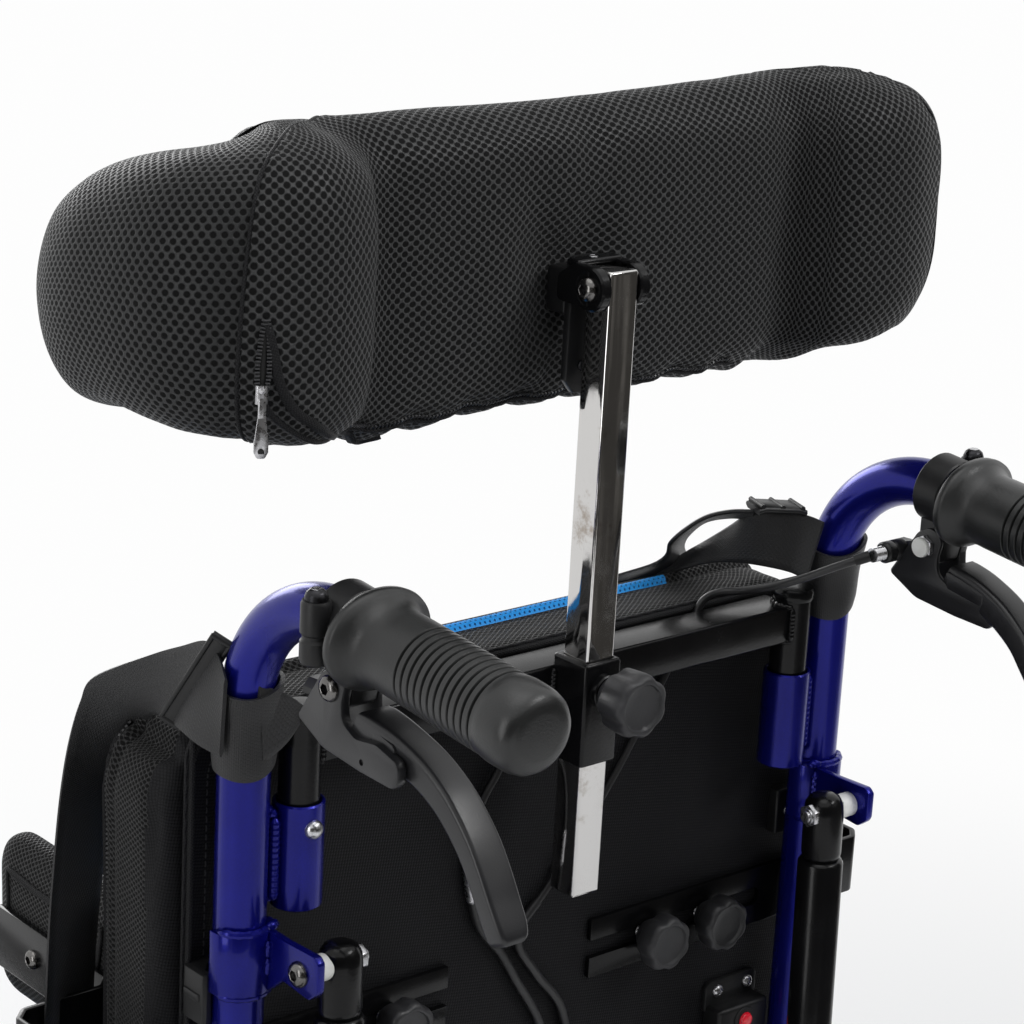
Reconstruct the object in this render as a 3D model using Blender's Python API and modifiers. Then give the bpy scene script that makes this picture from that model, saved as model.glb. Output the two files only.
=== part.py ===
"""Pediatric reclining wheelchair: folding tube frame, reclining back with struts, release levers,
headrest on a square post, lateral supports, swing-away footrests and lift-off armrests.

Sizes are in millimetres and the helpers turn them into metres. The user faces -Y, +X is the user's
left and +Z is up. The back is modelled upright on the empty "back_axis": x across, y rearwards from
the posts, z up from the recline hinge. That empty gives the back its lean."""

import math

import bmesh
import bpy
from mathutils import Matrix, Vector

MM = 0.001
GAP = 0.3  # running gap between touching pieces

# Frame
SHIFT_Y = 199.0  # moves the hinge line so that the chair is centred on the origin
TUBE = 11.1  # radius of the main frame tube
SIDE_X = 197.0  # side frame plane
RAIL_Z = 200.0  # lower rail
TOP_Z = 412.0  # upper rail
FRONT_Y = -385.0
REAR_Y = 75.0
SEAT_X, SEAT_Z = 165.0, 436.0  # seat rails
SEAT_TOP = 505.0

# Wheels
WHEEL_R, WHEEL_X = 254.0, 245.0
CASTER_R, CASTER_Y, CASTER_TRAIL = 75.0, -330.0, 45.0

# Back
HINGE_Z = 440.0
LEAN = 4.6  # degrees behind vertical in the photographed pose
POST_X = 169.7
SLEEVE_X, SLEEVE_N = 143.4, 3.0
T0 = 370.0  # height over the hinge of the level that the photo's heights are read from
HANDLE_TOP = 105.4 + T0  # where the post's axis would meet the handle's axis
HANDLE_DROP = 4.86  # degrees the handle falls towards its end
BEND_R = 60.0
PANEL_N = -17.6  # rear face of the back panel
CUSHION_FRONT = -75.0

# Headrest
SQUARE = 15.9
SQUARE_N = 19.0
TILT_S = 203.0 + T0
PAD_X = -16.0  # the pad sits a little to the right on its plate
SOCKET_LOW, SOCKET_HIGH = -10.0 + T0, 38.0 + T0
BAR_LOW, BAR_HIGH = 14.0 + T0, 32.0 + T0

# Recline struts, on the back's axes
STRUT_X = 143.0
STRUT_EYE = Vector((0.0, 34.6, -63.7 + T0))
STRUT_FOOT = Vector((0.0, 43.1, -36.7))

# Footrests, wheel locks, armrests, laterals
HANGER_Y = -412.0
LOCK_Y, LOCK_Z = -177.8, 366.9
ARM_Y = (-340.0, -110.0)
LATERAL_S = -128.0 + T0
KNOB_X = (78.0, 116.0)

COLOURS = {
    "blue_paint": ((0.016, 0.019, 0.27), 0.22, 0.35),
    "black_paint": ((0.012, 0.012, 0.013), 0.3, 0.1),
    "black_plastic": ((0.02, 0.02, 0.022), 0.5, 0.0),
    "grip_rubber": ((0.022, 0.022, 0.023), 0.6, 0.0),
    "chrome": ((0.75, 0.75, 0.77), 0.08, 1.0),
    "steel": ((0.45, 0.45, 0.46), 0.3, 1.0),
    "tyre": ((0.03, 0.03, 0.032), 0.8, 0.0),
    "mag_plastic": ((0.028, 0.028, 0.03), 0.42, 0.0),
    "aluminium": ((0.5, 0.5, 0.52), 0.3, 1.0),
    "mesh_black": ((0.012, 0.012, 0.013), 0.85, 0.0),
    "canvas_black": ((0.01, 0.01, 0.011), 0.8, 0.0),
    "mesh_blue": ((0.012, 0.25, 0.7), 0.75, 0.0),
    "webbing": ((0.013, 0.013, 0.014), 0.6, 0.0),
    "vinyl_black": ((0.015, 0.015, 0.016), 0.5, 0.0),
    "red_plastic": ((0.75, 0.01, 0.03), 0.35, 0.0),
}


# Scene, collections and materials

for old in list(bpy.data.objects):
    bpy.data.objects.remove(old, do_unlink=True)
PARTS = bpy.data.collections.new("pediatric_reclining_wheelchair")
TOOLS = bpy.data.collections.new("cutters")
bpy.context.scene.collection.children.link(PARTS)
bpy.context.scene.collection.children.link(TOOLS)


def material(name):
    made = bpy.data.materials.get(name)
    if made:
        return made
    colour, rough, metal = COLOURS[name]
    made = bpy.data.materials.new(name)
    made.use_nodes = True
    shader = made.node_tree.nodes["Principled BSDF"]
    shader.inputs["Base Color"].default_value = (*colour, 1.0)
    shader.inputs["Roughness"].default_value = rough
    shader.inputs["Metallic"].default_value = metal
    made.diffuse_color = (*colour, 1.0)
    return made


def empty(name, at, turn=(0.0, 0.0, 0.0), parent=None):
    axis = bpy.data.objects.new(name, None)
    TOOLS.objects.link(axis)
    axis.location = Vector(at) * MM
    axis.rotation_euler = [math.radians(a) for a in turn]
    axis.parent = parent
    return axis


CHAIR = empty("chair_axis", (0, SHIFT_Y, 0))
BACK = empty("back_axis", (0, 0, HINGE_Z), (-LEAN, 0, 0), CHAIR)


# Shapes, each left in the cutters collection until a part takes it

def hold(bm, name="piece"):
    bmesh.ops.recalc_face_normals(bm, faces=bm.faces)
    mesh = bpy.data.meshes.new(name)
    bm.to_mesh(mesh)
    bm.free()
    obj = bpy.data.objects.new(name, mesh)
    TOOLS.objects.link(obj)
    return obj


def box(low, high, edge=0.0, turn=None):
    """A box between two corners, its edges rounded by edge, turned by a matrix about its centre."""
    low, high = Vector(low) * MM, Vector(high) * MM
    bm = bmesh.new()
    bmesh.ops.create_cube(bm, size=1.0)
    size = Vector([abs(b - a) for a, b in zip(low, high)])
    bmesh.ops.scale(bm, vec=size, verts=bm.verts)
    if edge:
        bmesh.ops.bevel(bm, geom=bm.edges[:], offset=edge * MM, segments=1, affect="EDGES")
    if turn:
        bmesh.ops.transform(bm, matrix=turn, verts=bm.verts)
    bmesh.ops.translate(bm, vec=(low + high) / 2, verts=bm.verts)
    return hold(bm)


def facets(radius):
    """Flats round a bar of this radius."""
    return 8 if radius < 9.8 else 10 if radius < 14.2 else 12


def bore(radius, start, end, sides=None):
    """A round hole whose flats clear a bar of this radius."""
    sides = sides or facets(radius)
    return rod((radius + GAP) / math.cos(math.pi / sides), start, end, sides)


def rod(radius, start, end, sides=None, radius2=None):
    """A round bar from start to end, or a cone with radius2 at its end."""
    sides = sides or facets(radius)
    start, end = Vector(start) * MM, Vector(end) * MM
    run = end - start
    bm = bmesh.new()
    last = radius if radius2 is None else radius2
    bmesh.ops.create_cone(bm, cap_ends=True, segments=sides, radius1=radius * MM,
                          radius2=last * MM, depth=run.length)
    turn = run.to_track_quat("Z", "Y").to_matrix().to_4x4()
    bmesh.ops.transform(bm, matrix=Matrix.Translation((start + end) / 2) @ turn, verts=bm.verts)
    return hold(bm)


def turned(profile, start, end, steps=20):
    """A turned piece: (radius, height) pairs run along the line from start to end."""
    start, end = Vector(start) * MM, Vector(end) * MM
    bm = bmesh.new()
    last = None
    for radius, height in profile:
        vert = bm.verts.new((radius * MM, 0.0, height * MM))
        if last:
            bm.edges.new((last, vert))
        last = vert
    mesh = bpy.data.meshes.new("turned")
    bm.to_mesh(mesh)
    bm.free()
    obj = bpy.data.objects.new("turned", mesh)
    TOOLS.objects.link(obj)
    screw = obj.modifiers.new("turn", "SCREW")
    screw.axis = "Z"
    screw.steps = steps
    screw.render_steps = steps
    screw.use_merge_vertices = True
    screw.merge_threshold = 0.00001
    solid = baked(obj)
    turn = (end - start).to_track_quat("Z", "Y").to_matrix().to_4x4()
    solid.data.transform(Matrix.Translation(start) @ turn)
    return solid


def baked(obj):
    """The evaluated shape of obj as a plain closed mesh."""
    graph = bpy.context.evaluated_depsgraph_get()
    mesh = bpy.data.meshes.new_from_object(obj.evaluated_get(graph))
    solid = bpy.data.objects.new("piece", mesh)
    TOOLS.objects.link(solid)
    bpy.data.objects.remove(obj, do_unlink=True)
    bm = bmesh.new()
    bm.from_mesh(mesh)
    bmesh.ops.remove_doubles(bm, verts=bm.verts, dist=0.00001)
    bmesh.ops.recalc_face_normals(bm, faces=bm.faces)
    bm.to_mesh(mesh)
    bm.free()
    return solid


def tube(points, radius, closed=False, smooth=3):
    """A round bar along a run of points."""
    curve = bpy.data.curves.new("tube", "CURVE")
    curve.dimensions = "3D"
    curve.bevel_depth = radius * MM
    curve.bevel_resolution = smooth
    curve.use_fill_caps = not closed
    line = curve.splines.new("POLY")
    line.points.add(len(points) - 1)
    for spot, point in zip(line.points, points):
        spot.co = (*(Vector(point) * MM), 1.0)
    line.use_cyclic_u = closed
    obj = bpy.data.objects.new("tube", curve)
    TOOLS.objects.link(obj)
    return baked(obj)


def bent(points, radius, steps=4, closed=False):
    """The run of points with each corner replaced by an arc."""
    points = [Vector(p) for p in points]
    count = len(points)
    out = []
    for i, corner in enumerate(points):
        if not closed and i in (0, count - 1):
            out.append(corner)
            continue
        back = (points[i - 1] - corner).normalized()
        ahead = (points[(i + 1) % count] - corner).normalized()
        half = back.angle(ahead) / 2
        centre = corner + (back + ahead).normalized() * (radius / math.sin(half))
        first = corner + back * (radius / math.tan(half)) - centre
        second = corner + ahead * (radius / math.tan(half)) - centre
        for k in range(steps + 1):
            out.append(centre + first.slerp(second, k / steps).normalized() * radius)
    return out


def prism(outline, axis, low, high):
    """An outline pushed from low to high along axis "X", "Y" or "Z"; it runs over the other two."""
    bm = bmesh.new()
    place = {"X": lambda a, b, h: (h, a, b), "Y": lambda a, b, h: (a, h, b),
             "Z": lambda a, b, h: (a, b, h)}[axis]
    verts = [bm.verts.new(Vector(place(a, b, low)) * MM) for a, b in outline]
    face = bm.faces.new(verts)
    grown = bmesh.ops.extrude_face_region(bm, geom=[face])["geom"]
    moved = [g for g in grown if isinstance(g, bmesh.types.BMVert)]
    push = Vector(place(0, 0, high - low)) * MM
    bmesh.ops.translate(bm, vec=push, verts=moved)
    return hold(bm)


def loft(rings, closed=False):
    """A solid skin through equal rings of points."""
    bm = bmesh.new()
    rows = [[bm.verts.new(Vector(p) * MM) for p in ring] for ring in rings]
    pairs = list(zip(rows, rows[1:]))
    if closed:
        pairs.append((rows[-1], rows[0]))
    for low, high in pairs:
        for k in range(len(low)):
            j = (k + 1) % len(low)
            bm.faces.new((low[k], low[j], high[j], high[k]))
    if not closed:
        bm.faces.new(rows[0])
        bm.faces.new(rows[-1])
    return hold(bm)


def ribbon(stations, thick):
    """A flat strap through pairs of edge points."""
    pairs = [(Vector(a), Vector(b)) for a, b in stations]
    rings = []
    for i, (a, b) in enumerate(pairs):
        before = pairs[max(i - 1, 0)]
        after = pairs[min(i + 1, len(pairs) - 1)]
        run = (after[0] + after[1]) - (before[0] + before[1])
        out = (b - a).cross(run).normalized() * (thick / 2)
        rings.append([a + out, b + out, b - out, a - out])
    return loft(rings)


def slab(outline, thick):
    """Points of an open line, thickened to both sides into a closed outline."""
    line = [Vector(p) for p in outline]
    sides = []
    for i, spot in enumerate(line):
        back = (spot - line[i - 1]).normalized() if i else (line[1] - spot).normalized()
        ahead = (line[i + 1] - spot).normalized() if i < len(line) - 1 else back
        mean = (back + ahead).normalized()
        normal = Vector((-mean.y, mean.x))
        reach = thick / 2 / max(0.3, mean.dot(back))
        sides.append((spot + normal * reach, spot - normal * reach))
    return [tuple(a) for a, _ in sides] + [tuple(b) for _, b in reversed(sides)]


def soft_block(half, round_by, cuts, shape=None):
    """A padded block about the origin: a cube skin with given cuts, rounded, then shaped."""
    bm = bmesh.new()
    spots = {}

    def vert(key):
        if key not in spots:
            point = Vector([cuts[a][key[a]] * half[a] for a in range(3)])
            inner = Vector([max(-half[a] + round_by[a], min(half[a] - round_by[a], point[a]))
                            for a in range(3)])
            off = point - inner
            scaled = Vector([off[a] / round_by[a] for a in range(3)])
            if scaled.length > 1e-9:
                scaled = scaled * (max(abs(c) for c in scaled) / scaled.length)
            spot = inner + Vector([scaled[a] * round_by[a] for a in range(3)])
            if shape:
                spot = shape(spot)
            spots[key] = bm.verts.new(spot * MM)
        return spots[key]

    last = [len(c) - 1 for c in cuts]
    for a in range(3):
        b, c = (a + 1) % 3, (a + 2) % 3
        for end in (0, last[a]):
            for i in range(last[b]):
                for j in range(last[c]):
                    keys = []
                    for di, dj in ((0, 0), (1, 0), (1, 1), (0, 1)):
                        key = [0, 0, 0]
                        key[a], key[b], key[c] = end, i + di, j + dj
                        keys.append(tuple(key))
                    bm.faces.new([vert(k) for k in keys])
    return hold(bm)


# Parts

def part(name, look, base, adds=(), cuts=(), parent=CHAIR, pivot=None, smooth=32):
    """Makes base a named part: the adds are welded on, the cuts taken out, its origin set."""
    base.name = name
    base.data.name = name
    TOOLS.objects.unlink(base)
    PARTS.objects.link(base)
    base.parent = parent
    for tools, operation in ((adds, "UNION"), (cuts, "DIFFERENCE")):
        for tool in tools:
            tool.name = name + "_" + operation.lower()
            tool.parent = parent
            tool.hide_render = True
            tool.display_type = "WIRE"
            step = base.modifiers.new(operation.lower(), "BOOLEAN")
            step.operation = operation
            step.object = tool
            step.solver = "EXACT"
    if pivot:
        spot = Vector(pivot) * MM
        base.data.transform(Matrix.Translation(-spot))
        base.location = spot
    base.data.materials.clear()
    base.data.materials.append(material(look))
    base.data.polygons.foreach_set("use_smooth", [True] * len(base.data.polygons))
    base.data.set_sharp_from_angle(angle=math.radians(smooth))
    base.data.update()
    return base


def mirror(points, side):
    return [(side * x, y, z) for x, y, z in points]


def hub(radius, x1, x2, y, z, sides=None):
    """A round bar along X."""
    return rod(radius, (x1, y, z), (x2, y, z), sides)


def hub_bore(radius, x1, x2, y, z, sides=None):
    return bore(radius, (x1, y, z), (x2, y, z), sides)


# Side frames, cross braces and seat

def side_frame(name, s):
    x = s * SIDE_X
    corners = [(x, FRONT_Y, RAIL_Z), (x, FRONT_Y, TOP_Z), (x, REAR_Y, TOP_Z), (x, REAR_Y, RAIL_Z)]
    loop = tube(bent(corners, 50, 3, True), TUBE, True)
    plate = [(-45, 400), (-45, 424), (-16, 455), (16, 455), (60, 415), (60, 384), (18, 384)]
    adds = [rod(TUBE, (x, -60, RAIL_Z), (x, -60, TOP_Z)),
            prism(plate, "X", s * 182, s * 188),
            hub(5, s * 185, s * 155, 0, HINGE_Z),
            hub(9, s * 154.3, s * 158.2, 0, HINGE_Z, 6),
            hub(8, s * 187, s * 193, 0, HINGE_Z, 6),
            hub(4, s * 185, s * 127, 40, 400),
            hub(7, s * 184, s * 150.5, 40, 400),
            hub(7, s * 126, s * 131, 40, 400, 6),
            hub(14, s * 181, s * 216, REAR_Y, WHEEL_R),
            hub(6, s * 215, s * 264, REAR_Y, WHEEL_R),
            hub(8.5, s * 263.5, s * 268, REAR_Y, WHEEL_R),
            rod(18, (x, CASTER_Y, 172), (x, CASTER_Y, 238)),
            rod(12, (x, HANGER_Y, 276), (x, HANGER_Y, 290)),
            box((x - 8, HANGER_Y, 277), (x + 8, FRONT_Y - 3, 289)),
            rod(5, (x, HANGER_Y, 288), (x, HANGER_Y, 392)),
            rod(15.5, (x, HANGER_Y, 368), (x, HANGER_Y, 382)),
            box((x - 8, HANGER_Y + 8, 369), (x + 8, FRONT_Y - 3, 381)),
            box((s * 196, LOCK_Y - 14, 355), (s * 211.5, LOCK_Y + 14, TOP_Z)),
            hub(5, s * 210, s * 222, LOCK_Y, LOCK_Z),
            hub(8, s * 221.6, s * 225, LOCK_Y, LOCK_Z, 6)]
    adds += [rod(12.7, (x, y, 396), (x, y, 460)) for y in ARM_Y]
    adds += [box((s * 153, y - 14, 406), (s * 191, y + 14, 431)) for y in (-290, -150)]
    cuts = [bore(9.5, (x, y, 401), (x, y, 470)) for y in ARM_Y]
    cuts += [bore(6, (x, CASTER_Y, 150), (x, CASTER_Y, 228)),
             bore(TUBE, (s * SEAT_X, -420, SEAT_Z), (s * SEAT_X, 0, SEAT_Z))]
    return part(name, "blue_paint", loop, adds, cuts + [hanger_bore(x)])


def hanger_bore(x):
    """Room for the hanger's tube in its ring, round the pin that it hangs on."""
    wide = (TUBE + GAP) / math.cos(math.pi / 10)
    line = [(wide, 396), (wide, 290), (5, 290), (5, 396), (wide, 396)]
    return turned(line, (x, HANGER_Y, 0), (x, HANGER_Y, 1000), 10)


def cross_brace(name, s, y):
    """Seat rail on side s, with the bar that runs down to the other side's lower rail."""
    top = Vector((s * SEAT_X, y, SEAT_Z))
    foot = Vector((-s * SIDE_X, y, RAIL_Z))
    run = (foot - top).normalized()
    turn = Matrix.Rotation(math.atan2(-run.z, run.x), 4, "Y")
    length = (foot - top).length
    middle = (top + foot) / 2
    bar = box(middle - Vector((length / 2 - 4, 7.6, 13)), middle + Vector((length / 2 - 4, 7.6, 13)),
              1.5, turn)
    adds = [bar, rod(15.5, foot + Vector((0, -33, 0)), foot + Vector((0, 33, 0)))]
    cuts = [bore(TUBE, foot + Vector((0, -40, 0)), foot + Vector((0, 40, 0)))]
    cross = Vector((0, 0, SEAT_Z - (SEAT_Z - RAIL_Z) * SEAT_X / (SEAT_X + SIDE_X)))
    if s > 0:
        adds.append(rod(5, cross + Vector((0, y, 0)), cross + Vector((0, y + 26.5, 0))))
        adds.append(rod(9, cross + Vector((0, y - 11, 0)), cross + Vector((0, y - 6, 0)), 6))
        adds.append(rod(9, cross + Vector((0, y + 24.4, 0)), cross + Vector((0, y + 29, 0)), 6))
    else:
        cuts.append(bore(5, cross + Vector((0, y - 12, 0)), cross + Vector((0, y + 12, 0))))
    rail = rod(TUBE, (s * SEAT_X, -400, SEAT_Z), (s * SEAT_X, -24, SEAT_Z))
    return part(name, "black_paint", rail, adds, cuts)


def seat_sling():
    """Taut seat fabric, wrapped over both rails."""
    r1, r2 = TUBE + GAP, TUBE + GAP + 2.0
    outer, inner = [], []
    for k in range(5):
        angle = math.radians(90 * k / 4)
        step = Vector((math.cos(angle), math.sin(angle)))
        outer.append((SEAT_X + r2 * step.x, SEAT_Z + r2 * step.y))
        inner.append((SEAT_X + r1 * step.x, SEAT_Z + r1 * step.y))
    line = outer + [(-x, z) for x, z in reversed(outer)] + [(-x, z) for x, z in inner]
    line += list(reversed(inner))
    return part("seat_sling", "canvas_black", prism(line, "Y", -398, -26))


def seat_cushion():
    half = (163.0, 190.0, 27.5)
    low = SEAT_Z + TUBE + GAP + 2.0 + GAP
    ends = [-1, -0.93, -0.7, -0.3, 0.3, 0.7, 0.93, 1]

    def shape(p):
        across = 1 - (p.x / half[0]) ** 2
        along = 1 - (p.y / half[1]) ** 2
        z = p.z + 5 * max(across, 0) * max(along, 0) if p.z > 0 else p.z
        pull = 1 - 0.018 * max(along, 0)
        return Vector((p.x * pull, p.y * (1 - 0.015 * max(across, 0)), z))

    block = soft_block(half, (22, 22, 16), [ends, ends, [-1, -0.5, 0.4, 1]], shape)
    block.data.transform(Matrix.Translation(Vector((0, -212, low + half[2])) * MM))
    return part("seat_cushion", "mesh_blue", block, smooth=60)


# Wheels

def rear_wheel(side, s):
    a, b = (s * (WHEEL_X - 50), REAR_Y, WHEEL_R), (s * (WHEEL_X + 50), REAR_Y, WHEEL_R)
    axle = (s * WHEEL_X, REAR_Y, WHEEL_R)
    tread = [(226, 59), (232, 66.5), (245, 65), (254, 50), (245, 35), (232, 33.5), (226, 41),
             (226, 59)]
    part("tyre_" + side, "tyre", turned(tread, a, b, 32), pivot=axle)
    rim = [(225.6, 60), (225.6, 40), (213, 38), (207, 43), (207, 57), (213, 62), (225.6, 60)]
    spokes = []
    for k in range(6):
        angle = math.radians(60 * k + 30)
        along = Vector((0, math.cos(angle), math.sin(angle)))
        across = Vector((0, -along.z, along.y))
        rings = []
        for reach, wide, deep in ((20, 10.5, 12), (110, 9, 8), (209, 14, 8)):
            mid = Vector(axle) + along * reach
            rings.append([mid + across * wide + Vector((s * deep * 0.8, 0, 0)),
                          mid + Vector((s * deep, 0, 0)),
                          mid - across * wide + Vector((s * deep * 0.8, 0, 0)),
                          mid - across * wide - Vector((s * deep, 0, 0)),
                          mid + across * wide - Vector((s * deep, 0, 0))])
        spokes.append(loft(rings))
    core = hub(24, s * 218, s * 263.2, REAR_Y, WHEEL_R)
    hole = hub_bore(6, s * 210, s * 270, REAR_Y, WHEEL_R)
    ring = turned(rim, a, b, 32)
    part("wheel_" + side, "mag_plastic", core, spokes + [ring], [hole], pivot=axle)
    grab = [(222 + 7.5 * math.cos(math.radians(t)), 88 + 7.5 * math.sin(math.radians(t)))
            for t in range(0, 361, 72)]
    posts = []
    for k in range(6):
        angle = math.radians(60 * k)
        y, z = REAR_Y + 219 * math.cos(angle), WHEEL_R + 219 * math.sin(angle)
        posts.append(hub(4, s * 257.4, s * 281, y, z, 6))
    part("handrim_" + side, "aluminium", turned(grab, a, b, 32), posts, pivot=axle)


def caster(side, s):
    x = s * SIDE_X
    y = CASTER_Y + CASTER_TRAIL
    adds = [rod(6, (x, CASTER_Y, 168), (x, CASTER_Y, 224))]
    for e in (-1, 1):
        leg = [(CASTER_Y - 13, 170), (CASTER_Y + 15, 170), (y + 13, 82), (y + 10, 66), (y - 10, 64),
               (y - 14, 78)]
        adds.append(prism(leg, "X", x + e * 18.5, x + e * 23))
        adds.append(hub(8, x + e * 22.5, x + e * 27, y, CASTER_R, 6))
    adds.append(hub(4, x - 23, x + 23, y, CASTER_R))
    crown = box((x - 23, CASTER_Y - 16, 160), (x + 23, CASTER_Y + 17, 171.7), 1.5)
    part("caster_fork_" + side, "black_paint", crown, adds, pivot=(x, CASTER_Y, 171))
    tyre = [(4.5, 36), (16, 36), (17, 42), (52, 42), (56, 37), (69, 37), (75, 46), (75, 54),
            (69, 63), (56, 63), (52, 58), (17, 58), (16, 64), (4.5, 64), (4.5, 36)]
    roller = turned(tyre, (x - 50, y, CASTER_R), (x + 50, y, CASTER_R), 16)
    part("caster_wheel_" + side, "tyre", roller, pivot=(x, y, CASTER_R))


def wheel_lock(side, s):
    """Lever plate on its pin, a grip above it and a shoe that meets the tyre."""
    shoe = Vector((0, 75 - 0.8445 * 275, 254 + 0.5354 * 275))
    plate = [(LOCK_Y - 9, LOCK_Z - 8), (LOCK_Y + 8, LOCK_Z - 8), (shoe.y + 8, shoe.z - 4),
             (shoe.y + 5, shoe.z + 9), (LOCK_Y - 2, LOCK_Z + 46), (LOCK_Y - 18, LOCK_Z + 96),
             (LOCK_Y - 28, LOCK_Z + 94), (LOCK_Y - 14, LOCK_Z + 40)]
    base = prism(plate, "X", s * 214, s * 219.5)
    adds = [hub(6, s * 216, s * 260, shoe.y, shoe.z),
            rod(8, (s * 217, LOCK_Y - 20, LOCK_Z + 84), (s * 217, LOCK_Y - 41, LOCK_Z + 150))]
    cuts = [hub_bore(5, s * 205, s * 230, LOCK_Y, LOCK_Z)]
    part("wheel_lock_" + side, "black_paint", base, adds, cuts, pivot=(s * 217, LOCK_Y, LOCK_Z))


# Footrests and armrests

def footrest(side, s):
    x = s * SIDE_X
    line = [(x, HANGER_Y, 290.3), (x, HANGER_Y, 425), (x, -474, 425), (x, -552, 146)]
    arm = tube(bent(line, 30, 3), TUBE)
    adds = [box((x - 13, -566, 126), (x + 13, -540, 154), 2),
            rod(6, (x, -560, 140), (x, -662, 140)),
            rod(9, (x, -660, 140), (x, -665, 140), 6)]
    cuts = [bore(5, (x, HANGER_Y, 280), (x, HANGER_Y, 396))]
    part("footrest_hanger_" + side, "blue_paint", arm, adds, cuts, pivot=(x, HANGER_Y, 340))
    edge = [(36, -727), (183, -727), (183, -657), (191, -650), (191, -582), (52, -582), (22, -612),
            (22, -713)]
    outline = [(s * a, b) for a, b in edge]
    plate = prism(outline, "Z", 132, 138)
    adds = [rod(10.5, (x, -575, 140), (x, -655, 140))]
    cuts = [bore(6, (x, -560, 140), (x, -680, 140))]
    part("footplate_" + side, "black_plastic", plate, adds, cuts, pivot=(x, -620, 140))


def armrest(side, s):
    x = s * SIDE_X
    front, rear = ARM_Y
    line = [(x, front, 401.4), (x, front, 615), (x, rear, 615), (x, rear, 401.4)]
    legs = tube(bent(line, 32, 3), 9.5, smooth=2)
    guard = prism([(front + 3, 464), (rear - 3, 464), (rear - 3, 590), (rear - 24, 612),
                   (front + 24, 612), (front + 3, 590)], "X", x - 1.6, x + 1.6)
    part("armrest_" + side, "black_paint", legs, [guard])
    ends = [-1, -0.9, -0.5, 0, 0.5, 0.9, 1]
    pad = soft_block((23, 146, 13), (12, 14, 9), [[-1, -0.5, 0.5, 1], ends, [-1, 0, 1]])
    pad.data.transform(Matrix.Translation(Vector((s * 203, -222, 638.1)) * MM))
    part("arm_pad_" + side, "vinyl_black", pad, smooth=60)


# Back posts, handles and levers

def handle(n):
    """The handle's axis, as height over the hinge, at n behind the posts."""
    return HANDLE_TOP - math.tan(math.radians(HANDLE_DROP)) * n


def on_handle(x, n):
    return Vector((x, n, handle(n)))


def back_post(side, s):
    x, xs = s * POST_X, s * SLEEVE_X
    line = [(x, 0, -17), (x, 0, HANDLE_TOP), (x, 162, handle(162))]
    post = tube(bent(line, BEND_R, 7), TUBE)
    ear = [(0, 290), (0, 317), (24, 316.5), (44, 317.4), (46.7, 315), (46.7, 301.5), (41, 297),
           (23, 298.5), (13, 290)]
    saddle = [(x + 14 * math.cos(math.radians(a)), 14 * math.sin(math.radians(a)))
              for a in range(-5, 186, 19)]
    e = STRUT_EYE
    adds = [rod(TUBE, (xs, SLEEVE_N, 321.2), (xs, SLEEVE_N, 368.2)),
            box((min(x, xs), -2.2, 325), (max(x, xs), 4.2, 364)),
            prism(saddle, "Z", 289, 317),
            prism(ear, "X", s * 160, s * 164),
            hub(4, s * 165, s * 131, e.y, e.z),
            hub(5.8, s * 149.4, s * 161, e.y, e.z),
            hub(5, s * 163.5, s * 166.6, e.y, e.z),
            hub(5.6, s * 130.5, s * 136.6, e.y, e.z, 6)]
    if s > 0:
        adds.append(rod(4.2, (xs, SLEEVE_N + 9, 358), (xs, SLEEVE_N + 14, 358), 10, 2.4))
    cuts = [bore(8.9, (xs, SLEEVE_N, 300), (xs, SLEEVE_N, 390)), hub_bore(5, s * 150, s * 190, 0, 0)]
    part("back_post_" + side, "blue_paint", post, adds, cuts, BACK)


def grip(side, s):
    """Ribbed hand grip: flange, body with grooves, domed end."""
    profile = [(0, 100), (9, 99.3), (14, 96.5), (16.8, 91), (16.8, 81)]
    for k in range(12):
        profile += [(15.2, 76.5 - k * 5), (16.5, 74.5 - k * 5)]
    profile += [(15.8, 8), (22.2, 5), (22.2, 1), (21, 0), (12, 0), (12, 84), (0, 84)]
    body = turned(profile, on_handle(s * POST_X, 80.5), on_handle(s * POST_X, 180), 10)
    part("hand_grip_" + side, "grip_rubber", body, parent=BACK)


def lever_clamp(side, s):
    """Clamp ring on the handle with its bolt boss, tongue, pivot screw and cable adjuster."""
    x = s * POST_X
    ring = rod(16, on_handle(x, 61), on_handle(x, 75), 12)
    low, high = sorted((s * 161, s * 174.2))
    boss = s * 186.5
    edge = sorted((s * 180, s * 187))
    adds = [box((low, 61, 437), (high, 77, 466)),
            box((low, 44, 432), (high, 63, 444)),
            rod(5.6, (boss, 67, 456), (boss, 67, 482)),
            rod(4.6, (boss, 67, 480), (boss, 67, 486), 6),
            box((edge[0], 62, 462), (edge[1], 72, 476)),
            hub(3, s * 173.8, s * 180.5, 68, 445),
            hub(5.5, s * 179.6, s * 182.4, 68, 445),
            hub(5, s * 163, s * 150, 50, 438),
            hub(3, s * 151, s * 143, 50, 438)]
    cuts = [bore(TUBE + 0.3, on_handle(x, 50), on_handle(x, 79), 10)]
    part("lever_clamp_" + side, "black_paint", ring, adds, cuts, BACK)


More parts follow.
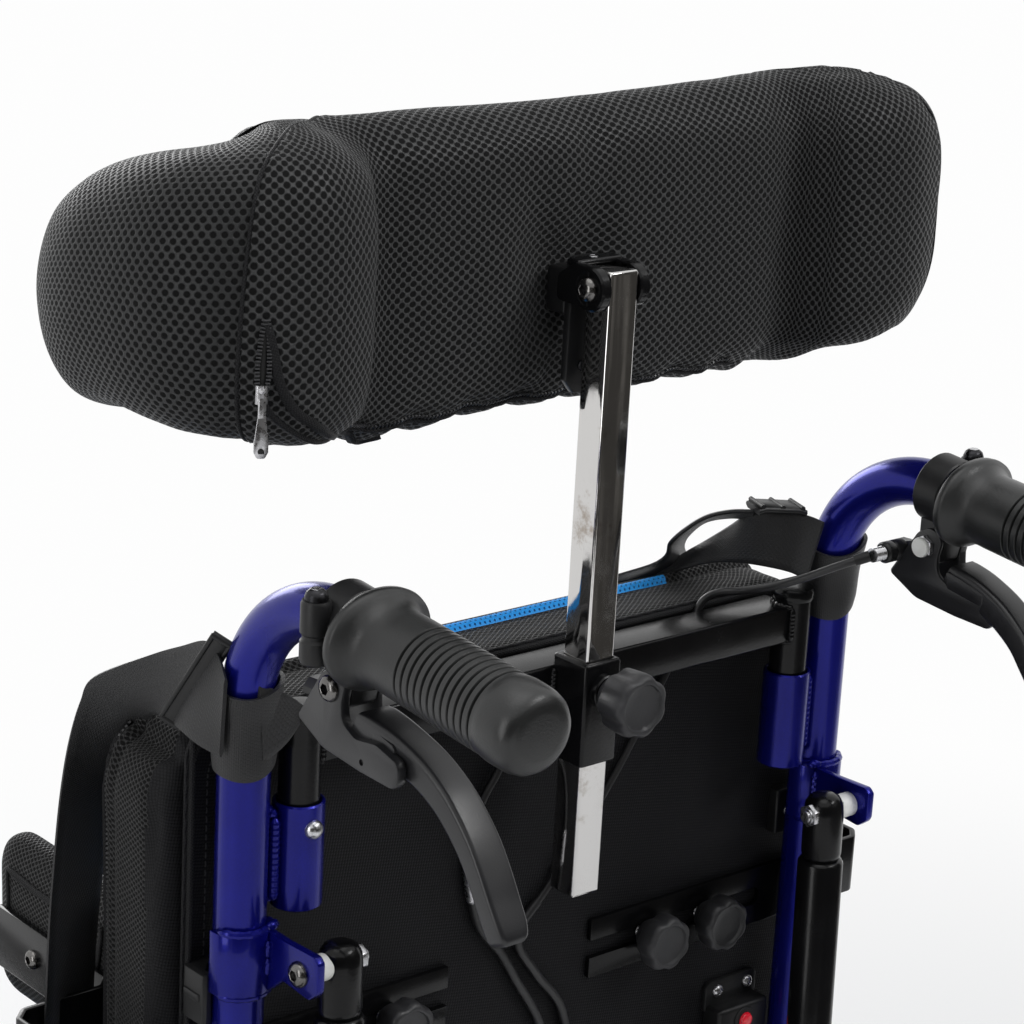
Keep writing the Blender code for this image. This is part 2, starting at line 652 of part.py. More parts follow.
def release_lever(side, s):
    """Hand lever: root cheek on the pivot screw, curved blade, rounded tip."""
    path = [(84, 432, 8.5, 7, 168), (100, 429, 8, 7, 167), (118, 422, 7.8, 6.3, 165),
            (134, 409, 7.8, 5.6, 163), (147, 392, 7.8, 5.2, 162), (156, 375, 7.5, 5.5, 161),
            (159, 369, 6.5, 5, 161)]
    rings = []
    for i, (n, h, wide, deep, x) in enumerate(path):
        a, b = path[max(i - 1, 0)], path[min(i + 1, len(path) - 1)]
        run = Vector((0, b[0] - a[0], b[1] - a[1])).normalized()
        up = Vector((0, -run.z, run.y)) * deep
        mid = Vector((s * x, n, h))
        out = Vector((s * wide, 0, 0))
        rings.append([mid + up * 0.7 + out, mid + up + out * 0.6, mid + up - out * 0.6,
                      mid + up * 0.7 - out, mid - up * 0.7 - out, mid - up - out * 0.6,
                      mid - up + out * 0.6, mid - up * 0.7 + out])
    cheek = [(61, 439), (61, 449), (66, 453), (73, 451), (79, 440), (106, 432), (104, 423), (84, 424)]
    adds = [prism(cheek, "X", s * 174.5, s * 179.3)]
    cuts = [hub_bore(3, s * 170, s * 190, 68, 445)]
    part("release_lever_" + side, "black_paint", loft(rings), adds, cuts, BACK,
         (s * 177, 68, 445))


def cable(side, points):
    """Release cable in its housing, from the lever down behind the panel, with an adjuster."""
    smooth = []
    for k in range(len(points) - 1):
        p0, p1, p2, p3 = [Vector(points[max(0, min(len(points) - 1, k + d))]) for d in (-1, 0, 1, 2)]
        for step in range(2):
            t = step / 2
            smooth.append(0.5 * (2 * p1 + (p2 - p0) * t + (2 * p0 - 5 * p1 + 4 * p2 - p3) * t * t
                                 + (3 * p1 - p0 - 3 * p2 + p3) * t ** 3))
    smooth.append(Vector(points[-1]))
    run = tube(smooth, 1.9, smooth=1)
    part("release_cable_" + side, "black_plastic", run, parent=BACK)


# Panel, cushion, straps

def back_panel():
    """Rigid pan covered in black fabric, with the clips that hook it on the posts."""
    low, high = 45.0, 404.0
    outline = bent([(-186, low, 0), (186, low, 0), (186, high, 0), (-186, high, 0)], 18, 3, True)
    flat = prism([(p.x, p.y) for p in outline], "Y", PANEL_N - 2, PANEL_N)
    adds = []
    for s in (-1, 1):
        for z in (285.0, 92.0):
            hook = [(160, PANEL_N - 1), (186.4, PANEL_N - 1), (186.4, -2), (184.4, -1.6), (181.2, -2),
                    (181.2, -7), (177, -11.6), (160, -11.6)]
            adds.append(prism([(s * a, b) for a, b in hook], "Z", z - 11.5, z + 11.5))
    return part("back_panel", "canvas_black", flat, adds, parent=BACK)


def back_cushion():
    deep = (PANEL_N - 2 - GAP) - CUSHION_FRONT
    half = (205.0, deep / 2, 159.5)
    wide = [-1, -0.94, -0.75, -0.3, 0.3, 0.75, 0.94, 1]
    tall = [-1, -0.94, -0.7, -0.3, 0.3, 0.7, 0.94, 1]

    def shape(p):
        across, up = 1 - (p.x / half[0]) ** 2, 1 - (p.z / half[2]) ** 2
        fill = 0.84 + 0.16 * math.sqrt(max(across, 0) * max(up, 0))
        y = p.y * fill if p.y < 0 else p.y
        return Vector((p.x * (1 - 0.012 * up), y, p.z * (1 - 0.012 * across)))

    block = soft_block(half, (24, 18, 24), [wide, [-1, -0.3, 0.6, 1], tall], shape)
    centre = Vector((0, PANEL_N - 2 - GAP - half[1], 246.5))
    block.data.transform(Matrix.Translation(centre * MM))
    return part("back_cushion", "mesh_black", block, parent=BACK, smooth=60)


def strap(side, x, low, high, stations):
    """Harness strap: a loop round the back post and the run that leaves it."""
    loop = []
    for k in range(10):
        out = Vector((math.cos(math.pi * k / 5), math.sin(math.pi * k / 5), 0))
        heights = (low, HANDLE_TOP - 65.3, high)
        axis = [Vector((x, BEND_R - math.sqrt(BEND_R ** 2 - max(0, z - heights[1]) ** 2), z))
                for z in heights]
        wide = [12.2, 12.2, 12.2 + 0.06 * (high - heights[1])]
        loop.append([a + out * w for a, w in zip(axis, wide)]
                    + [a + out * (w + 1.8) for a, w in reversed(list(zip(axis, wide)))])
    return part("harness_strap_" + side, "webbing", loft(loop, True), [ribbon(stations, 1.8)],
                parent=BACK)


# Headrest on its crossbar

def crossbar():
    """Bar with end tubes that drop into the posts' sleeves, and the socket for the square post."""
    bar = box((-140, -12, BAR_LOW), (140, 9, BAR_HIGH), 1.5)
    wall = SQUARE / 2 + 2.4
    adds = [rod(8.9, (s * SLEEVE_X, SLEEVE_N, T0 - 46), (s * SLEEVE_X, SLEEVE_N, T0 + 38))
            for s in (-1, 1)]
    adds += [box((-wall, SQUARE_N - wall - 1.5, SOCKET_LOW), (wall, SQUARE_N + wall, SOCKET_HIGH), 1.2),
             rod(8, (0, SQUARE_N + wall - 1, T0 + 25), (0, SQUARE_N + wall + 4, T0 + 25))]
    inner = SQUARE / 2 + GAP
    cuts = [box((-inner, SQUARE_N - inner, 300), (inner, SQUARE_N + inner, 450)),
            bore(4, (0, SQUARE_N, T0 + 25), (0, SQUARE_N + 30, T0 + 25))]
    return part("headrest_crossbar", "black_paint", bar, adds, cuts, BACK)


def headrest_post():
    half = SQUARE / 2
    low, high = T0 - 73.5, T0 + 211.0
    bar = box((-half, SQUARE_N - half, low), (half, SQUARE_N + half, high), 1.2)
    bore = box((-half + 1.6, SQUARE_N - half + 1.6, low - 10), (half - 1.6, SQUARE_N + half - 1.6, high - 24))
    bolt = hub_bore(3, -20, 20, SQUARE_N, TILT_S)
    return part("headrest_post", "chrome", bar, (), [bore, bolt], BACK)


def lobed_knob(name, centre, face, depth, radius, reach):
    """Star knob along Y: lobed body with a recessed face, and the threaded stud ahead of it."""
    x, z = centre
    rings = []
    for n, scale in ((face - depth, 0.55), (face - depth + 6, 0.94), (face - 2.5, 1.0),
                     (face, 0.86), (face - 1.6, 0.56)):
        ring = []
        for k in range(21):
            angle = 2 * math.pi * k / 21
            lobe = 1 - (0.08 * (1 - math.cos(7 * angle)) if scale > 0.9 else 0.02)
            ring.append((x + radius * scale * lobe * math.cos(angle), n,
                         z + radius * scale * lobe * math.sin(angle)))
        rings.append(ring)
    stud = rod(4, (x, face - depth + 1, z), (x, face - depth - reach, z))
    return part(name, "black_plastic", loft(rings), [stud], parent=BACK, pivot=(x, face - depth, z))


def headrest_knuckle():
    """Bracket plate on its seat in the pad, two cheeks that hold the post's top, the tilt bolt."""
    edge = [(-9, TILT_S - 44), (-3, TILT_S - 50), (3, TILT_S - 50), (9, TILT_S - 44), (9, TILT_S + 10),
            (-9, TILT_S + 10)]
    plate = prism(edge, "Y", -0.5, 3.5)
    adds = [box((-12, -13, TILT_S - 18), (12, 0, TILT_S + 12), 1)]
    for s in (-1, 1):
        low, high = sorted((s * (SQUARE / 2 + GAP), s * 13.5))
        adds.append(box((low, -1, TILT_S - 8.5), (high, SQUARE_N, TILT_S + 8.5)))
        adds.append(hub(9.6, low, high, SQUARE_N, TILT_S))
    adds += [hub(3, -17, 15, SQUARE_N, TILT_S), hub(5.5, 13, 16.6, SQUARE_N, TILT_S),
             hub(4.6, -18, -13, SQUARE_N, TILT_S, 6)]
    return part("headrest_knuckle", "black_plastic", plate, adds, parent=BACK,
                pivot=(0, SQUARE_N, TILT_S))


def headrest_pad():
    """Padded headrest: thin middle, thick ends and wings that reach forward beside the head."""
    path = [(0, -32, 22, 65, 214), (45, -33, 23, 65, 214), (84, -34, 25, 65, 214),
            (116, -28, 36, 65, 213), (152, -20, 46, 65, 212), (181, -36, 48, 64, 209),
            (189, -72, 39, 59, 204), (185, -98, 34, 52, 199), (178, -118, 26, 42, 195),
            (174, -130, 13, 26, 193)]
    spine = [(-x, n, half, tall, mid) for x, n, half, tall, mid in reversed(path[1:])] + path
    rings = []
    for i, (x, n, half, tall, mid) in enumerate(spine):
        a, b = spine[max(i - 1, 0)], spine[min(i + 1, len(spine) - 1)]
        run = Vector((b[0] - a[0], b[1] - a[1], 0)).normalized()
        out = Vector((-run.y, run.x, 0))
        ring = []
        for k in range(12):
            angle = 2 * math.pi * (k + 0.5) / 12
            c, d = math.cos(angle), math.sin(angle)
            c = math.copysign(abs(c) ** 0.7, c)
            d = math.copysign(abs(d) ** 0.55, d)
            ring.append(Vector((x + PAD_X, n, mid + T0)) + out * half * c + Vector((0, 0, tall * d)))
        rings.append(ring)
    pad = loft(rings)
    slot = box((-12.4, -13.3, TILT_S - 18.4), (12.4, 20, TILT_S + 12.4))
    return part("headrest_pad", "mesh_black", pad, (), [slot], BACK, (0, SQUARE_N, TILT_S), 60)


# Struts

def along_strut(k, s):
    line = STRUT_FOOT - STRUT_EYE
    spot = STRUT_EYE + line * (k / line.length)
    return Vector((s * STRUT_X, spot.y, spot.z))


def strut(side, s):
    """Locking recline strut: cylinder hung from the post's ear, rod down to the frame's pin."""
    low, high = s * (STRUT_X - 6), s * (STRUT_X + 6)
    eye, foot = STRUT_EYE, STRUT_FOOT
    body = rod(10.8, along_strut(24, s), along_strut(216, s))
    adds = [hub(11, low, high, eye.y, eye.z),
            rod(5.7, along_strut(5, s), along_strut(26, s)),
            rod(12, along_strut(208, s), along_strut(222, s), 6)]
    cuts = [hub_bore(4, s * 120, s * 160, eye.y, eye.z),
            bore(4.3, along_strut(42, s), along_strut(230, s))]
    part("strut_cylinder_" + side, "black_paint", body, adds, cuts, BACK,
         (s * STRUT_X, eye.y, eye.z))
    shaft = rod(4.3, along_strut(86, s), along_strut(320, s))
    adds = [rod(5.8, along_strut(300, s), along_strut(333, s)),
            hub(12.8, low, high, foot.y, foot.z)]
    cuts = [hub_bore(6.8, s * 120, s * 160, foot.y, foot.z)]
    part("strut_rod_" + side, "chrome", shaft, adds, cuts, BACK)


# Lateral supports and push-button box

def lateral(side, s):
    """Flat bar with an open slot, bent round the cushion to carry the trunk pad."""
    n = -15.2
    line = [(43, n), (221, n), (227, n - 6), (227, -79), (221, -85), (181, -85), (175, -91),
            (175, -182)]
    outline = [(s * a, b) for a, b in slab(line, 3.0)]
    bar = prism(outline, "Z", LATERAL_S - 15, LATERAL_S + 15)
    low, high = sorted((s * 20, s * 150.0))
    slot = box((low, n - 5, LATERAL_S - 4.6), (high, n + 5, LATERAL_S + 4.6))
    part("lateral_arm_" + side, "black_paint", bar, (), [slot], BACK)
    ends = [-1, -0.8, 0, 0.8, 1]
    pad = soft_block((11.5, 56, 42), (9, 16, 18), [[-1, 0, 1], ends, ends])
    pad.data.transform(Matrix.Translation(Vector((s * 161.6, -140, LATERAL_S + 8)) * MM))
    part("lateral_pad_" + side, "mesh_black", pad, parent=BACK, smooth=60)
    for name, x in zip(("inner", "outer"), KNOB_X):
        lobed_knob("lateral_knob_" + name + "_" + side, (s * x, LATERAL_S), 5.0, 17.5, 13.5, 4.0)


def button_box():
    """Small box screwed behind the panel, with a push button in its rear face."""
    top = T0 - 180
    body = box((-157.5, -16.9, top - 48), (-124, -4, top), 1.5)
    adds = [box((-157.5, -16.9, top - 5), (-123, -14, top + 11.5))]
    adds += [rod(3.2, (x, -15, top + 6), (x, -12, top + 6)) for x in (-131, -151)]
    spot = (-141, top - 8)
    cuts = [bore(3.9, (spot[0], -10.6, spot[1]), (spot[0], 5, spot[1]))]
    part("button_box", "black_plastic", body, adds, cuts, BACK)
    button = rod(3.9, (spot[0], -7.6, spot[1]), (spot[0], -1.4, spot[1]))
    part("push_button", "red_plastic", button, parent=BACK, pivot=(spot[0], -4, spot[1]))


# The chair

for SIDE, SIGN in (("left", 1), ("right", -1)):
    side_frame("side_frame_" + SIDE, SIGN)
    cross_brace("cross_brace_" + SIDE, SIGN, -238.0 if SIGN > 0 else -222.0)
    rear_wheel(SIDE, SIGN)
    caster(SIDE, SIGN)
    wheel_lock(SIDE, SIGN)
    footrest(SIDE, SIGN)
    armrest(SIDE, SIGN)
    back_post(SIDE, SIGN)
    grip(SIDE, SIGN)
    lever_clamp(SIDE, SIGN)
    release_lever(SIDE, SIGN)
    strut(SIDE, SIGN)
    lateral(SIDE, SIGN)
seat_sling()
seat_cushion()
back_panel()
back_cushion()
crossbar()
headrest_post()
lobed_knob("headrest_post_knob", (0.0, T0 + 25.0), 56.0, 22.0, 14.6, 6.0)
headrest_knuckle()
headrest_pad()
button_box()
cable("left", [(141.5, 50, 438), (126, 42, 431), (98, 20, 418), (70, 0, 413), (50, -8, 410.5),
               (39, -13, 406), (30, -14.8, 396), (21, -14.8, 380), (17, -14.8, 360), (19, -14.4, 348),
               (29, -14, 333), (35, -14, 312), (32, -14, 290), (26, -14, 272), (13, -14, 256),
               (3, -14, 240), (-14, -14, 212), (-22, -14, 180), (-22, -14, 52)])
cable("right", [(-141.5, 50, 438), (-132, 40, 432), (-120, 20, 420), (-112, 0, 412),
                (-105, -8, 410), (-100, -13, 405.5), (-96, -14.8, 396), (-84, -14.8, 378),
                (-52, -14, 330), (-16, -14, 284), (3, -14, 262), (-9, -14, 240), (-28, -14, 214),
                (-34, -14, 170), (-34, -14, 52)])
strap("left", POST_X, 388, 426,
      [((183.2, 6, 426), (183.2, 6, 388)), ((188, -8, 427), (188, -8, 389)),
       ((200, -20, 426), (203, -18, 388)), ((210, -34, 421), (210, -32, 384)),
       ((214, -50, 416), (212, -52, 376)), ((218, -66, 407), (210, -76, 366)),
       ((221, -78, 394), (200, -88, 358)), ((222, -84, 374), (188, -92, 346)),
       ((223, -88, 340), (184, -93, 328)), ((223, -89, 284), (184, -93, 284))])
strap("right", -POST_X, 396, 430,
      [((-156, 5, 430), (-156, 5, 398)), ((-150, -10, 434), (-154, -13, 416)),
       ((-132, -22, 441), (-150, -25, 431)), ((-106, -42, 424), (-139, -48, 419)),
       ((-94, -70, 415), (-133, -76, 410)), ((-92, -88, 396), (-131, -91, 390)),
       ((-91, -93, 364), (-129, -94, 358)), ((-89, -94, 320), (-127, -94, 316)),
       ((-88, -94, 284), (-126, -94, 284))])
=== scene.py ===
import math

import bmesh
import bpy
from mathutils import Matrix, Vector, kdtree, noise
from mathutils.bvhtree import BVHTree


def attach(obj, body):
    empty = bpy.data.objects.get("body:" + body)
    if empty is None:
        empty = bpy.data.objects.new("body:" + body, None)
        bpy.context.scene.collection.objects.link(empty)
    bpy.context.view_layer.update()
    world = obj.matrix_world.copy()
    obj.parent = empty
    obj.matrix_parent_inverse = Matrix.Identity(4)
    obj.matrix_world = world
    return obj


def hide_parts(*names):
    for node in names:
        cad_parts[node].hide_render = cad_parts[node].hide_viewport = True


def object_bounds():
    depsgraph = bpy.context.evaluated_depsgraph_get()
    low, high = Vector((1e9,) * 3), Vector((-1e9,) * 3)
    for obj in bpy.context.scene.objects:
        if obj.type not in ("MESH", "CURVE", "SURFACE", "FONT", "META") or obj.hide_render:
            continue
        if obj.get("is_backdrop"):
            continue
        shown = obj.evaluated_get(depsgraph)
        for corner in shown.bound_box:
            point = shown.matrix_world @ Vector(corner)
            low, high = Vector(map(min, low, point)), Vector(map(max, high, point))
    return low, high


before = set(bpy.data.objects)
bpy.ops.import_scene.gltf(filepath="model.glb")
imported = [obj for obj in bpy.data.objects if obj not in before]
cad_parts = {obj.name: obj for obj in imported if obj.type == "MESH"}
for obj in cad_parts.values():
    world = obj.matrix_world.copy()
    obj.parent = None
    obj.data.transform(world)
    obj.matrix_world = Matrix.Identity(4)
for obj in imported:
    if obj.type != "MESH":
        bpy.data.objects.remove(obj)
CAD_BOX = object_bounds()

# Sizes are in millimetres, on the axes of part.py: the chair's own, and the back's.
CHAIR = Matrix.Translation((0, 0.199, 0))
LEAN = math.radians(4.6)
BACK = CHAIR @ Matrix.Translation((0, 0, 0.44)) @ Matrix.Rotation(-LEAN, 4, "X")
TAU = 2 * math.pi

TUBE = 11.1
SIDE_X, RAIL_Z, TOP_Z, FRONT_Y, REAR_Y = 197.0, 200.0, 412.0, -385.0, 75.0
SEAT_X, SEAT_Z = 165.0, 436.0
WHEEL_R, WHEEL_X = 254.0, 245.0
CASTER_R, CASTER_Y = 75.0, -330.0
HINGE_Z = 440.0
POST_X, SLEEVE_X, SLEEVE_N = 169.7, 143.4, 3.0
T0 = 370.0
HANDLE_TOP, BEND_R = 105.4 + T0, 60.0
PANEL_N, CUSHION_FRONT = -17.6, -75.0
SQUARE, SQUARE_N, TILT_S, PAD_X = 15.9, 19.0, 203.0 + T0, -16.0
STRUT_X = 143.0
STRUT_EYE, STRUT_FOOT = Vector((0.0, 34.6, -63.7 + T0)), Vector((0.0, 43.1, -36.7))
HANGER_Y, LOCK_Y, LOCK_Z = -412.0, -177.8, 366.9
ARM_Y = (-340.0, -110.0)
ADJUSTER_Z = 305.0
LATERAL_S, KNOB_X = -128.0 + T0, (78.0, 116.0)

# The photograph's side and the camera's focal length, both in pixels.
PHOTO, FOCAL = 1024.0, 3000.0
SENSOR = 36.0


# Camera, light and floor

def camera():
    turn_round, tip = math.radians(139.7), math.radians(13.8)
    level = math.cos(tip)
    back = Vector((math.sin(turn_round) * level, -math.cos(turn_round) * level, math.sin(tip)))
    right = Vector((0, 0, 1)).cross(back).normalized()
    up = back.cross(right)
    data = bpy.data.cameras.new("camera")
    data.sensor_width = SENSOR
    data.lens = FOCAL / PHOTO * SENSOR
    data.clip_end = 100
    cam = bpy.data.objects.new("camera", data)
    bpy.context.scene.collection.objects.link(cam)
    turn = Matrix((right, up, back)).transposed().to_4x4()
    cam.matrix_world = Matrix.Translation((0.838, 1.187, 1.218)) @ turn
    bpy.context.scene.camera = cam
    return cam.matrix_world.copy()


def sight(px, py):
    """The line of sight through a pixel of the photograph, in the back's millimetres."""
    turn = BACK.inverted() @ EYE
    way = turn.to_3x3() @ Vector((px - PHOTO / 2, PHOTO / 2 - py, -FOCAL))
    return turn.translation * 1000, way.normalized()


def seen_at(tree, px, py):
    """The spot on a skin that a pixel of the photograph shows, or the nearest one beside it."""
    start, way = sight(px, py)
    spot = tree.ray_cast(start, way)[0]
    if spot is None:
        steps = [tree.find_nearest(start + way * reach) for reach in range(400, 2000, 10)]
        spot = min(steps, key=lambda found: found[3])[0]
    return spot


def seen_line(tree, *pixels):
    return [seen_at(tree, px, py) for px, py in pixels]


def lamp(name, at, aim, size, power):
    data = bpy.data.lights.new(name, "AREA")
    data.shape = "RECTANGLE"
    data.size, data.size_y = size
    data.energy = power
    obj = bpy.data.objects.new(name, data)
    bpy.context.scene.collection.objects.link(obj)
    obj.location = at
    obj.rotation_euler = (Vector(aim) - Vector(at)).to_track_quat("-Z", "Y").to_euler()
    obj.visible_camera = False


BACKDROP = 0.985


def seen_white(tree):
    """1 for the rays that see the white background."""
    path = tree.nodes.new("ShaderNodeLightPath")
    last = path.outputs["Is Camera Ray"]
    for name in ("Is Glossy Ray", "Is Transmission Ray"):
        top = tree.nodes.new("ShaderNodeMath")
        top.operation = "MAXIMUM"
        tree.links.new(last, top.inputs[0])
        tree.links.new(path.outputs[name], top.inputs[1])
        last = top.outputs[0]
    return last


def flag(name, low, high, at, turn):
    """A dark studio card behind the chair, seen in gloss only."""
    (left, foot), (right, top) = low, high
    mesh = bpy.data.meshes.new(name)
    mesh.from_pydata([(left, 0, foot), (right, 0, foot), (right, 0, top), (left, 0, top)], [], [(0, 1, 2, 3)])
    card = bpy.data.objects.new(name, mesh)
    bpy.context.scene.collection.objects.link(card)
    card.location = at
    card.rotation_euler = (0, 0, math.radians(turn))
    card.visible_camera = card.visible_diffuse = card.visible_shadow = card.visible_transmission = False
    mat = bpy.data.materials.new(name)
    mat.use_nodes = True
    tree = mat.node_tree
    patches = tree.nodes.new("ShaderNodeTexNoise")
    patches.inputs["Scale"].default_value = 2.6
    patches.inputs["Detail"].default_value = 3.0
    place = tree.nodes.new("ShaderNodeTexCoord")
    tree.links.new(place.outputs["Object"], patches.inputs["Vector"])
    ramp = tree.nodes.new("ShaderNodeMapRange")
    for key, value in (("From Min", 0.5), ("From Max", 0.75), ("To Min", 0.05), ("To Max", 0.17)):
        ramp.inputs[key].default_value = value
    tree.links.new(patches.outputs["Fac"], ramp.inputs["Value"])
    glow = tree.nodes.new("ShaderNodeEmission")
    glow.inputs["Color"].default_value = (1.0, 0.95, 0.88, 1)
    tree.links.new(ramp.outputs["Result"], glow.inputs["Strength"])
    tree.links.new(glow.outputs[0], tree.nodes["Material Output"].inputs["Surface"])
    mesh.materials.append(mat)
    card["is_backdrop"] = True


def studio():
    """A pale world that the camera sees as white."""
    world = bpy.data.worlds.new("studio")
    bpy.context.scene.world = world
    world.use_nodes = True
    tree = world.node_tree
    shade = tree.nodes["Background"]
    shade.inputs["Color"].default_value = (0.95, 0.97, 1.0, 1)
    shade.inputs["Strength"].default_value = 0.36
    white = tree.nodes.new("ShaderNodeBackground")
    white.inputs["Color"].default_value = (1, 1, 1, 1)
    white.inputs["Strength"].default_value = BACKDROP
    mix = tree.nodes.new("ShaderNodeMixShader")
    tree.links.new(seen_white(tree), mix.inputs[0])
    tree.links.new(shade.outputs[0], mix.inputs[1])
    tree.links.new(white.outputs[0], mix.inputs[2])
    tree.links.new(mix.outputs[0], tree.nodes["World Output"].inputs["Surface"])


def ground():
    """A pale floor that fades into the white background."""
    bpy.ops.mesh.primitive_circle_add(vertices=96, radius=14, fill_type="NGON", location=(0, 0, -0.0006))
    floor = bpy.context.object
    floor.name = "floor"
    mat = bpy.data.materials.new("floor")
    mat.use_nodes = True
    tree = mat.node_tree
    shader = tree.nodes["Principled BSDF"]
    shader.inputs["Base Color"].default_value = (0.93, 0.93, 0.93, 1)
    shader.inputs["Roughness"].default_value = 0.7
    glow = tree.nodes.new("ShaderNodeEmission")
    glow.inputs["Strength"].default_value = BACKDROP
    geo = tree.nodes.new("ShaderNodeNewGeometry")
    size = tree.nodes.new("ShaderNodeVectorMath")
    size.operation = "LENGTH"
    ramp = tree.nodes.new("ShaderNodeMapRange")
    ramp.inputs["From Min"].default_value = 0.9
    ramp.inputs["From Max"].default_value = 2.4
    ramp.interpolation_type = "SMOOTHSTEP"
    both = tree.nodes.new("ShaderNodeMath")
    both.operation = "MULTIPLY"
    mix = tree.nodes.new("ShaderNodeMixShader")
    tree.links.new(geo.outputs["Position"], size.inputs[0])
    tree.links.new(size.outputs["Value"], ramp.inputs["Value"])
    tree.links.new(ramp.outputs["Result"], both.inputs[0])
    tree.links.new(seen_white(tree), both.inputs[1])
    tree.links.new(both.outputs[0], mix.inputs[0])
    tree.links.new(shader.outputs[0], mix.inputs[1])
    tree.links.new(glow.outputs[0], mix.inputs[2])
    tree.links.new(mix.outputs[0], tree.nodes["Material Output"].inputs["Surface"])
    floor.data.materials.append(mat)
    floor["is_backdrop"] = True


def lights():
    lamp("key", (-1.3, 2.2, 2.6), (0, 0.1, 0.8), (1.2, 1.2), 42)
    lamp("side", (2.4, 0.5, 1.1), (0, 0.2, 0.7), (0.8, 1.6), 13)
    lamp("front", (-0.6, -2.6, 2.0), (0, 0, 0.6), (1.6, 1.6), 34)
    lamp("over", (0.3, 0.3, 3.2), (0, 0.1, 0.5), (1.8, 1.8), 12)
    flag("card_right", (-1.5, 0.02), (1.3, 2.0), (-0.85, 1.42, 0), 33)
    flag("card_left", (-1.2, 0.02), (1.3, 2.0), (1.3, 2.2, 0), -33)
    flag("card_side", (-1.3, 0.02), (0.9, 2.0), (2.75, 0.7, 0), 90)
    bpy.context.scene.view_settings.view_transform = "Standard"


EYE = camera()
studio()
ground()
lights()


# Materials

class Look:
    """A Principled material with a few nodes hung on it."""

    def __init__(self, name, colour, rough, metal=0.0, slot=None, **more):
        self.slot = slot
        self.mat = bpy.data.materials.new(name)
        self.mat.use_nodes = True
        self.tree = self.mat.node_tree
        self.shader = self.tree.nodes["Principled BSDF"]
        self.set("Base Color", (*colour, 1))
        self.set("Roughness", rough)
        self.set("Metallic", metal)
        for key, value in more.items():
            self.set(key.replace("_", " "), value)
        self.colour, self.rough = colour, rough
        self.heights = []

    def set(self, key, value):
        self.shader.inputs[key].default_value = value

    def node(self, kind, **props):
        made = self.tree.nodes.new(kind)
        for key, value in props.items():
            setattr(made, key, value)
        return made

    def link(self, a, b):
        self.tree.links.new(a, b)

    def math(self, op, a, b):
        made = self.node("ShaderNodeMath", operation=op)
        for i, v in enumerate((a, b)):
            if isinstance(v, (int, float)):
                made.inputs[i].default_value = v
            else:
                self.link(v, made.inputs[i])
        return made.outputs[0]

    def coords(self, uv=False, scale=(1, 1, 1), turn=0.0):
        tex = self.node("ShaderNodeTexCoord")
        place = self.node("ShaderNodeMapping")
        self.link(tex.outputs["UV" if uv else "Object"], place.inputs["Vector"])
        place.inputs["Scale"].default_value = scale
        place.inputs["Rotation"].default_value = (0, 0, turn)
        return place.outputs[0]

    def noise(self, scale, detail=3.0, vector=None, rough=0.5):
        tex = self.node("ShaderNodeTexNoise")
        self.link(vector or self.coords(), tex.inputs["Vector"])
        tex.inputs["Scale"].default_value = scale
        tex.inputs["Detail"].default_value = detail
        tex.inputs["Roughness"].default_value = rough
        return tex.outputs["Fac"]

    def cells(self, scale, feature="F1"):
        tex = self.node("ShaderNodeTexVoronoi", feature=feature)
        self.link(self.coords(), tex.inputs["Vector"])
        tex.inputs["Scale"].default_value = scale
        return tex.outputs["Distance"]

    def spread(self, value, low, high, out_low=0.0, out_high=1.0):
        made = self.node("ShaderNodeMapRange", interpolation_type="SMOOTHSTEP")
        self.link(value, made.inputs["Value"])
        for key, v in (("From Min", low), ("From Max", high), ("To Min", out_low), ("To Max", out_high)):
            made.inputs[key].default_value = v
        return made.outputs["Result"]

    def blend(self, fac, a, b):
        made = self.node("ShaderNodeMix", data_type="RGBA")
        self.link(fac, made.inputs["Factor"])
        for socket, v in ((made.inputs[6], a), (made.inputs[7], b)):
            if isinstance(v, tuple):
                socket.default_value = (*v, 1)
            else:
                self.link(v, socket)
        return made.outputs[2]

    def paint(self, value):
        self.link(value, self.shader.inputs["Base Color"])
        return self

    def polish(self, fac, low, high):
        self.link(self.spread(fac, 0.3, 0.7, low, high), self.shader.inputs["Roughness"])
        return self

    def bump(self, height, distance, strength=1.0):
        """Adds relief, distance in metres."""
        made = self.node("ShaderNodeBump")
        made.inputs["Strength"].default_value = strength
        made.inputs["Distance"].default_value = distance
        self.link(height, made.inputs["Height"])
        if self.heights:
            self.link(self.heights[-1], made.inputs["Normal"])
        self.heights.append(made.outputs[0])
        return self

    def done(self):
        if self.heights:
            self.link(self.heights[-1], self.shader.inputs["Normal"])
        return self


def tint(colour, k):
    return tuple(min(1.0, c * k) for c in colour)


def worn(look, light=1.5, dark=0.75, big=9.0, fine=420.0, relief=0.00003):
    """Hand marks, dust and a light grain on a plain surface."""
    patches = look.noise(big, 5.0, rough=0.6)
    look.paint(look.blend(look.spread(patches, 0.3, 0.75), tint(look.colour, dark), tint(look.colour, light)))
    smear = look.noise(big * 3, 6.0, rough=0.65)
    look.polish(smear, look.rough * 0.85, min(1.0, look.rough * 1.25))
    look.bump(look.noise(fine, 2.0), relief)
    return look.done()


def blue_paint():
    look = Look("blue_pearl_paint", (0.006, 0.007, 0.16), 0.26, 0.6, "blue_paint", Coat_Weight=0.2,
                Coat_Roughness=0.05, Coat_IOR=1.5, Specular_IOR_Level=0.25)
    flakes = look.cells(2600.0)
    spark = look.spread(flakes, 0.12, 0.5, 1.0, 0.0)
    patches = look.noise(14.0, 4.0)
    base = look.blend(look.spread(patches, 0.3, 0.7), (0.004, 0.005, 0.145), (0.007, 0.009, 0.22))
    look.paint(look.blend(look.math("MULTIPLY", spark, 0.3), base, (0.012, 0.016, 0.42)))
    look.bump(look.noise(160.0, 2.0), 0.00004)
    return look.done()


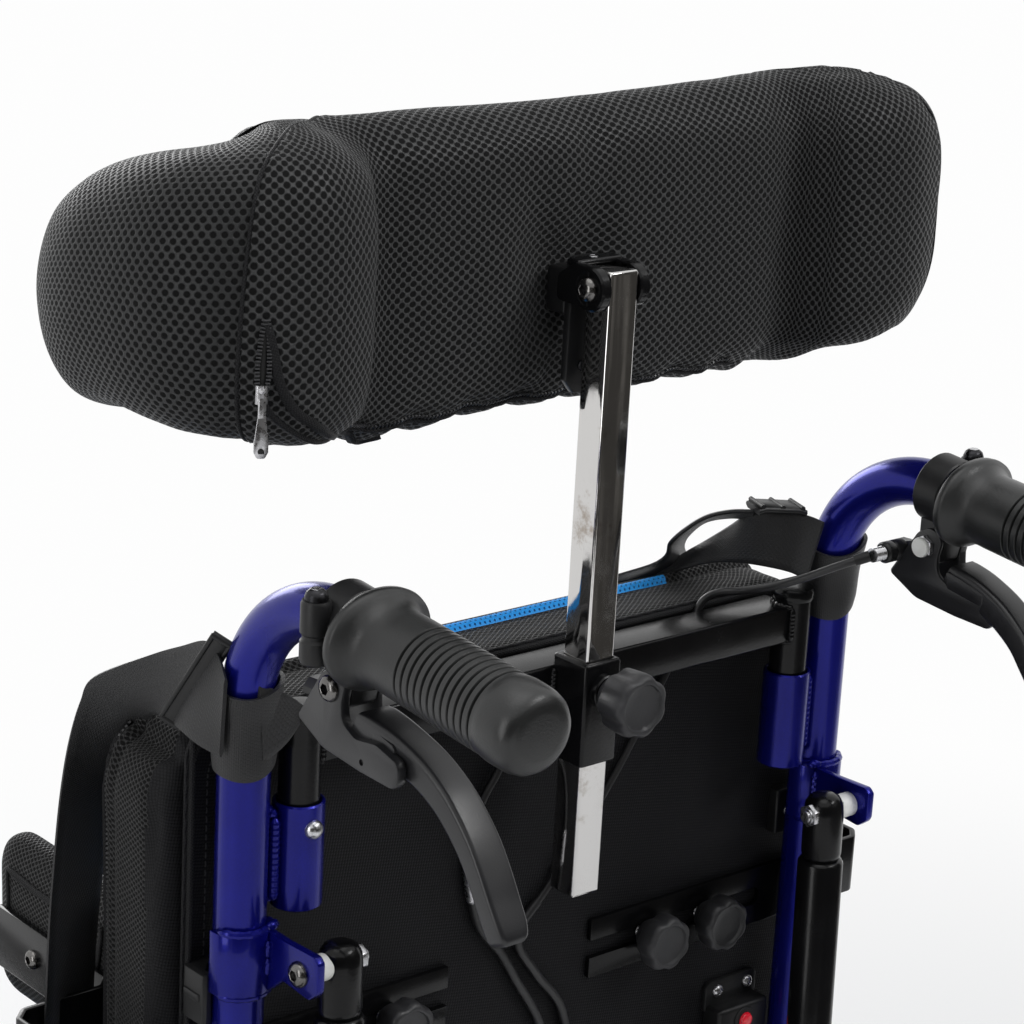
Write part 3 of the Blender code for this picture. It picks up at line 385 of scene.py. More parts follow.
def chrome():
    look = Look("chrome_plate", (0.63, 0.62, 0.61), 0.07, 1.0, "chrome")
    stains = look.spread(look.noise(38.0, 8.0, rough=0.7), 0.56, 0.72)
    look.paint(look.blend(stains, (0.60, 0.59, 0.58), (0.34, 0.30, 0.26)))
    look.link(look.spread(look.noise(60.0, 6.0, rough=0.7), 0.4, 0.75, 0.045, 0.20),
              look.shader.inputs["Roughness"])
    look.bump(look.noise(22.0, 3.0), 0.00012, 0.5)
    return look.done()


def metal(name, colour, rough, slot):
    look = Look(name, colour, rough, 1.0, slot)
    grain = look.noise(500.0, 4.0)
    stains = look.spread(look.noise(70.0, 5.0), 0.35, 0.75)
    look.paint(look.blend(stains, tint(colour, 1.06), tint(colour, 0.72)))
    look.polish(grain, rough * 0.75, rough * 1.4)
    look.bump(grain, 0.00002)
    return look.done()


def moulded(name, colour, rough, slot=None, grain=900.0, relief=0.00005, **more):
    """Moulded plastic or rubber with its spark-eroded grain."""
    look = Look(name, colour, rough, 0.0, slot, **more)
    pits = look.noise(grain, 3.0, rough=0.6)
    patches = look.noise(16.0, 5.0, rough=0.6)
    look.paint(look.blend(look.spread(patches, 0.35, 0.75), tint(colour, 0.85), tint(colour, 1.5)))
    look.polish(look.noise(30.0, 5.0), rough * 0.85, min(1, rough * 1.2))
    look.bump(pits, relief)
    return look.done()


def holes(look, wide, tall, radius, soft, vector):
    """Staggered oval holes: 1 on the yarn, 0 in a hole."""
    near = None
    for shift in ((0.0, 0.0), (0.5, 0.5)):
        place = look.node("ShaderNodeMapping")
        look.link(vector, place.inputs["Vector"])
        place.inputs["Scale"].default_value = (1 / wide, 1 / tall, 0)
        place.inputs["Location"].default_value = (*shift, 0)
        wave = look.node("ShaderNodeVectorMath", operation="FRACTION")
        look.link(place.outputs[0], wave.inputs[0])
        centre = look.node("ShaderNodeVectorMath", operation="SUBTRACT")
        look.link(wave.outputs[0], centre.inputs[0])
        centre.inputs[1].default_value = (0.5, 0.5, 0.0)
        size = look.node("ShaderNodeVectorMath", operation="MULTIPLY")
        look.link(centre.outputs[0], size.inputs[0])
        size.inputs[1].default_value = (1.0, tall / wide * 1.18, 0.0)
        far = look.node("ShaderNodeVectorMath", operation="LENGTH")
        look.link(size.outputs[0], far.inputs[0])
        near = far.outputs["Value"] if near is None else look.math("MINIMUM", near, far.outputs["Value"])
    return look.spread(near, radius - soft, radius + soft)


def spacer_mesh(name, colour, slot, wide=0.0032, tall=0.0036, deep=(0.0015, 0.0015, 0.0016), radius=0.25,
                relief=0.0007):
    """Warp-knit spacer fabric: round openings between shiny yarns, the openings painted in the dark colour
    deep as painted shade.
    """
    look = Look(name, colour, 0.5, 0.0, slot, Sheen_Weight=0.08, Sheen_Roughness=0.4,
                Specular_IOR_Level=0.3)
    vector = look.coords(uv=True)
    wobble = look.node("ShaderNodeVectorMath", operation="MULTIPLY_ADD")
    push = look.node("ShaderNodeTexNoise")
    look.link(vector, push.inputs["Vector"])
    push.inputs["Scale"].default_value = 26.0
    look.link(push.outputs["Color"], wobble.inputs[0])
    wobble.inputs[1].default_value = (0.0016, 0.0016, 0)
    look.link(vector, wobble.inputs[2])
    mask = holes(look, wide, tall, radius, 0.075, wobble.outputs[0])
    yarn = look.noise(1.0, 2.0, look.coords(uv=True, scale=(2600, 900, 1)))
    tone = look.blend(look.spread(yarn, 0.35, 0.65), tint(colour, 0.7), tint(colour, 1.5))
    patch = look.spread(look.noise(7.0, 4.0, vector), 0.3, 0.7)
    tone = look.blend(patch, tone, tint(colour, 1.15))
    # the openings take the colour deep: painted shade inside the holes
    look.paint(look.blend(mask, deep, tone))
    gloss = look.math("SUBTRACT", 1.0, look.spread(yarn, 0.35, 0.65, 0.36, 0.62))
    look.link(look.math("SUBTRACT", 1.0, look.math("MULTIPLY", gloss, mask)), look.shader.inputs["Roughness"])
    look.bump(mask, relief, 0.9)
    look.bump(yarn, 0.00012, 0.6)
    return look.done()


def weave(name, colour, slot=None, pitch=0.0009, turn=0.6, rough=0.55, relief=0.00018, gloss=1.9):
    """Plain woven nylon: small diagonal dots of floating yarn, painted lighter by gloss as a painted sheen.
    """
    look = Look(name, colour, rough, 0.0, slot, Sheen_Weight=0.02, Sheen_Roughness=0.4,
                Specular_IOR_Level=0.15)
    vector = look.coords(uv=True, turn=turn)
    mask = holes(look, pitch * 1.9, pitch * 1.9, 0.3, 0.12, vector)
    fuzz = look.noise(2200.0, 2.0, vector)
    patch = look.spread(look.noise(9.0, 5.0, look.coords(uv=True)), 0.3, 0.7)
    tone = look.blend(patch, tint(colour, 0.85), tint(colour, 1.2))
    # the floats are painted lighter by gloss: a painted sheen
    dots = look.blend(mask, tint(colour, gloss), tone)
    look.paint(dots)
    look.polish(fuzz, rough * 0.8, rough * 1.2)
    look.bump(look.math("SUBTRACT", 1.0, mask), relief, 0.8)
    return look.done()


def webbing(name, colour, slot=None, pitch=0.0013):
    """Flat woven webbing: fine ribs across and a small twill, its floats painted lighter as a painted sheen.
    """
    look = Look(name, colour, 0.42, 0.0, slot, Sheen_Weight=0.12, Sheen_Roughness=0.35,
                Specular_IOR_Level=0.4)
    vector = look.coords(uv=True)
    ribs = look.node("ShaderNodeTexWave", wave_type="BANDS", bands_direction="X")
    look.link(look.coords(uv=True, scale=(1, 1, 1)), ribs.inputs["Vector"])
    ribs.inputs["Scale"].default_value = 0.5 / pitch
    ribs.inputs["Distortion"].default_value = 0.0
    twill = holes(look, pitch * 2.0, pitch * 1.2, 0.32, 0.14, vector)
    patch = look.spread(look.noise(14.0, 5.0, vector), 0.3, 0.7)
    tone = look.blend(patch, tint(colour, 0.8), tint(colour, 1.45))
    # the twill's floats are painted lighter: a painted sheen
    look.paint(look.blend(twill, tint(colour, 1.9), tone))
    look.bump(ribs.outputs["Fac"], 0.00012, 0.5)
    look.bump(look.math("SUBTRACT", 1.0, twill), 0.00018, 0.6)
    return look.done()


def vinyl():
    look = Look("arm_pad_vinyl", (0.018, 0.018, 0.019), 0.42, 0.0, "vinyl_black", Coat_Weight=0.15)
    grain = look.cells(620.0, feature="DISTANCE_TO_EDGE")
    line = look.spread(grain, 0.0, 0.16)
    look.paint(look.blend(line, (0.009, 0.009, 0.01), (0.021, 0.021, 0.022)))
    look.polish(look.noise(40.0, 5.0), 0.36, 0.55)
    look.bump(line, 0.00022, 0.7)
    look.bump(look.noise(60.0, 3.0), 0.0006, 0.3)
    return look.done()


LOOKS = {
    "blue": blue_paint(),
    "black": worn(Look("black_powder_coat", (0.0032, 0.0032, 0.0036), 0.22, 0.0, "black_paint",
                       Coat_Weight=0.06, Coat_Roughness=0.1, Specular_IOR_Level=0.22),
                  1.5, 0.7, 12, 700, 0.00004),
    "plastic": moulded("black_moulding", (0.009, 0.009, 0.0095), 0.38, "black_plastic",
                       Specular_IOR_Level=0.35),
    "satin": moulded("satin_lever_moulding", (0.012, 0.012, 0.0135), 0.33, "black_paint", 1300, 0.00004,
                     Specular_IOR_Level=0.5),
    "rubber": moulded("grip_rubber", (0.013, 0.0135, 0.0135), 0.36, "grip_rubber", 1100, 0.00008),
    "chrome": chrome(),
    "zinc": metal("zinc_plate", (0.62, 0.62, 0.64), 0.26, "chrome"),
    "black_zinc": metal("black_screw", (0.035, 0.035, 0.038), 0.3, "black_paint"),
    "nickel": metal("dark_nickel_screw", (0.16, 0.155, 0.15), 0.2, "chrome"),
    "knob": moulded("knob_moulding", (0.023, 0.023, 0.025), 0.46, "black_plastic", 700, 0.00009),
    "cable": moulded("cable_housing", (0.012, 0.012, 0.013), 0.34, "black_plastic", 500, 0.00003),
    "tyre": moulded("tyre_rubber", (0.021, 0.021, 0.022), 0.72, "tyre", 500, 0.00018),
    "mag": moulded("mag_wheel_nylon", (0.015, 0.015, 0.016), 0.38, "mag_plastic", 800, 0.00005),
    "aluminium": metal("anodised_handrim", (0.58, 0.58, 0.6), 0.28, "aluminium"),
    # each spacer mesh's fourth argument (deep) is the painted shade in its openings
    "mesh": spacer_mesh("black_spacer_mesh", (0.040, 0.0405, 0.041), "mesh_black", 0.0053, 0.0042,
                         (0.0005, 0.0005, 0.0006), 0.29),
    "mesh_side": spacer_mesh("black_side_mesh", (0.022, 0.0225, 0.023), "mesh_black", 0.0046, 0.0052,
                             (0.0005, 0.0005, 0.0006), 0.31),
    "mesh_fine": spacer_mesh("black_border_mesh", (0.013, 0.013, 0.0135), "mesh_black", 0.0036, 0.0027,
                             (0.0008, 0.0008, 0.0009), 0.28),
    "mesh_blue": spacer_mesh("cyan_spacer_mesh", (0.012, 0.27, 0.74), "mesh_blue", 0.0030, 0.0034,
                             (0.004, 0.06, 0.2), 0.17, 0.0006),
    # gloss is how much lighter the yarn floats are painted: a painted sheen
    "canvas": weave("taut_black_nylon", (0.0026, 0.0026, 0.003), "canvas_black", 0.0011, gloss=4.5),
    "piping": weave("black_binding_tape", (0.006, 0.006, 0.0065), "mesh_black", 0.0008, 0.2, gloss=2.6),
    "webbing": webbing("black_webbing", (0.0085, 0.0085, 0.009), "webbing"),
    "vinyl": vinyl(),
    "white": moulded("white_nylon", (0.72, 0.72, 0.68), 0.4, "chrome", 300),
    "red": worn(Look("red_button", (0.72, 0.012, 0.03), 0.28, 0.0, "red_plastic", Coat_Weight=0.4),
                1.15, 0.85, 60, 900, 0.00002),
    "thread": moulded("sewing_thread", (0.014, 0.014, 0.015), 0.5, "mesh_black", 3000, 0.00003),
    "zipper": moulded("zip_teeth_nylon", (0.03, 0.03, 0.032), 0.32, "mesh_black", 900, 0.00004),
    # a near-black sheet set into holes and gaps: painted shade where the parts leave an opening
    "dark": moulded("painted_shade_inside", (0.006, 0.006, 0.006), 0.7, "black_paint", 400),
}


# Shapes, in millimetres, as bmesh

def dedge(bm, width, segments=2, angle=30.0):
    """Rounds the sharp edges."""
    if width <= 0:
        return bm
    bmesh.ops.recalc_face_normals(bm, faces=bm.faces)
    sharp = [e for e in bm.edges if len(e.link_faces) == 2
             and e.calc_face_angle(0.0) > math.radians(angle)]
    bmesh.ops.bevel(bm, geom=sharp, offset=width, segments=segments, profile=0.5, affect="EDGES",
                    clamp_overlap=True)
    return bm


def box(low, high, edge=0.8, turn=None):
    bm = bmesh.new()
    bmesh.ops.create_cube(bm, size=1.0)
    low, high = Vector(low), Vector(high)
    bmesh.ops.scale(bm, vec=[abs(b - a) for a, b in zip(low, high)], verts=bm.verts)
    dedge(bm, edge, 3)
    if turn:
        bmesh.ops.transform(bm, matrix=turn, verts=bm.verts)
    bmesh.ops.translate(bm, vec=(low + high) / 2, verts=bm.verts)
    return bm


def rod(radius, start, end, n=None, edge=0.5):
    n = n or (28 if radius < 9 else 48)
    start, end = Vector(start), Vector(end)
    run = end - start
    bm = bmesh.new()
    bmesh.ops.create_cone(bm, cap_ends=True, segments=n, radius1=radius, radius2=radius, depth=run.length)
    if edge:
        dedge(bm, min(edge, radius * 0.3, run.length * 0.3), 2, 50)
    turn = run.to_track_quat("Z", "Y").to_matrix().to_4x4()
    bmesh.ops.transform(bm, matrix=Matrix.Translation((start + end) / 2) @ turn, verts=bm.verts)
    return bm


def hub(radius, x1, x2, y, z, n=None, edge=0.5):
    return rod(radius, (x1, y, z), (x2, y, z), n, edge)


def turned(profile, start, end, steps=64, closed=False, shape=None):
    """A turned piece, from (radius, height) pairs along the line from start.

    shape(r, h, angle) may move each of its points.
    """
    start, end = Vector(start), Vector(end)
    turn = Matrix.Translation(start) @ (end - start).to_track_quat("Z", "Y").to_matrix().to_4x4()
    bm = bmesh.new()
    rings = []
    for r, h in profile:
        if r < 1e-6:
            rings.append([bm.verts.new(turn @ Vector((0, 0, h)))])
            continue
        ring = []
        for k in range(steps):
            a = TAU * k / steps
            rr, hh = shape(r, h, a) if shape else (r, h)
            ring.append(bm.verts.new(turn @ Vector((rr * math.cos(a), rr * math.sin(a), hh))))
        rings.append(ring)
    pairs = list(zip(rings, rings[1:]))
    if closed:
        pairs.append((rings[-1], rings[0]))
    for a, b in pairs:
        for k in range(steps):
            j = (k + 1) % steps
            if len(a) == 1:
                bm.faces.new((a[0], b[j], b[k]))
            elif len(b) == 1:
                bm.faces.new((a[k], a[j], b[0]))
            else:
                bm.faces.new((a[k], a[j], b[j], b[k]))
    bmesh.ops.recalc_face_normals(bm, faces=bm.faces)
    return bm


def bent(points, radius, steps=14, closed=False):
    points = [Vector(p) for p in points]
    count, out = len(points), []
    for i, corner in enumerate(points):
        if not closed and i in (0, count - 1):
            out.append(corner)
            continue
        back = (points[i - 1] - corner).normalized()
        ahead = (points[(i + 1) % count] - corner).normalized()
        half = back.angle(ahead) / 2
        centre = corner + (back + ahead).normalized() * (radius / math.sin(half))
        first = corner + back * (radius / math.tan(half)) - centre
        second = corner + ahead * (radius / math.tan(half)) - centre
        for k in range(steps + 1):
            out.append(centre + first.slerp(second, k / steps).normalized() * radius)
    return out


def curve(points, steps=6, closed=False):
    """Catmull-Rom through the points; each may be any tuple of numbers."""
    points = [Vector(p) for p in points]
    count = len(points)
    out = []
    for k in range(count if closed else count - 1):
        def at(d):
            i = k + d
            return points[i % count] if closed else points[max(0, min(count - 1, i))]
        p0, p1, p2, p3 = at(-1), at(0), at(1), at(2)
        for step in range(steps):
            t = step / steps
            out.append(0.5 * (2 * p1 + (p2 - p0) * t + (2 * p0 - 5 * p1 + 4 * p2 - p3) * t * t
                              + (3 * p1 - p0 - 3 * p2 + p3) * t ** 3))
    if not closed:
        out.append(points[-1])
    return out


def skin(rings, closed=False, caps=True):
    """A skin through rings of points, with UVs in metres along and across."""
    bm = bmesh.new()
    uv = bm.loops.layers.uv.new("UVMap")
    rows = [[bm.verts.new(p) for p in ring] for ring in rings]
    count = len(rings[0])
    along = [0.0]
    for a, b in zip(rings, rings[1:]):
        along.append(along[-1] + sum((Vector(p) - Vector(q)).length for p, q in zip(a, b)) / count)
    mid = rings[len(rings) // 2]
    across = [0.0]
    for k in range(count):
        across.append(across[-1] + (Vector(mid[(k + 1) % count]) - Vector(mid[k])).length)
    total = len(rows) if closed else len(rows) - 1
    for i in range(total):
        j = (i + 1) % len(rows)
        ua = along[i]
        ub = along[j] if j else ua + (Vector(rings[0][0]) - Vector(rings[-1][0])).length
        for k in range(count):
            m = (k + 1) % count
            face = bm.faces.new((rows[i][k], rows[i][m], rows[j][m], rows[j][k]))
            for loop, spot in zip(face.loops, ((ua, across[k]), (ua, across[k + 1]),
                                               (ub, across[k + 1]), (ub, across[k]))):
                loop[uv].uv = (spot[0] / 1000, spot[1] / 1000)
    if caps and not closed:
        for row, u in ((rows[0], along[0]), (rows[-1], along[-1])):
            face = bm.faces.new(row)
            c = sum((v.co for v in row), Vector()) / len(row)
            for loop in face.loops:
                d = loop.vert.co - c
                loop[uv].uv = ((u + d.x) / 1000, (d.y + d.z) / 1000)
    bmesh.ops.recalc_face_normals(bm, faces=bm.faces)
    return bm


def tube(points, radius, n=24, closed=False, radii=None):
    """A round bar along points, kept from twisting."""
    points = [Vector(p) for p in points]
    count = len(points)
    runs = []
    for i in range(count):
        a = points[(i - 1) % count] if closed or i else points[0]
        b = points[(i + 1) % count] if closed or i < count - 1 else points[-1]
        runs.append((b - a).normalized())
    side = runs[0].orthogonal().normalized()
    rings = []
    for i, (spot, run) in enumerate(zip(points, runs)):
        side = (side - run * side.dot(run)).normalized()
        up = run.cross(side)
        r = radii[i] if radii else radius
        rings.append([spot + (side * math.cos(TAU * k / n) + up * math.sin(TAU * k / n)) * r
                      for k in range(n)])
    return skin(rings, closed)


def prism(outline, axis, low, high, edge=0.5):
    bm = bmesh.new()
    place = {"X": lambda a, b, h: (h, a, b), "Y": lambda a, b, h: (a, h, b),
             "Z": lambda a, b, h: (a, b, h)}[axis]
    face = bm.faces.new([bm.verts.new(place(a, b, low)) for a, b in outline])
    grown = bmesh.ops.extrude_face_region(bm, geom=[face])["geom"]
    bmesh.ops.translate(bm, vec=place(0, 0, high - low),
                        verts=[g for g in grown if isinstance(g, bmesh.types.BMVert)])
    return dedge(bm, edge, 2, 25)


def rounded(points, radius, steps=6):
    """A flat outline with its corners rounded, each by radius or its own radius."""
    out = []
    count = len(points)
    for i, spot in enumerate(points):
        r = spot[2] if len(spot) > 2 else radius
        corner = Vector(spot[:2])
        a, b = Vector(points[i - 1][:2]) - corner, Vector(points[(i + 1) % count][:2]) - corner
        half = a.angle(b) / 2
        reach = min(r / math.tan(half), a.length * 0.48, b.length * 0.48)
        if reach < 0.05 or half > 1.5:
            out.append(tuple(corner))
            continue
        r = reach * math.tan(half)
        centre = corner + (a.normalized() + b.normalized()).normalized() * (r / math.sin(half))
        first, last = corner + a.normalized() * reach - centre, corner + b.normalized() * reach - centre
        turn = math.atan2(first.x * last.y - first.y * last.x, first.dot(last))
        for k in range(steps + 1):
            t = turn * k / steps
            out.append((centre.x + first.x * math.cos(t) - first.y * math.sin(t),
                        centre.y + first.x * math.sin(t) + first.y * math.cos(t)))
    return out


def slab(outline, thick):
    line = [Vector(p) for p in outline]
    sides = []
    for i, spot in enumerate(line):
        back = (spot - line[i - 1]).normalized() if i else (line[1] - spot).normalized()
        ahead = (line[i + 1] - spot).normalized() if i < len(line) - 1 else back
        mean = (back + ahead).normalized()
        normal = Vector((-mean.y, mean.x))
        reach = thick / 2 / max(0.3, mean.dot(back))
        sides.append((spot + normal * reach, spot - normal * reach))
    return [tuple(a) for a, _ in sides] + [tuple(b) for _, b in reversed(sides)]


def arc_line(points, radius, steps=6):
    """An open flat line with rounded corners."""
    flat = [Vector((*p, 0)) for p in points]
    return [(p.x, p.y) for p in bent(flat, radius, steps)]


def arc(x, n, radius, first, last, step):
    """Flat points round an arc, from angle first up to last, in degrees."""
    angles = [math.radians(a) for a in range(first, last, step)]
    return [(x + radius * math.cos(a), n + radius * math.sin(a)) for a in angles]


def ribbon(stations, thick, steps=8):
    """A strap through pairs of edge points, smooth along its run."""
    pairs = [(Vector(p[:3]), Vector(p[3:])) for p in curve([(*a, *b) for a, b in stations], steps)]
    cells = 14
    rings = []
    for i, (a, b) in enumerate(pairs):
        before, after = pairs[max(i - 1, 0)], pairs[min(i + 1, len(pairs) - 1)]
        run = (after[0] + after[1]) - (before[0] + before[1])
        out = (b - a).cross(run).normalized() * (thick / 2)
        wide = (b - a)
        ring = []
        for k in range(cells + 1):
            f = k / cells
            pinch = 0.55 if k in (0, cells) else 1.15 if k in (1, cells - 1) else 1.0
            ring.append((a + wide * f, out * pinch))
        rings.append([p + o for p, o in ring] + [p - o for p, o in reversed(ring)])
    return skin(rings)


def joined(shapes):
    """One bmesh out of several."""
    out = bmesh.new()
    for bm in shapes:
        mesh = bpy.data.meshes.new("m")
        bm.to_mesh(mesh)
        bm.free()
        out.from_mesh(mesh)
        bpy.data.meshes.remove(mesh)
    return out


def carve(bm, *cutters):
    """bm with the cutters taken out."""
    mesh = bpy.data.meshes.new("carve")
    bm.to_mesh(mesh)
    bm.free()
    obj = bpy.data.objects.new("carve", mesh)
    bpy.context.scene.collection.objects.link(obj)
    tools = []
    for cutter in cutters:
        data = bpy.data.meshes.new("cutter")
        bmesh.ops.recalc_face_normals(cutter, faces=cutter.faces)
        cutter.to_mesh(data)
        cutter.free()
        tool = bpy.data.objects.new("cutter", data)
        bpy.context.scene.collection.objects.link(tool)
        tools.append(tool)
        step = obj.modifiers.new("cut", "BOOLEAN")
        step.operation = "DIFFERENCE"
        step.object = tool
        step.solver = "EXACT"
    graph = bpy.context.evaluated_depsgraph_get()
    done = bpy.data.meshes.new_from_object(obj.evaluated_get(graph))
    out = bmesh.new()
    out.from_mesh(done)
    for thing in [obj] + tools:
        bpy.data.objects.remove(thing, do_unlink=True)
    return out


def boxed_uv(bm):
    """UVs in metres, each face flattened along its main direction."""
    uv = bm.loops.layers.uv.get("UVMap") or bm.loops.layers.uv.new("UVMap")
    bm.normal_update()
    for face in bm.faces:
        n = face.normal
        axis = max(range(3), key=lambda i: abs(n[i]))
        i, j = [(1, 2), (0, 2), (0, 1)][axis]
        for loop in face.loops:
            p = loop.vert.co
            loop[uv].uv = (p[i] / 1000, p[j] / 1000)
    return bm


def grid_block(half, cell, round_by):
    """A rounded block about the origin, its skin an even grid, for fabric."""
    cuts = [max(2, int(round(2 * h / cell))) for h in half]
    bm = bmesh.new()
    spots = {}

    def vert(key):
        if key not in spots:
            p = Vector([(2 * key[a] / cuts[a] - 1) * half[a] for a in range(3)])
            inner = Vector([max(-half[a] + round_by[a], min(half[a] - round_by[a], p[a])) for a in range(3)])
            off = [(p[a] - inner[a]) / round_by[a] for a in range(3)]
            x, y, z = off
            ball = Vector((x * math.sqrt(max(0, 1 - y * y / 2 - z * z / 2 + y * y * z * z / 3)),
                           y * math.sqrt(max(0, 1 - z * z / 2 - x * x / 2 + z * z * x * x / 3)),
                           z * math.sqrt(max(0, 1 - x * x / 2 - y * y / 2 + x * x * y * y / 3))))
            spots[key] = bm.verts.new(inner + Vector([ball[a] * round_by[a] for a in range(3)]))
        return spots[key]

    for a in range(3):
        b, c = (a + 1) % 3, (a + 2) % 3
        for end in (0, cuts[a]):
            for i in range(cuts[b]):
                for j in range(cuts[c]):
                    keys = []
                    for di, dj in ((0, 0), (1, 0), (1, 1), (0, 1)):
                        key = [0, 0, 0]
                        key[a], key[b], key[c] = end, i + di, j + dj
                        keys.append(tuple(key))
                    bm.faces.new([vert(k) for k in keys])
    bmesh.ops.recalc_face_normals(bm, faces=bm.faces)
    return bm


# Fasteners

def screw_head(radius, at, out, high=3.2):
    """A button head with its hex socket."""
    at, out = Vector(at), Vector(out).normalized()
    dome = [(radius, 0), (radius, high * 0.3), (radius * 0.86, high * 0.7), (radius * 0.62, high * 0.93),
            (radius * 0.46, high), (radius * 0.42, high * 0.96), (radius * 0.40, high * 0.2), (0, high * 0.1)]

    def six(r, h, a):
        if abs(r - radius * 0.46) < 1e-6 or r < radius * 0.43 and r > 0:
            flat = math.cos(math.pi / 6) / math.cos((a % (math.pi / 3)) - math.pi / 6)
            return r * flat * 1.06, h
        return r, h
    return turned(dome, at, at + out, 36, shape=six)


def nut(radius, at, out, high=4.5):
    at, out = Vector(at), Vector(out).normalized()
    body = rod(radius, at, at + out * high, 6, 0)
    return dedge(body, radius * 0.08, 2, 40)


def bead(points, radius, wave=0.11, pitch=1.9):
    """A weld bead with its ripples."""
    points = [Vector(p) for p in points]
    length = sum((b - a).length for a, b in zip(points, points[1:]))
    count = max(6, int(length / pitch * 4))
    spots, radii = [], []
    walked, k = 0.0, 0
    lengths = [(b - a).length for a, b in zip(points, points[1:])]
    for i in range(count + 1):
        target = length * i / count
        while k < len(lengths) - 1 and walked + lengths[k] < target:
            walked += lengths[k]
            k += 1
        f = (target - walked) / max(lengths[k], 1e-6)
        spots.append(points[k].lerp(points[k + 1], min(1, f)))
        end = min(1.0, 0.4 + min(target, length - target) / pitch)
        radii.append(radius * end * (1 + wave * math.sin(TAU * target / pitch)))
    return tube(spots, radius, 10, radii=radii)


def ring_of(centre, normal, radius, n):
    """Points round a circle, the last on the first."""
    normal = Vector(normal).normalized()
    side = normal.orthogonal().normalized()
    up = normal.cross(side)
    return [Vector(centre) + (side * math.cos(TAU * k / n) + up * math.sin(TAU * k / n)) * radius
            for k in range(n + 1)]


# Pieces

def piece(name, shapes, frame_matrix, body, nodes=(), sharp=35.0):
    """shapes is a list of (look, bmesh) in millimetres on frame_matrix's axes."""
    looks = []
    out = bmesh.new()
    out.loops.layers.uv.new("UVMap")
    for look, bm in shapes:
        if look not in looks:
            looks.append(look)
        if not bm.loops.layers.uv.get("UVMap"):
            boxed_uv(bm)
        for face in bm.faces:
            face.material_index = looks.index(look)
        mesh = bpy.data.meshes.new("m")
        bm.to_mesh(mesh)
        bm.free()
        out.from_mesh(mesh)
        bpy.data.meshes.remove(mesh)
    bmesh.ops.scale(out, vec=(0.001,) * 3, verts=out.verts)
    bmesh.ops.transform(out, matrix=frame_matrix, verts=out.verts)
    mesh = bpy.data.meshes.new(name)
    out.to_mesh(mesh)
    out.free()
    for look in looks:
        mesh.materials.append(LOOKS[look].mat)
    mesh.polygons.foreach_set("use_smooth", [True] * len(mesh.polygons))
    mesh.set_sharp_from_angle(angle=math.radians(sharp))
    obj = bpy.data.objects.new(name, mesh)
    bpy.context.scene.collection.objects.link(obj)
    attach(obj, body)
    if nodes:
        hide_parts(*nodes)
    return obj


def strip(points, width, thick, up):
    """A flat bar along points; up is its flat side's direction."""
    points = [Vector(p) for p in points]
    rings = []
    for i, p in enumerate(points):
        run = (points[min(i + 1, len(points) - 1)] - points[max(i - 1, 0)]).normalized()
        n = (Vector(up) - run * Vector(up).dot(run)).normalized()
        w = run.cross(n)
        r = thick * 0.35
        ring = []
        for a, b in ((1, 1), (-1, 1), (-1, -1), (1, -1)):
            for da, db in (((0, r), (r, 0)) if a * b > 0 else ((r, 0), (0, r))):
                ring.append(p + w * a * (width / 2 - da) + n * b * (thick / 2 - db))
        rings.append(ring)
    return skin(rings)


def rect_ring(mid, across, up, wide, tall, corner, steps=4):
    """A ring of points round a rounded rectangle."""
    ring = []
    for q in range(4):
        a, b = ((1, 1), (-1, 1), (-1, -1), (1, -1))[q]
        cx, cy = a * (wide - corner), b * (tall - corner)
        for k in range(steps + 1):
            t = TAU / 4 * (q + k / steps)
            ring.append(mid + across * (cx + corner * math.cos(t)) + up * (cy + corner * math.sin(t)))
    return ring


def screw(x, y, z, out, radius=4.0, high=2.6):
    return screw_head(radius, (x, y, z), out, high)


# Back posts, grips, clamps and levers

def handle(n):
    return HANDLE_TOP - math.tan(math.radians(4.86)) * n


def on_handle(x, n):
    return Vector((x, n, handle(n)))


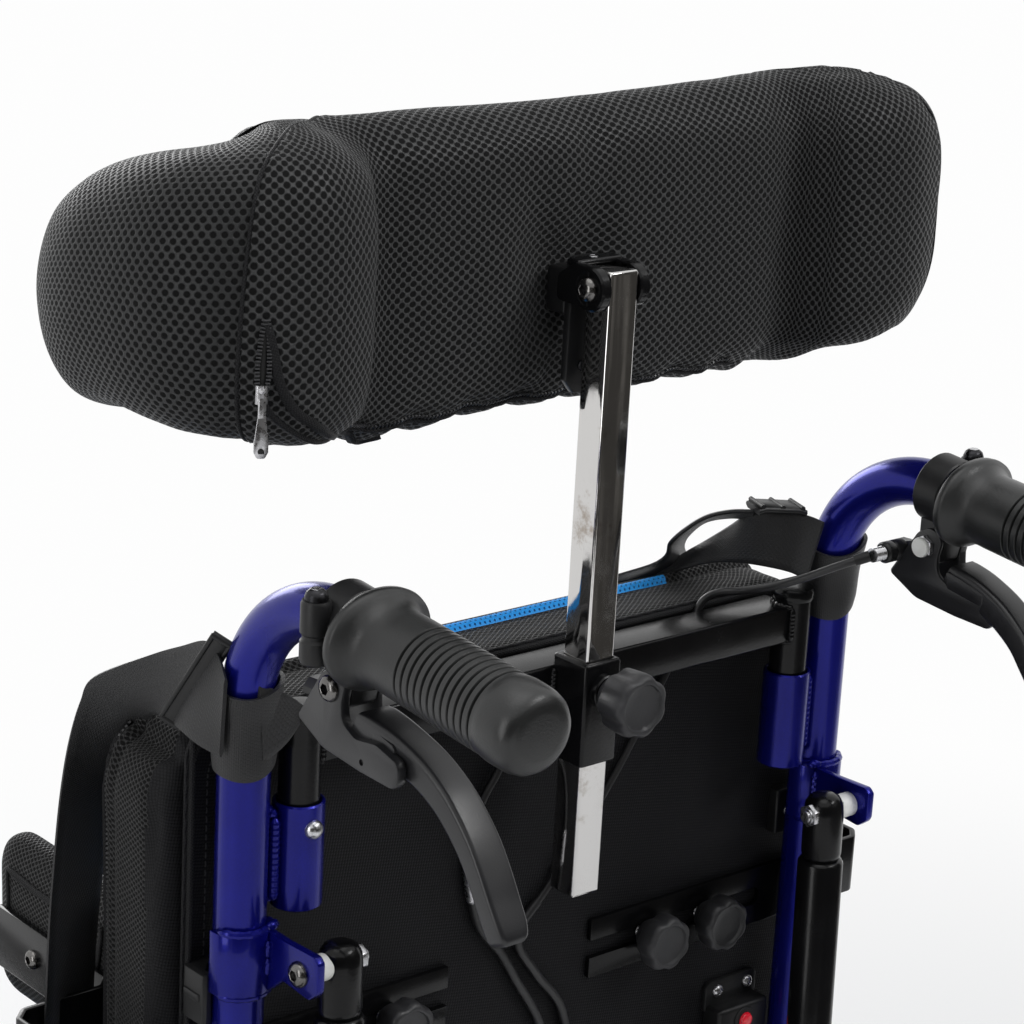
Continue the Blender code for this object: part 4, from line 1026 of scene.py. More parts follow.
def back_post(side, s):
    x, xs, e = s * POST_X, s * SLEEVE_X, STRUT_EYE
    line = bent([(x, 0, -17), (x, 0, HANDLE_TOP), (x, 162, handle(162))], BEND_R, 28)
    post = carve(tube(line, TUBE, 48), hub(5.3, s * 150, s * 190, 0, 0))
    sleeve = turned([(TUBE, 0.7), (TUBE, 46.3), (TUBE - 0.7, 47), (9.9, 47), (9.3, 46.3), (9.3, 0.7),
                     (9.9, 0),
                     (TUBE - 0.7, 0)], (xs, SLEEVE_N, 321.2), (xs, SLEEVE_N, 400), 48, True)
    shapes = [("blue", post), ("blue", sleeve),
              ("blue", box((min(x, xs), -1.6, 325), (max(x, xs), 3.6, 364), 0.6))]
    mid = (x + xs) / 2
    for n in (-3.4, 4.6):
        shapes.append(("blue", bead([(mid, n, 326), (mid, n, 363)], 2.5, 0.06, 2.6)))
    shapes.append(("blue", bead([(mid - 2, -3, 364.4), (mid + 2, 1.5, 365.6), (mid, 5.5, 364.2)], 2.3, 0.1,
                                3)))
    saddle = arc(x, 0, 14, -8, 189, 7) + arc(x, 0, 11, 188, -9, -7)
    shapes.append(("blue", prism(saddle, "Z", 289, 317, 0.5)))
    ear = rounded([(0, 290, 0), (0, 317, 0), (24, 316.5, 2), (44, 317.4, 3), (46.7, 315, 2), (46.7, 301.5, 5),
                   (41, 297, 3), (23, 298.5, 2), (13, 290, 2)], 2)
    shapes.append(("blue", prism(ear, "X", s * 160, s * 164, 0.7)))
    for top in (317.3, 288.8):
        line = [(a, b, top) for a, b in arc(x, 0, 12.4, 10, 171, 8)]
        shapes.append(("blue", bead(line, 1.9, 0.07, 4.2)))
    # the blob where the weld ends
    blob = [(s * 164, 11.2, 317.8), (s * 160, 10.4, 318), (s * 157.4, 8.0, 317.8)]
    shapes.append(("blue", bead(blob, 2.5, 0.1, 5)))
    for z in (301, 309):
        shapes.append(("blue", bead([(s * 164.4, 12.6, z - 4), (s * 164.4, 13.2, z + 4)], 1.6, 0.1, 3)))
    shapes.append(("blue", bead([(s * 159.6, 11.4, 291), (s * 159.6, 11.8, 315)], 1.7, 0.1, 3)))
    shapes += [("zinc", hub(3.9, s * 165, s * 131, e.y, e.z)),
               ("white", turned([(4.0, 0), (5.6, 0.1), (5.8, 0.6), (5.8, 10.2), (5.6, 10.6), (4.0, 10.6)],
                                (s * 149.6, e.y, e.z), (s * 161, e.y, e.z), 40)),
               ("nickel", screw(s * 164, e.y, e.z, (s, 0, 0), 5.6, 3.4)),
               ("zinc", nut(5.6, (s * 136.6, e.y, e.z), (-s, 0, 0), 4.6)),
               ("zinc", rod(2.9, (s * 133, e.y, e.z), (s * 130, e.y, e.z), 24, 0.6))]
    if s > 0:
        shapes.append(("zinc", turned([(4.2, 0), (4.2, 1.2), (3.7, 2.6), (2.6, 3.7), (1.2, 4.3), (0, 4.45)],
                                      (xs, SLEEVE_N + 10, 358), (xs, SLEEVE_N + 20, 358), 36)))
    plug = [(0, 0), (9.8, 0), (11, 1), (11, 2.2), (0, 2.2)]
    shapes.append(("plastic", turned(plug, (x, 0, -19.2), (x, 0, 0), 32)))
    piece("back_post_%s_tube" % side, shapes, BACK, "back", ["back_post_" + side])


def grip(side, s):
    """Ribbed hand grip: oval flange, body with grooves, domed end."""
    profile = [(0, 100.3), (9, 100.3), (12.4, 99.9), (14.9, 98.6), (16.5, 96.2), (17.3, 92.8), (17.5, 88),
               (17.5, 84), (17.2, 81.4), (16.9, 80.2)]
    for k in range(12):
        base = 78.2 - k * 3.9
        profile += [(16.9, base + 0.75), (16.6, base + 0.5), (15.3, base + 0.3), (15.2, base),
                    (15.3, base - 0.3),
                    (16.6, base - 0.5), (16.9, base - 0.75)]
    profile += [(16.8, 20), (16.6, 14), (17.6, 10.2), (20.2, 7), (22.4, 5.4), (22.8, 3.6), (22.4, 1.2),
                (21, 0),
                (12, 0)]

    def shape(r, h, a):
        # the flange is oval
        if h < 9 and r > 15:
            grown = 1 + 0.09 * math.cos(2 * a) * min(1, (9 - h) / 4)
            return r * grown, h
        return r, h
    body = turned(profile, on_handle(s * POST_X, 80.5), on_handle(s * POST_X, 180), 72, shape=shape)
    piece("hand_grip_%s_rubber" % side, [("rubber", body)], BACK, "back", ["hand_grip_" + side], 50)


def lever_clamp(side, s):
    x = s * POST_X
    ring = turned([(11.5, 0), (15.4, 0), (16, 0.7), (16, 13.3), (15.4, 14), (11.5, 14)], on_handle(x, 61),
                  on_handle(x, 75), 56, True)
    low, high = sorted((s * 161, s * 174.2))
    boss = s * 186.5
    edge = sorted((s * 178, s * 187))
    web = prism(rounded([(61, 437), (61, 466), (77, 466), (77, 452), (74, 437)], 3), "X", low, high, 1.0)
    arm = strip([(s * 167.6, 44, 436), (s * 167.6, 50, 436.5), (s * 167.6, 62, 441), (s * 167.6, 68, 449)],
                13, 9,
                (0, 0, 1))
    shapes = [("plastic", ring), ("plastic", web), ("plastic", arm),
              ("plastic", turned([(0, 0), (4.6, 0), (5.7, 1), (6.1, 3), (6.1, 9.5), (5.2, 10.6), (5.2, 12),
                                  (6.1, 13),
                                  (6.1, 24.5), (5.4, 26), (0, 26)], (boss, 67, 456), (boss, 67, 482), 40)),
              ("black_zinc", screw_head(4.7, (boss, 67, 482), (0, 0, 1), 4.4)),
              ("zinc", turned([(0, 0), (2.3, 0), (2.3, 3.4), (0, 3.4)], (boss, 67, 483.2), (boss, 67, 486),
                              6)),
              ("plastic", box((edge[0], 62, 462), (edge[1], 72, 476), 2.4)),
              ("black_zinc", hub(3, s * 173.8, s * 180.5, 68, 445)),
              ("zinc", rod(2.9, (s * 161.4, 68, 445), (s * 155.4, 68, 445), 24, 0.5)),
              ("zinc", nut(5.4, (s * 158.5, 68, 445), (-s, 0, 0), 2.6)),
              ("nickel", screw(s * 179.4, 68, 445, (s, 0, 0), 5.4, 3.0)),
              ("plastic", turned([(0, 0), (4.2, 0), (5, 0.8), (5, 6), (4.4, 7), (5, 8), (5, 12), (4.2, 13),
                                  (0, 13)],
                                 (s * 163, 50, 438), (s * 150, 50, 438), 32)),
              ("zinc", turned([(0, 0)] + [(3 + (0.35 if k % 2 else -0.2), 0.1 + k * 0.55) for k in range(14)]
                              + [(0, 7.6)], (s * 150.4, 50, 438), (s * 143, 50, 438), 24))]
    if s < 0:
        shapes.append(("white", rod(4.6, (s * 155.9, 68, 445), (s * 153.6, 68, 445), 24, 0.7)))
    for a in (-1, 1):
        spot = on_handle(x, 68)
        shapes.append(("plastic", box((x + 12 * s - 2, 61.3, spot.z - 4 + 5 * a),
                                      (x + 12 * s + 4, 74.5, spot.z - 1 + 5 * a), 1.0)))
    piece("lever_clamp_%s_body" % side, shapes, BACK, "back", ["lever_clamp_" + side])


def release_lever(side, s):
    path = [(80, 434, 8.2, 5.6, 168.4), (84, 432.4, 8.5, 6.8, 168), (92, 431, 8.3, 7, 167.6),
            (100, 429, 8, 7, 167),
            (110, 425.8, 7.9, 6.7, 166), (118, 422, 7.8, 6.3, 165), (127, 416, 7.8, 5.9, 164),
            (134, 409, 7.8, 5.6, 163), (141, 401, 7.8, 5.35, 162.4), (147, 392, 7.8, 5.2, 162),
            (152, 382.5, 7.7, 5.3, 161.4), (156, 375, 7.5, 5.5, 161), (158.4, 370.4, 6.6, 5.2, 161),
            (159.4, 368.4, 4.6, 3.8, 161)]
    rings = []
    line = curve(path, 3)
    for i, spot in enumerate(line):
        n, h, wide, deep, x = spot
        a, b = line[max(i - 1, 0)], line[min(i + 1, len(line) - 1)]
        run = Vector((0, b[0] - a[0], b[1] - a[1])).normalized()
        up = Vector((0, -run.z, run.y))
        # a shallow channel along the inner side
        ring = []
        for p in rect_ring(Vector((s * x, n, h)), Vector((1, 0, 0)), up, wide, deep, min(wide, deep) * 0.4,
                           5):
            off = p - Vector((s * x, n, h))
            t = max(0.0, 1 - (off.x / (wide * 0.7)) ** 2)
            down = off.dot(up)
            if down < 0 and 4 < i < len(line) - 5:
                p = p + up * (0.9 * t)
            ring.append(p)
        rings.append(ring)
    cheek = rounded([(47, 427, 2), (62, 450, 5), (70, 454.6, 6), (77, 450, 5), (75, 441, 3), (75.5, 433.5, 6),
                     (84, 429.5, 8), (97, 431.5, 8), (111, 428, 4), (111, 416.5, 5), (88, 417, 12),
                     (64, 419, 14)],
                    3)
    plate = carve(prism(cheek, "X", s * 174.5, s * 179.3, 1.1), hub(3.2, s * 170, s * 190, 68, 445),
                  hub(1.3, s * 178, s * 182, 89, 421.5))
    inner = rounded([(82, 428, 2), (104, 425, 3), (105, 432, 3), (90, 435.4, 5), (80, 437, 2)], 2)
    shapes = [("satin", skin(rings)), ("satin", plate), ("satin", prism(inner, "X", s * 158.6, s * 176, 1.2)),
              ("satin", prism(cheek, "X", s * 158.7, s * 161, 0.8)),
              ("nickel", rod(2.4, (s * 160, 96, 429.6), (s * 174, 96, 429.6), 20))]
    piece("release_lever_%s_blade" % side, shapes, BACK, "release_lever_" + side, ["release_lever_" + side],
          40)


def cable(side, points):
    """A release cable with its ferrule, and a barrel adjuster and thicker housing below ADJUSTER_Z."""
    line = curve(points, 7)
    shapes = [("cable", tube(line, 1.9, 16)), ("plastic", tube(line[:5], 2.6, 20))]
    k = next(i for i, spot in enumerate(line) if spot.z < ADJUSTER_Z)
    a = line[k]
    run = (line[k + 5] - a).normalized()
    knurl = [(0, 0), (2.2, 0)]
    knurl += [(2.75 + (0.25 if j % 2 else 0), 0.5 + j * 0.9) for j in range(18)] + [(2.2, 17.2), (0, 17.2)]
    shapes.append(("zinc", turned(knurl, a, a + run, 28)))
    shapes.append(("cable", tube(line[k + 5:], 2.25, 18)))
    piece("release_cable_%s_housing" % side, shapes, BACK, "back", ["release_cable_" + side], 40)


# Headrest on its crossbar

def crossbar():
    wall = SQUARE / 2 + 2.4
    inner = SQUARE / 2 + 0.3
    bar = box((-140, -12, 14 + T0), (140, 9, 32 + T0), 1.7)
    socket = box((-wall, SQUARE_N - wall - 1.5, T0 - 10), (wall, SQUARE_N + wall, T0 + 38), 1.6)
    well = box((-inner, SQUARE_N - inner, 300), (inner, SQUARE_N + inner, 450), 1.2)
    hole = rod(4.3, (0, SQUARE_N, T0 + 25), (0, SQUARE_N + 30, T0 + 25), 28, 0)
    shapes = [("black", carve(bar, well.copy())), ("black", carve(socket, well, hole)),
              ("black", turned([(4.3, 0), (6.8, 0), (8, 0.4), (8, 3.6), (7.4, 4.2), (4.3, 4.2)],
                               (0, SQUARE_N + wall - 0.2, T0 + 25), (0, SQUARE_N + wall + 9, T0 + 25), 40,
                               True))]
    front = SQUARE_N - wall - 1.2
    shapes.append(("black", bead([(-wall + 1, front, T0 + 32.8), (wall - 1, front, T0 + 32.8)], 1.6)))
    for e in (-1, 1):
        shapes.append(("black", bead([(e * (wall + 0.6), 9.2, T0 + 15), (e * (wall + 0.6), 9.2, T0 + 31)],
                                     1.7)))
    for s in (-1, 1):
        shapes.append(("black", turned([(0, 0), (7.4, 0), (8.9, 1.4), (8.9, 79.8), (9.6, 80), (9.9, 81),
                                        (9.9, 84.4),
                                        (9.1, 85.6), (0, 86.2)], (s * SLEEVE_X, SLEEVE_N, T0 - 46),
                                       (s * SLEEVE_X, SLEEVE_N, T0 + 38), 48)))
        for z in (14.6, 31.6):
            arc = [(s * SLEEVE_X - s * 9.2 * math.cos(math.radians(a)),
                    SLEEVE_N + 9.2 * math.sin(math.radians(a)), T0 + z) for a in range(-75, 50, 10)]
            shapes.append(("black", bead(arc, 1.5, 0.2, 2.6)))
        for a in (math.radians(44), math.radians(-76)):
            x, n = s * (SLEEVE_X - 9.2 * math.cos(a)), SLEEVE_N + 9.2 * math.sin(a)
            shapes.append(("black", bead([(x, n, T0 + 15), (x, n, T0 + 31)], 1.6)))
    piece("headrest_crossbar_bar", shapes, BACK, "back", ["headrest_crossbar"])


def headrest_post():
    half = SQUARE / 2
    low, high = T0 - 73.5, T0 + 211.0
    bar = box((-half, SQUARE_N - half, low), (half, SQUARE_N + half, high), 1.5)
    bore = box((-half + 1.6, SQUARE_N - half + 1.6, low - 10), (half - 1.6, SQUARE_N + half - 1.6, high - 24),
               0.5)
    shapes = [("chrome", carve(bar, bore, hub(3.2, -20, 20, SQUARE_N, TILT_S)))]
    shapes.append(("plastic", box((-half + 1.7, SQUARE_N - half + 1.7, low + 3),
                                  (half - 1.7, SQUARE_N + half - 1.7, low + 9), 0.4)))
    piece("headrest_post_chromed", shapes, BACK, "headrest_stem", ["headrest_post"])


def lobed_knob(node, body, centre, face, depth, radius, reach):
    """Star knob along Y: lobed body with a dished face, and the threaded stud ahead of it."""
    x, z = centre
    rings = []
    for n, scale, lobe in ((face - depth, 0.5, 0), (face - depth + 1, 0.56, 0),
                           (face - depth + 4.6, 0.62, 0.1),
                           (face - depth + 6.2, 0.86, 0.6), (face - depth + 7.2, 0.95, 1), (face - 6, 1.0, 1),
                           (face - 3, 1.0, 1), (face - 1.2, 0.965, 1), (face - 0.25, 0.9, 0.8),
                           (face, 0.82, 0.4),
                           (face - 0.3, 0.74, 0.2), (face - 1.5, 0.69, 0), (face - 1.9, 0.6, 0),
                           (face - 2.1, 0.3, 0),
                           (face - 2.1, 0.02, 0)):
        ring = []
        for k in range(98):
            a = TAU * k / 98
            deep = 0.10 * lobe * (0.5 - 0.5 * math.cos(7 * a)) ** 1.6
            ring.append((x + radius * scale * (1 - deep) * math.cos(a), n,
                         z + radius * scale * (1 - deep) * math.sin(a)))
        rings.append(ring)
    shapes = [("knob", skin(rings)),
              ("zinc", turned([(0, 0)] + [(3.6 + 0.35 * (k % 2), 0.2 + k * 0.6)
                                          for k in range(int((reach + 1) / 0.6))] + [(0, reach + 1)],
                              (x, face - depth + 1, z), (x, face - depth - reach, z), 24))]
    piece(node + "_star", shapes, BACK, body, [node], 42)


def headrest_knuckle():
    ts = TILT_S
    edge = rounded([(-9, ts - 44, 2), (-4, ts - 50, 2), (4, ts - 50, 2), (9, ts - 44, 2), (9, ts + 10, 3),
                    (-9, ts + 10, 3)], 2)
    shapes = [("plastic", prism(edge, "Y", -0.5, 3.5, 0.7)),
              ("plastic", box((-9, -13, ts - 16), (9, 0, ts + 4), 1.6))]
    for s in (-1, 1):
        low, high = sorted((s * (SQUARE / 2 + 0.4), s * 13.5))
        ear = rounded([(-1, ts - 8.5, 3), (SQUARE_N, ts - 8.5, 1), (SQUARE_N, ts + 9.2, 1), (9, ts + 9.6, 4),
                       (-1, ts + 3, 5)], 2)
        shapes.append(("black", prism(ear, "X", low, high, 0.9)))
        shapes.append(("black", turned([(3, 0), (9, 0), (9.7, 0.7), (9.7, 4.4), (8.8, 5.2), (7.6, 5.2),
                                        (7.2, 4.8),
                                          (3, 4.8)], (s * (SQUARE / 2 + 0.4), SQUARE_N, ts),
                                         (s * 20, SQUARE_N, ts), 48)))
    shapes += [("black", box((-12.6, 3, ts + 7.4), (12.6, 11.5, ts + 10.6), 1.5)),
               ("zinc", tube(ring_of((1, 7.4, ts + 10.6), (0, 0, 1), 1.7, 20)[:-1], 0.35, 8, True)),
               # a dark disc inside the ring: painted shade in its hole
               ("dark", rod(1.4, (1, 7.4, ts + 10.4), (1, 7.4, ts + 10.75), 20, 0)),
               ("black_zinc", hub(2.9, -17, 15, SQUARE_N, ts)),
               ("nickel", screw(13.2, SQUARE_N, ts, (1, 0, 0), 5.4, 3.6)),
               ("black_zinc", nut(4.7, (-13.2, SQUARE_N, ts), (-1, 0, 0), 3.8)),
               ("black_zinc", rod(2.7, (-16, SQUARE_N, ts), (-18.4, SQUARE_N, ts), 24, 0.5)),
               ("black_zinc", screw_head(2.6, (0, 3.4, ts - 38), (0, 1, 0), 1.5))]
    piece("headrest_knuckle_bracket", shapes, BACK, "headrest", ["headrest_knuckle"])


# Struts

def along_strut(k, s):
    line = STRUT_FOOT - STRUT_EYE
    spot = STRUT_EYE + line * (k / line.length)
    return Vector((s * STRUT_X, spot.y, spot.z))


def strut(side, s):
    eye, foot = STRUT_EYE, STRUT_FOOT
    a, b = along_strut(0, s), along_strut(100, s)
    up = (b - a).normalized()

    def at(profile, steps=48):
        return turned(profile, a, a + up, steps)
    top = at([(0, -9.4), (4, -9.2), (7.2, -7.6), (9, -4.6), (9.5, 0), (9.5, 20), (9.0, 22.4), (7.6, 24),
              (0, 24)])
    dome = carve(top, hub(4.1, s * 120, s * 160, eye.y, eye.z, 32, 0))
    cyl = at([(0, 23.2), (8.4, 23.2), (10.0, 24), (10.8, 25.4), (10.8, 207), (12, 208), (12.2, 211),
              (12.2, 219),
              (11.4, 221.6), (4.6, 222), (4.6, 221), (0, 221)], 56)
    groove = at([(10.6, 196), (11.1, 197), (11.1, 199), (10.6, 200)])
    shapes = [("black", dome), ("black", cyl), ("black", groove)]
    piece("strut_cylinder_%s_body" % side, shapes, BACK, "strut_cylinder_" + side, ["strut_cylinder_" + side])
    end = carve(hub(12.8, s * (STRUT_X - 6), s * (STRUT_X + 6), foot.y, foot.z, 48, 1.4),
                hub(7.1, s * 120, s * 160, foot.y, foot.z, 36, 0))
    shapes = [("chrome", at([(0, 86), (4.3, 86), (4.3, 300.4), (5.8, 301), (5.8, 331), (0, 331)], 36)),
              ("black", end),
              ("zinc", at([(4.3, 296), (6.6, 296.2), (6.9, 297), (6.9, 300.6), (6.6, 301.2), (4.3, 301.2)],
                          6))]
    piece("strut_rod_%s_shaft" % side, shapes, BACK, "strut_rod_" + side, ["strut_rod_" + side])


# Lateral supports and push-button box

def lateral_bar(side, s):
    n = -15.2
    line = arc_line([(43, n), (221, n), (227, n - 6), (227, -79), (221, -85), (181, -85), (175, -91),
                     (175, -182)],
                    4.0)
    outline = [(s * a, b) for a, b in slab(line, 3.0)]
    bar = prism(outline, "Z", LATERAL_S - 15, LATERAL_S + 15, 0.7)
    low, high = sorted((s * 20, s * 150.0))
    slot = box((low, n - 5, LATERAL_S - 4.6), (high, n + 5, LATERAL_S + 4.6), 0)
    end = rod(4.6, (s * 150, n - 5, LATERAL_S), (s * 150, n + 5, LATERAL_S), 32, 0)
    shapes = [("black", carve(bar, slot, end))]
    for y in (-150, -128):
        shapes.append(("nickel", screw(s * 176.4, y, LATERAL_S, (s, 0, 0), 4.6, 2.8)))
    piece("lateral_arm_%s_bar" % side, shapes, BACK, "lateral_" + side, ["lateral_arm_" + side])


def button_box():
    top = T0 - 180
    spot = (-141, top - 8)
    body = box((-157.5, -16.9, top - 48), (-124, -4, top), 2.2)
    flange = prism(rounded([(-157.5, top - 5), (-123, top - 5), (-123, top + 11.5), (-157.5, top + 11.5)],
                           3.5), "Y",
                   -16.9, -14, 0.6)
    ring = turned([(4.1, 0), (6.2, 0), (6.5, 0.4), (6.2, 1.0), (4.1, 1.2)], (spot[0], -4.2, spot[1]),
                  (spot[0], 0, spot[1]), 40, True)
    shapes = [("plastic", carve(body, rod(4.1, (spot[0], -10.6, spot[1]), (spot[0], 5, spot[1]), 40, 0))),
              ("plastic", flange), ("plastic", ring)]
    for x in (-131, -151):
        shapes.append(("zinc", screw_head(3.2, (x, -14, top + 6), (0, 1, 0), 1.9)))
    shapes.append(("plastic", box((-154, -4.4, top - 44), (-128, -3.4, top - 20), 0.5)))
    piece("button_box_case", shapes, BACK, "back", ["button_box"])
    cap = turned([(0, 0), (3.9, 0), (3.9, 5.2), (3.4, 6.0), (2.2, 6.3), (0, 6.4)], (spot[0], -7.6, spot[1]),
                 (spot[0], 0, spot[1]), 40)
    piece("push_button_cap", [("red", cap)], BACK, "red_button", ["push_button"])


# Fabric

def cut_from(bm, look, keep):
    """The faces whose numbers are in keep, as a shape of their own in this look."""
    copy = bm.copy()
    bmesh.ops.delete(copy, geom=[f for f in copy.faces if f.index not in keep], context="FACES")
    return look, copy


def plain(obj):
    """obj's evaluated mesh in obj's place."""
    graph = bpy.context.evaluated_depsgraph_get()
    mesh = bpy.data.meshes.new_from_object(obj.evaluated_get(graph))
    obj.modifiers.clear()
    old = obj.data
    obj.data = mesh
    bpy.data.meshes.remove(old)
    return obj


FRAMES, PRESSURE, STIFF = 20, 4.0, 15.0


def inflate(bm, cap, shrink, held):
    """Cloth under pressure on the mesh's own grid; no point moves further than cap (mm). UVs stay."""
    bmesh.ops.recalc_face_normals(bm, faces=bm.faces)
    rest = [v.co.copy() for v in bm.verts]
    bm.normal_update()
    for v in bm.verts:
        v.co = v.co - v.normal * shrink
    mesh = bpy.data.meshes.new("cloth")
    bm.to_mesh(mesh)
    mesh.transform(Matrix.Scale(0.001, 4))
    obj = bpy.data.objects.new("cloth", mesh)
    bpy.context.scene.collection.objects.link(obj)
    cloth = obj.modifiers.new("cloth", "CLOTH")
    s = cloth.settings
    s.quality = 6
    s.mass = 0.3
    s.tension_stiffness = s.compression_stiffness = STIFF
    s.shear_stiffness = STIFF / 2
    s.bending_stiffness = 0.5
    s.use_pressure = True
    s.uniform_pressure_force = PRESSURE
    s.effector_weights.gravity = 0
    if held:
        group = obj.vertex_groups.new(name="held")
        group.add([i for i, p in enumerate(rest) if held(p)], 1.0, "ADD")
        s.vertex_group_mass = "held"
    cloth.point_cache.frame_start, cloth.point_cache.frame_end = 1, FRAMES
    scene = bpy.context.scene
    for f in range(1, FRAMES + 1):
        scene.frame_set(f)
    graph = bpy.context.evaluated_depsgraph_get()
    done = obj.evaluated_get(graph).data
    moved = [v.co * 1000 for v in done.vertices]
    scene.frame_set(1)
    bpy.data.objects.remove(obj, do_unlink=True)
    bpy.data.meshes.remove(mesh)
    bm.verts.ensure_lookup_table()
    for v, p, q in zip(bm.verts, rest, moved):
        off = q - p
        if off.length > cap:
            off *= cap / off.length
        v.co = p + off
    return bm


def relax(bm):
    bmesh.ops.smooth_vert(bm, verts=bm.verts, factor=0.3, use_axis_x=True, use_axis_y=True, use_axis_z=True)


def finer(bm):
    """One subdivision, smooth, UVs kept."""
    mesh = bpy.data.meshes.new("fine")
    bm.to_mesh(mesh)
    bm.free()
    obj = bpy.data.objects.new("fine", mesh)
    bpy.context.scene.collection.objects.link(obj)
    sub = obj.modifiers.new("sub", "SUBSURF")
    sub.levels = sub.render_levels = 1
    plain(obj)
    out = bmesh.new()
    out.from_mesh(obj.data)
    bpy.data.objects.remove(obj, do_unlink=True)
    return out


def surface(bm):
    return BVHTree.FromBMesh(bm)


def on_skin(tree, point, lift=0.0):
    """The nearest point of a skin, lifted off it, with its normal."""
    spot, normal, _, _ = tree.find_nearest(Vector(point))
    return spot + normal * lift, normal


def seam(tree, points, radius, lift=0.0, steps=5, closed=False):
    """Piping laid along a skin."""
    line = [on_skin(tree, p, lift)[0] for p in curve(points, steps, closed)]
    return tube(line, radius, 8, closed)


def stitches(tree, points, pitch, length, radius):
    """A row of short raised stitches laid on a skin."""
    line = [on_skin(tree, p, 0.1)[0] for p in curve(points, 8)]
    out, walked, target = [], 0.0, 0.0
    for a, b in zip(line, line[1:]):
        step = (b - a).length
        while target < walked + step:
            f = (target - walked) / max(step, 1e-6)
            mid = a.lerp(b, f)
            run = (b - a).normalized()
            up = on_skin(tree, mid)[1]
            out.append(tube([mid - run * length / 2 - up * 0.3, mid - run * length / 4 + up * 0.1,
                             mid + run * length / 4 + up * 0.1, mid + run * length / 2 - up * 0.3], radius,
                            5))
            target += pitch
        walked += step
    return joined(out)


def teeth(points, tree, pitch, wide, lift):
    """A row of zip teeth on a skin."""
    line = [on_skin(tree, p, lift)[0] for p in curve(points, 8)]
    out, walked, target = [], 0.0, 0.0
    for a, b in zip(line, line[1:]):
        step = (b - a).length
        while target < walked + step:
            f = (target - walked) / max(step, 1e-6)
            mid = a.lerp(b, f)
            run = (b - a).normalized()
            up = on_skin(tree, mid)[1]
            side = run.cross(up).normalized()
            out.append(strip([mid - side * wide / 2, mid + side * wide / 2], pitch * 0.55, 1.0, up))
            target += pitch
        walked += step
    return joined(out)


def cushion_block(half, cell, round_by, centre, cap, crown, held, shrink):
    """A padded block: even grid, blown up by the cloth solver, smoothed and made finer."""
    bm = grid_block(half, cell, round_by)
    if crown:
        for v in bm.verts:
            v.co = crown(v.co.copy())
    bmesh.ops.translate(bm, vec=centre, verts=bm.verts)
    boxed_uv(bm)
    inflate(bm, cap, shrink, held)
    relax(bm)
    return finer(bm)


def edge_path(half, centre, axis, at, corner):
    """A closed run round a block's sides at a given level of one axis."""
    others = [i for i in range(3) if i != axis]
    a, b = half[others[0]], half[others[1]]
    flat = rounded([(a, b), (-a, b), (-a, -b), (a, -b)], corner, 5)
    out = []
    for p, q in flat:
        spot = [0.0, 0.0, 0.0]
        spot[others[0]], spot[others[1]], spot[axis] = p, q, at
        out.append(Vector(spot) + Vector(centre))
    return out


# x, n, half thickness, half height and middle height along one half of the pad
PAD_PATH = [(0, -33, 21, 71, 207), (45, -34, 22, 71, 206.5), (90, -35, 22, 72, 205.5),
            (122, -36, 22, 73, 205),
            (141, -30, 32, 72, 207), (158, -22, 42, 69, 210), (178, -34, 46, 62, 209.5),
            (188, -70, 38, 56.5, 204.5),
            (185, -98, 34, 51, 197), (178, -119, 26, 36, 198), (173, -132, 13, 21, 198)]


# pixels of the photograph along the zip at the pad's near lower corner
ZIP_TAPE = ((266, 324), (273, 350), (280, 384), (296, 412), (322, 430), (352, 440), (380, 436))
ZIP_EDGE = ((262, 398), (272, 416), (296, 434), (326, 445), (352, 447))
ZIP_ROWS = (((264, 320), (260, 345), (257, 368), (257, 388)),
            ((268, 320), (269, 345), (269, 370), (266, 390)))
ZIP_GAP = ((265, 330), (264, 350), (263, 370), (262, 386))
ZIP_END = (261, 391)


def pad_spine():
    """The pad's path from wing to wing; the far side stands a little higher."""
    far = [(-x, n, half, tall, mid + x * 0.022) for x, n, half, tall, mid in reversed(PAD_PATH[1:])]
    return far + PAD_PATH


def pad_ring(spot, run, steps):
    x, n, half, tall, mid = spot
    out = Vector((-run.y, run.x, 0))
    ring = []
    for k in range(steps):
        a = TAU * k / steps - math.pi / 2
        c, d = math.cos(a), math.sin(a)
        tip = max(0.0, min(1.0, (-n - 25) / 50)) if abs(x) > 150 else 0.0
        c = math.copysign(abs(c) ** (0.7 + 0.2 * tip), c)
        d = math.copysign(abs(d) ** (0.55 + 0.3 * tip), d)
        ring.append(Vector((x + PAD_X, n, mid + T0)) + out * half * c + Vector((0, 0, tall * d)))
    return ring


def even(ring, count):
    """The ring with its points spaced evenly."""
    total = [0.0]
    for a, b in zip(ring, ring[1:] + ring[:1]):
        total.append(total[-1] + (b - a).length)
    out, k = [], 0
    for i in range(count):
        target = total[-1] * i / count
        while total[k + 1] < target:
            k += 1
        f = (target - total[k]) / (total[k + 1] - total[k])
        out.append(ring[k].lerp(ring[(k + 1) % len(ring)], f))
    return out


def loops_of(edges):
    """The closed runs of points that a plane's cut leaves."""
    links = {}
    for e in edges:
        a, b = e.verts
        links.setdefault(a, []).append(b)
        links.setdefault(b, []).append(a)
    left, out = set(links), []
    while left:
        here = min(left, key=lambda v: (round(v.co.z, 3), round(v.co.y, 3), v.index))
        line = []
        while here is not None:
            line.append(here.co.copy())
            left.discard(here)
            here = next((v for v in links[here] if v in left), None)
        if len(line) > 12:
            out.append(line)
    return out


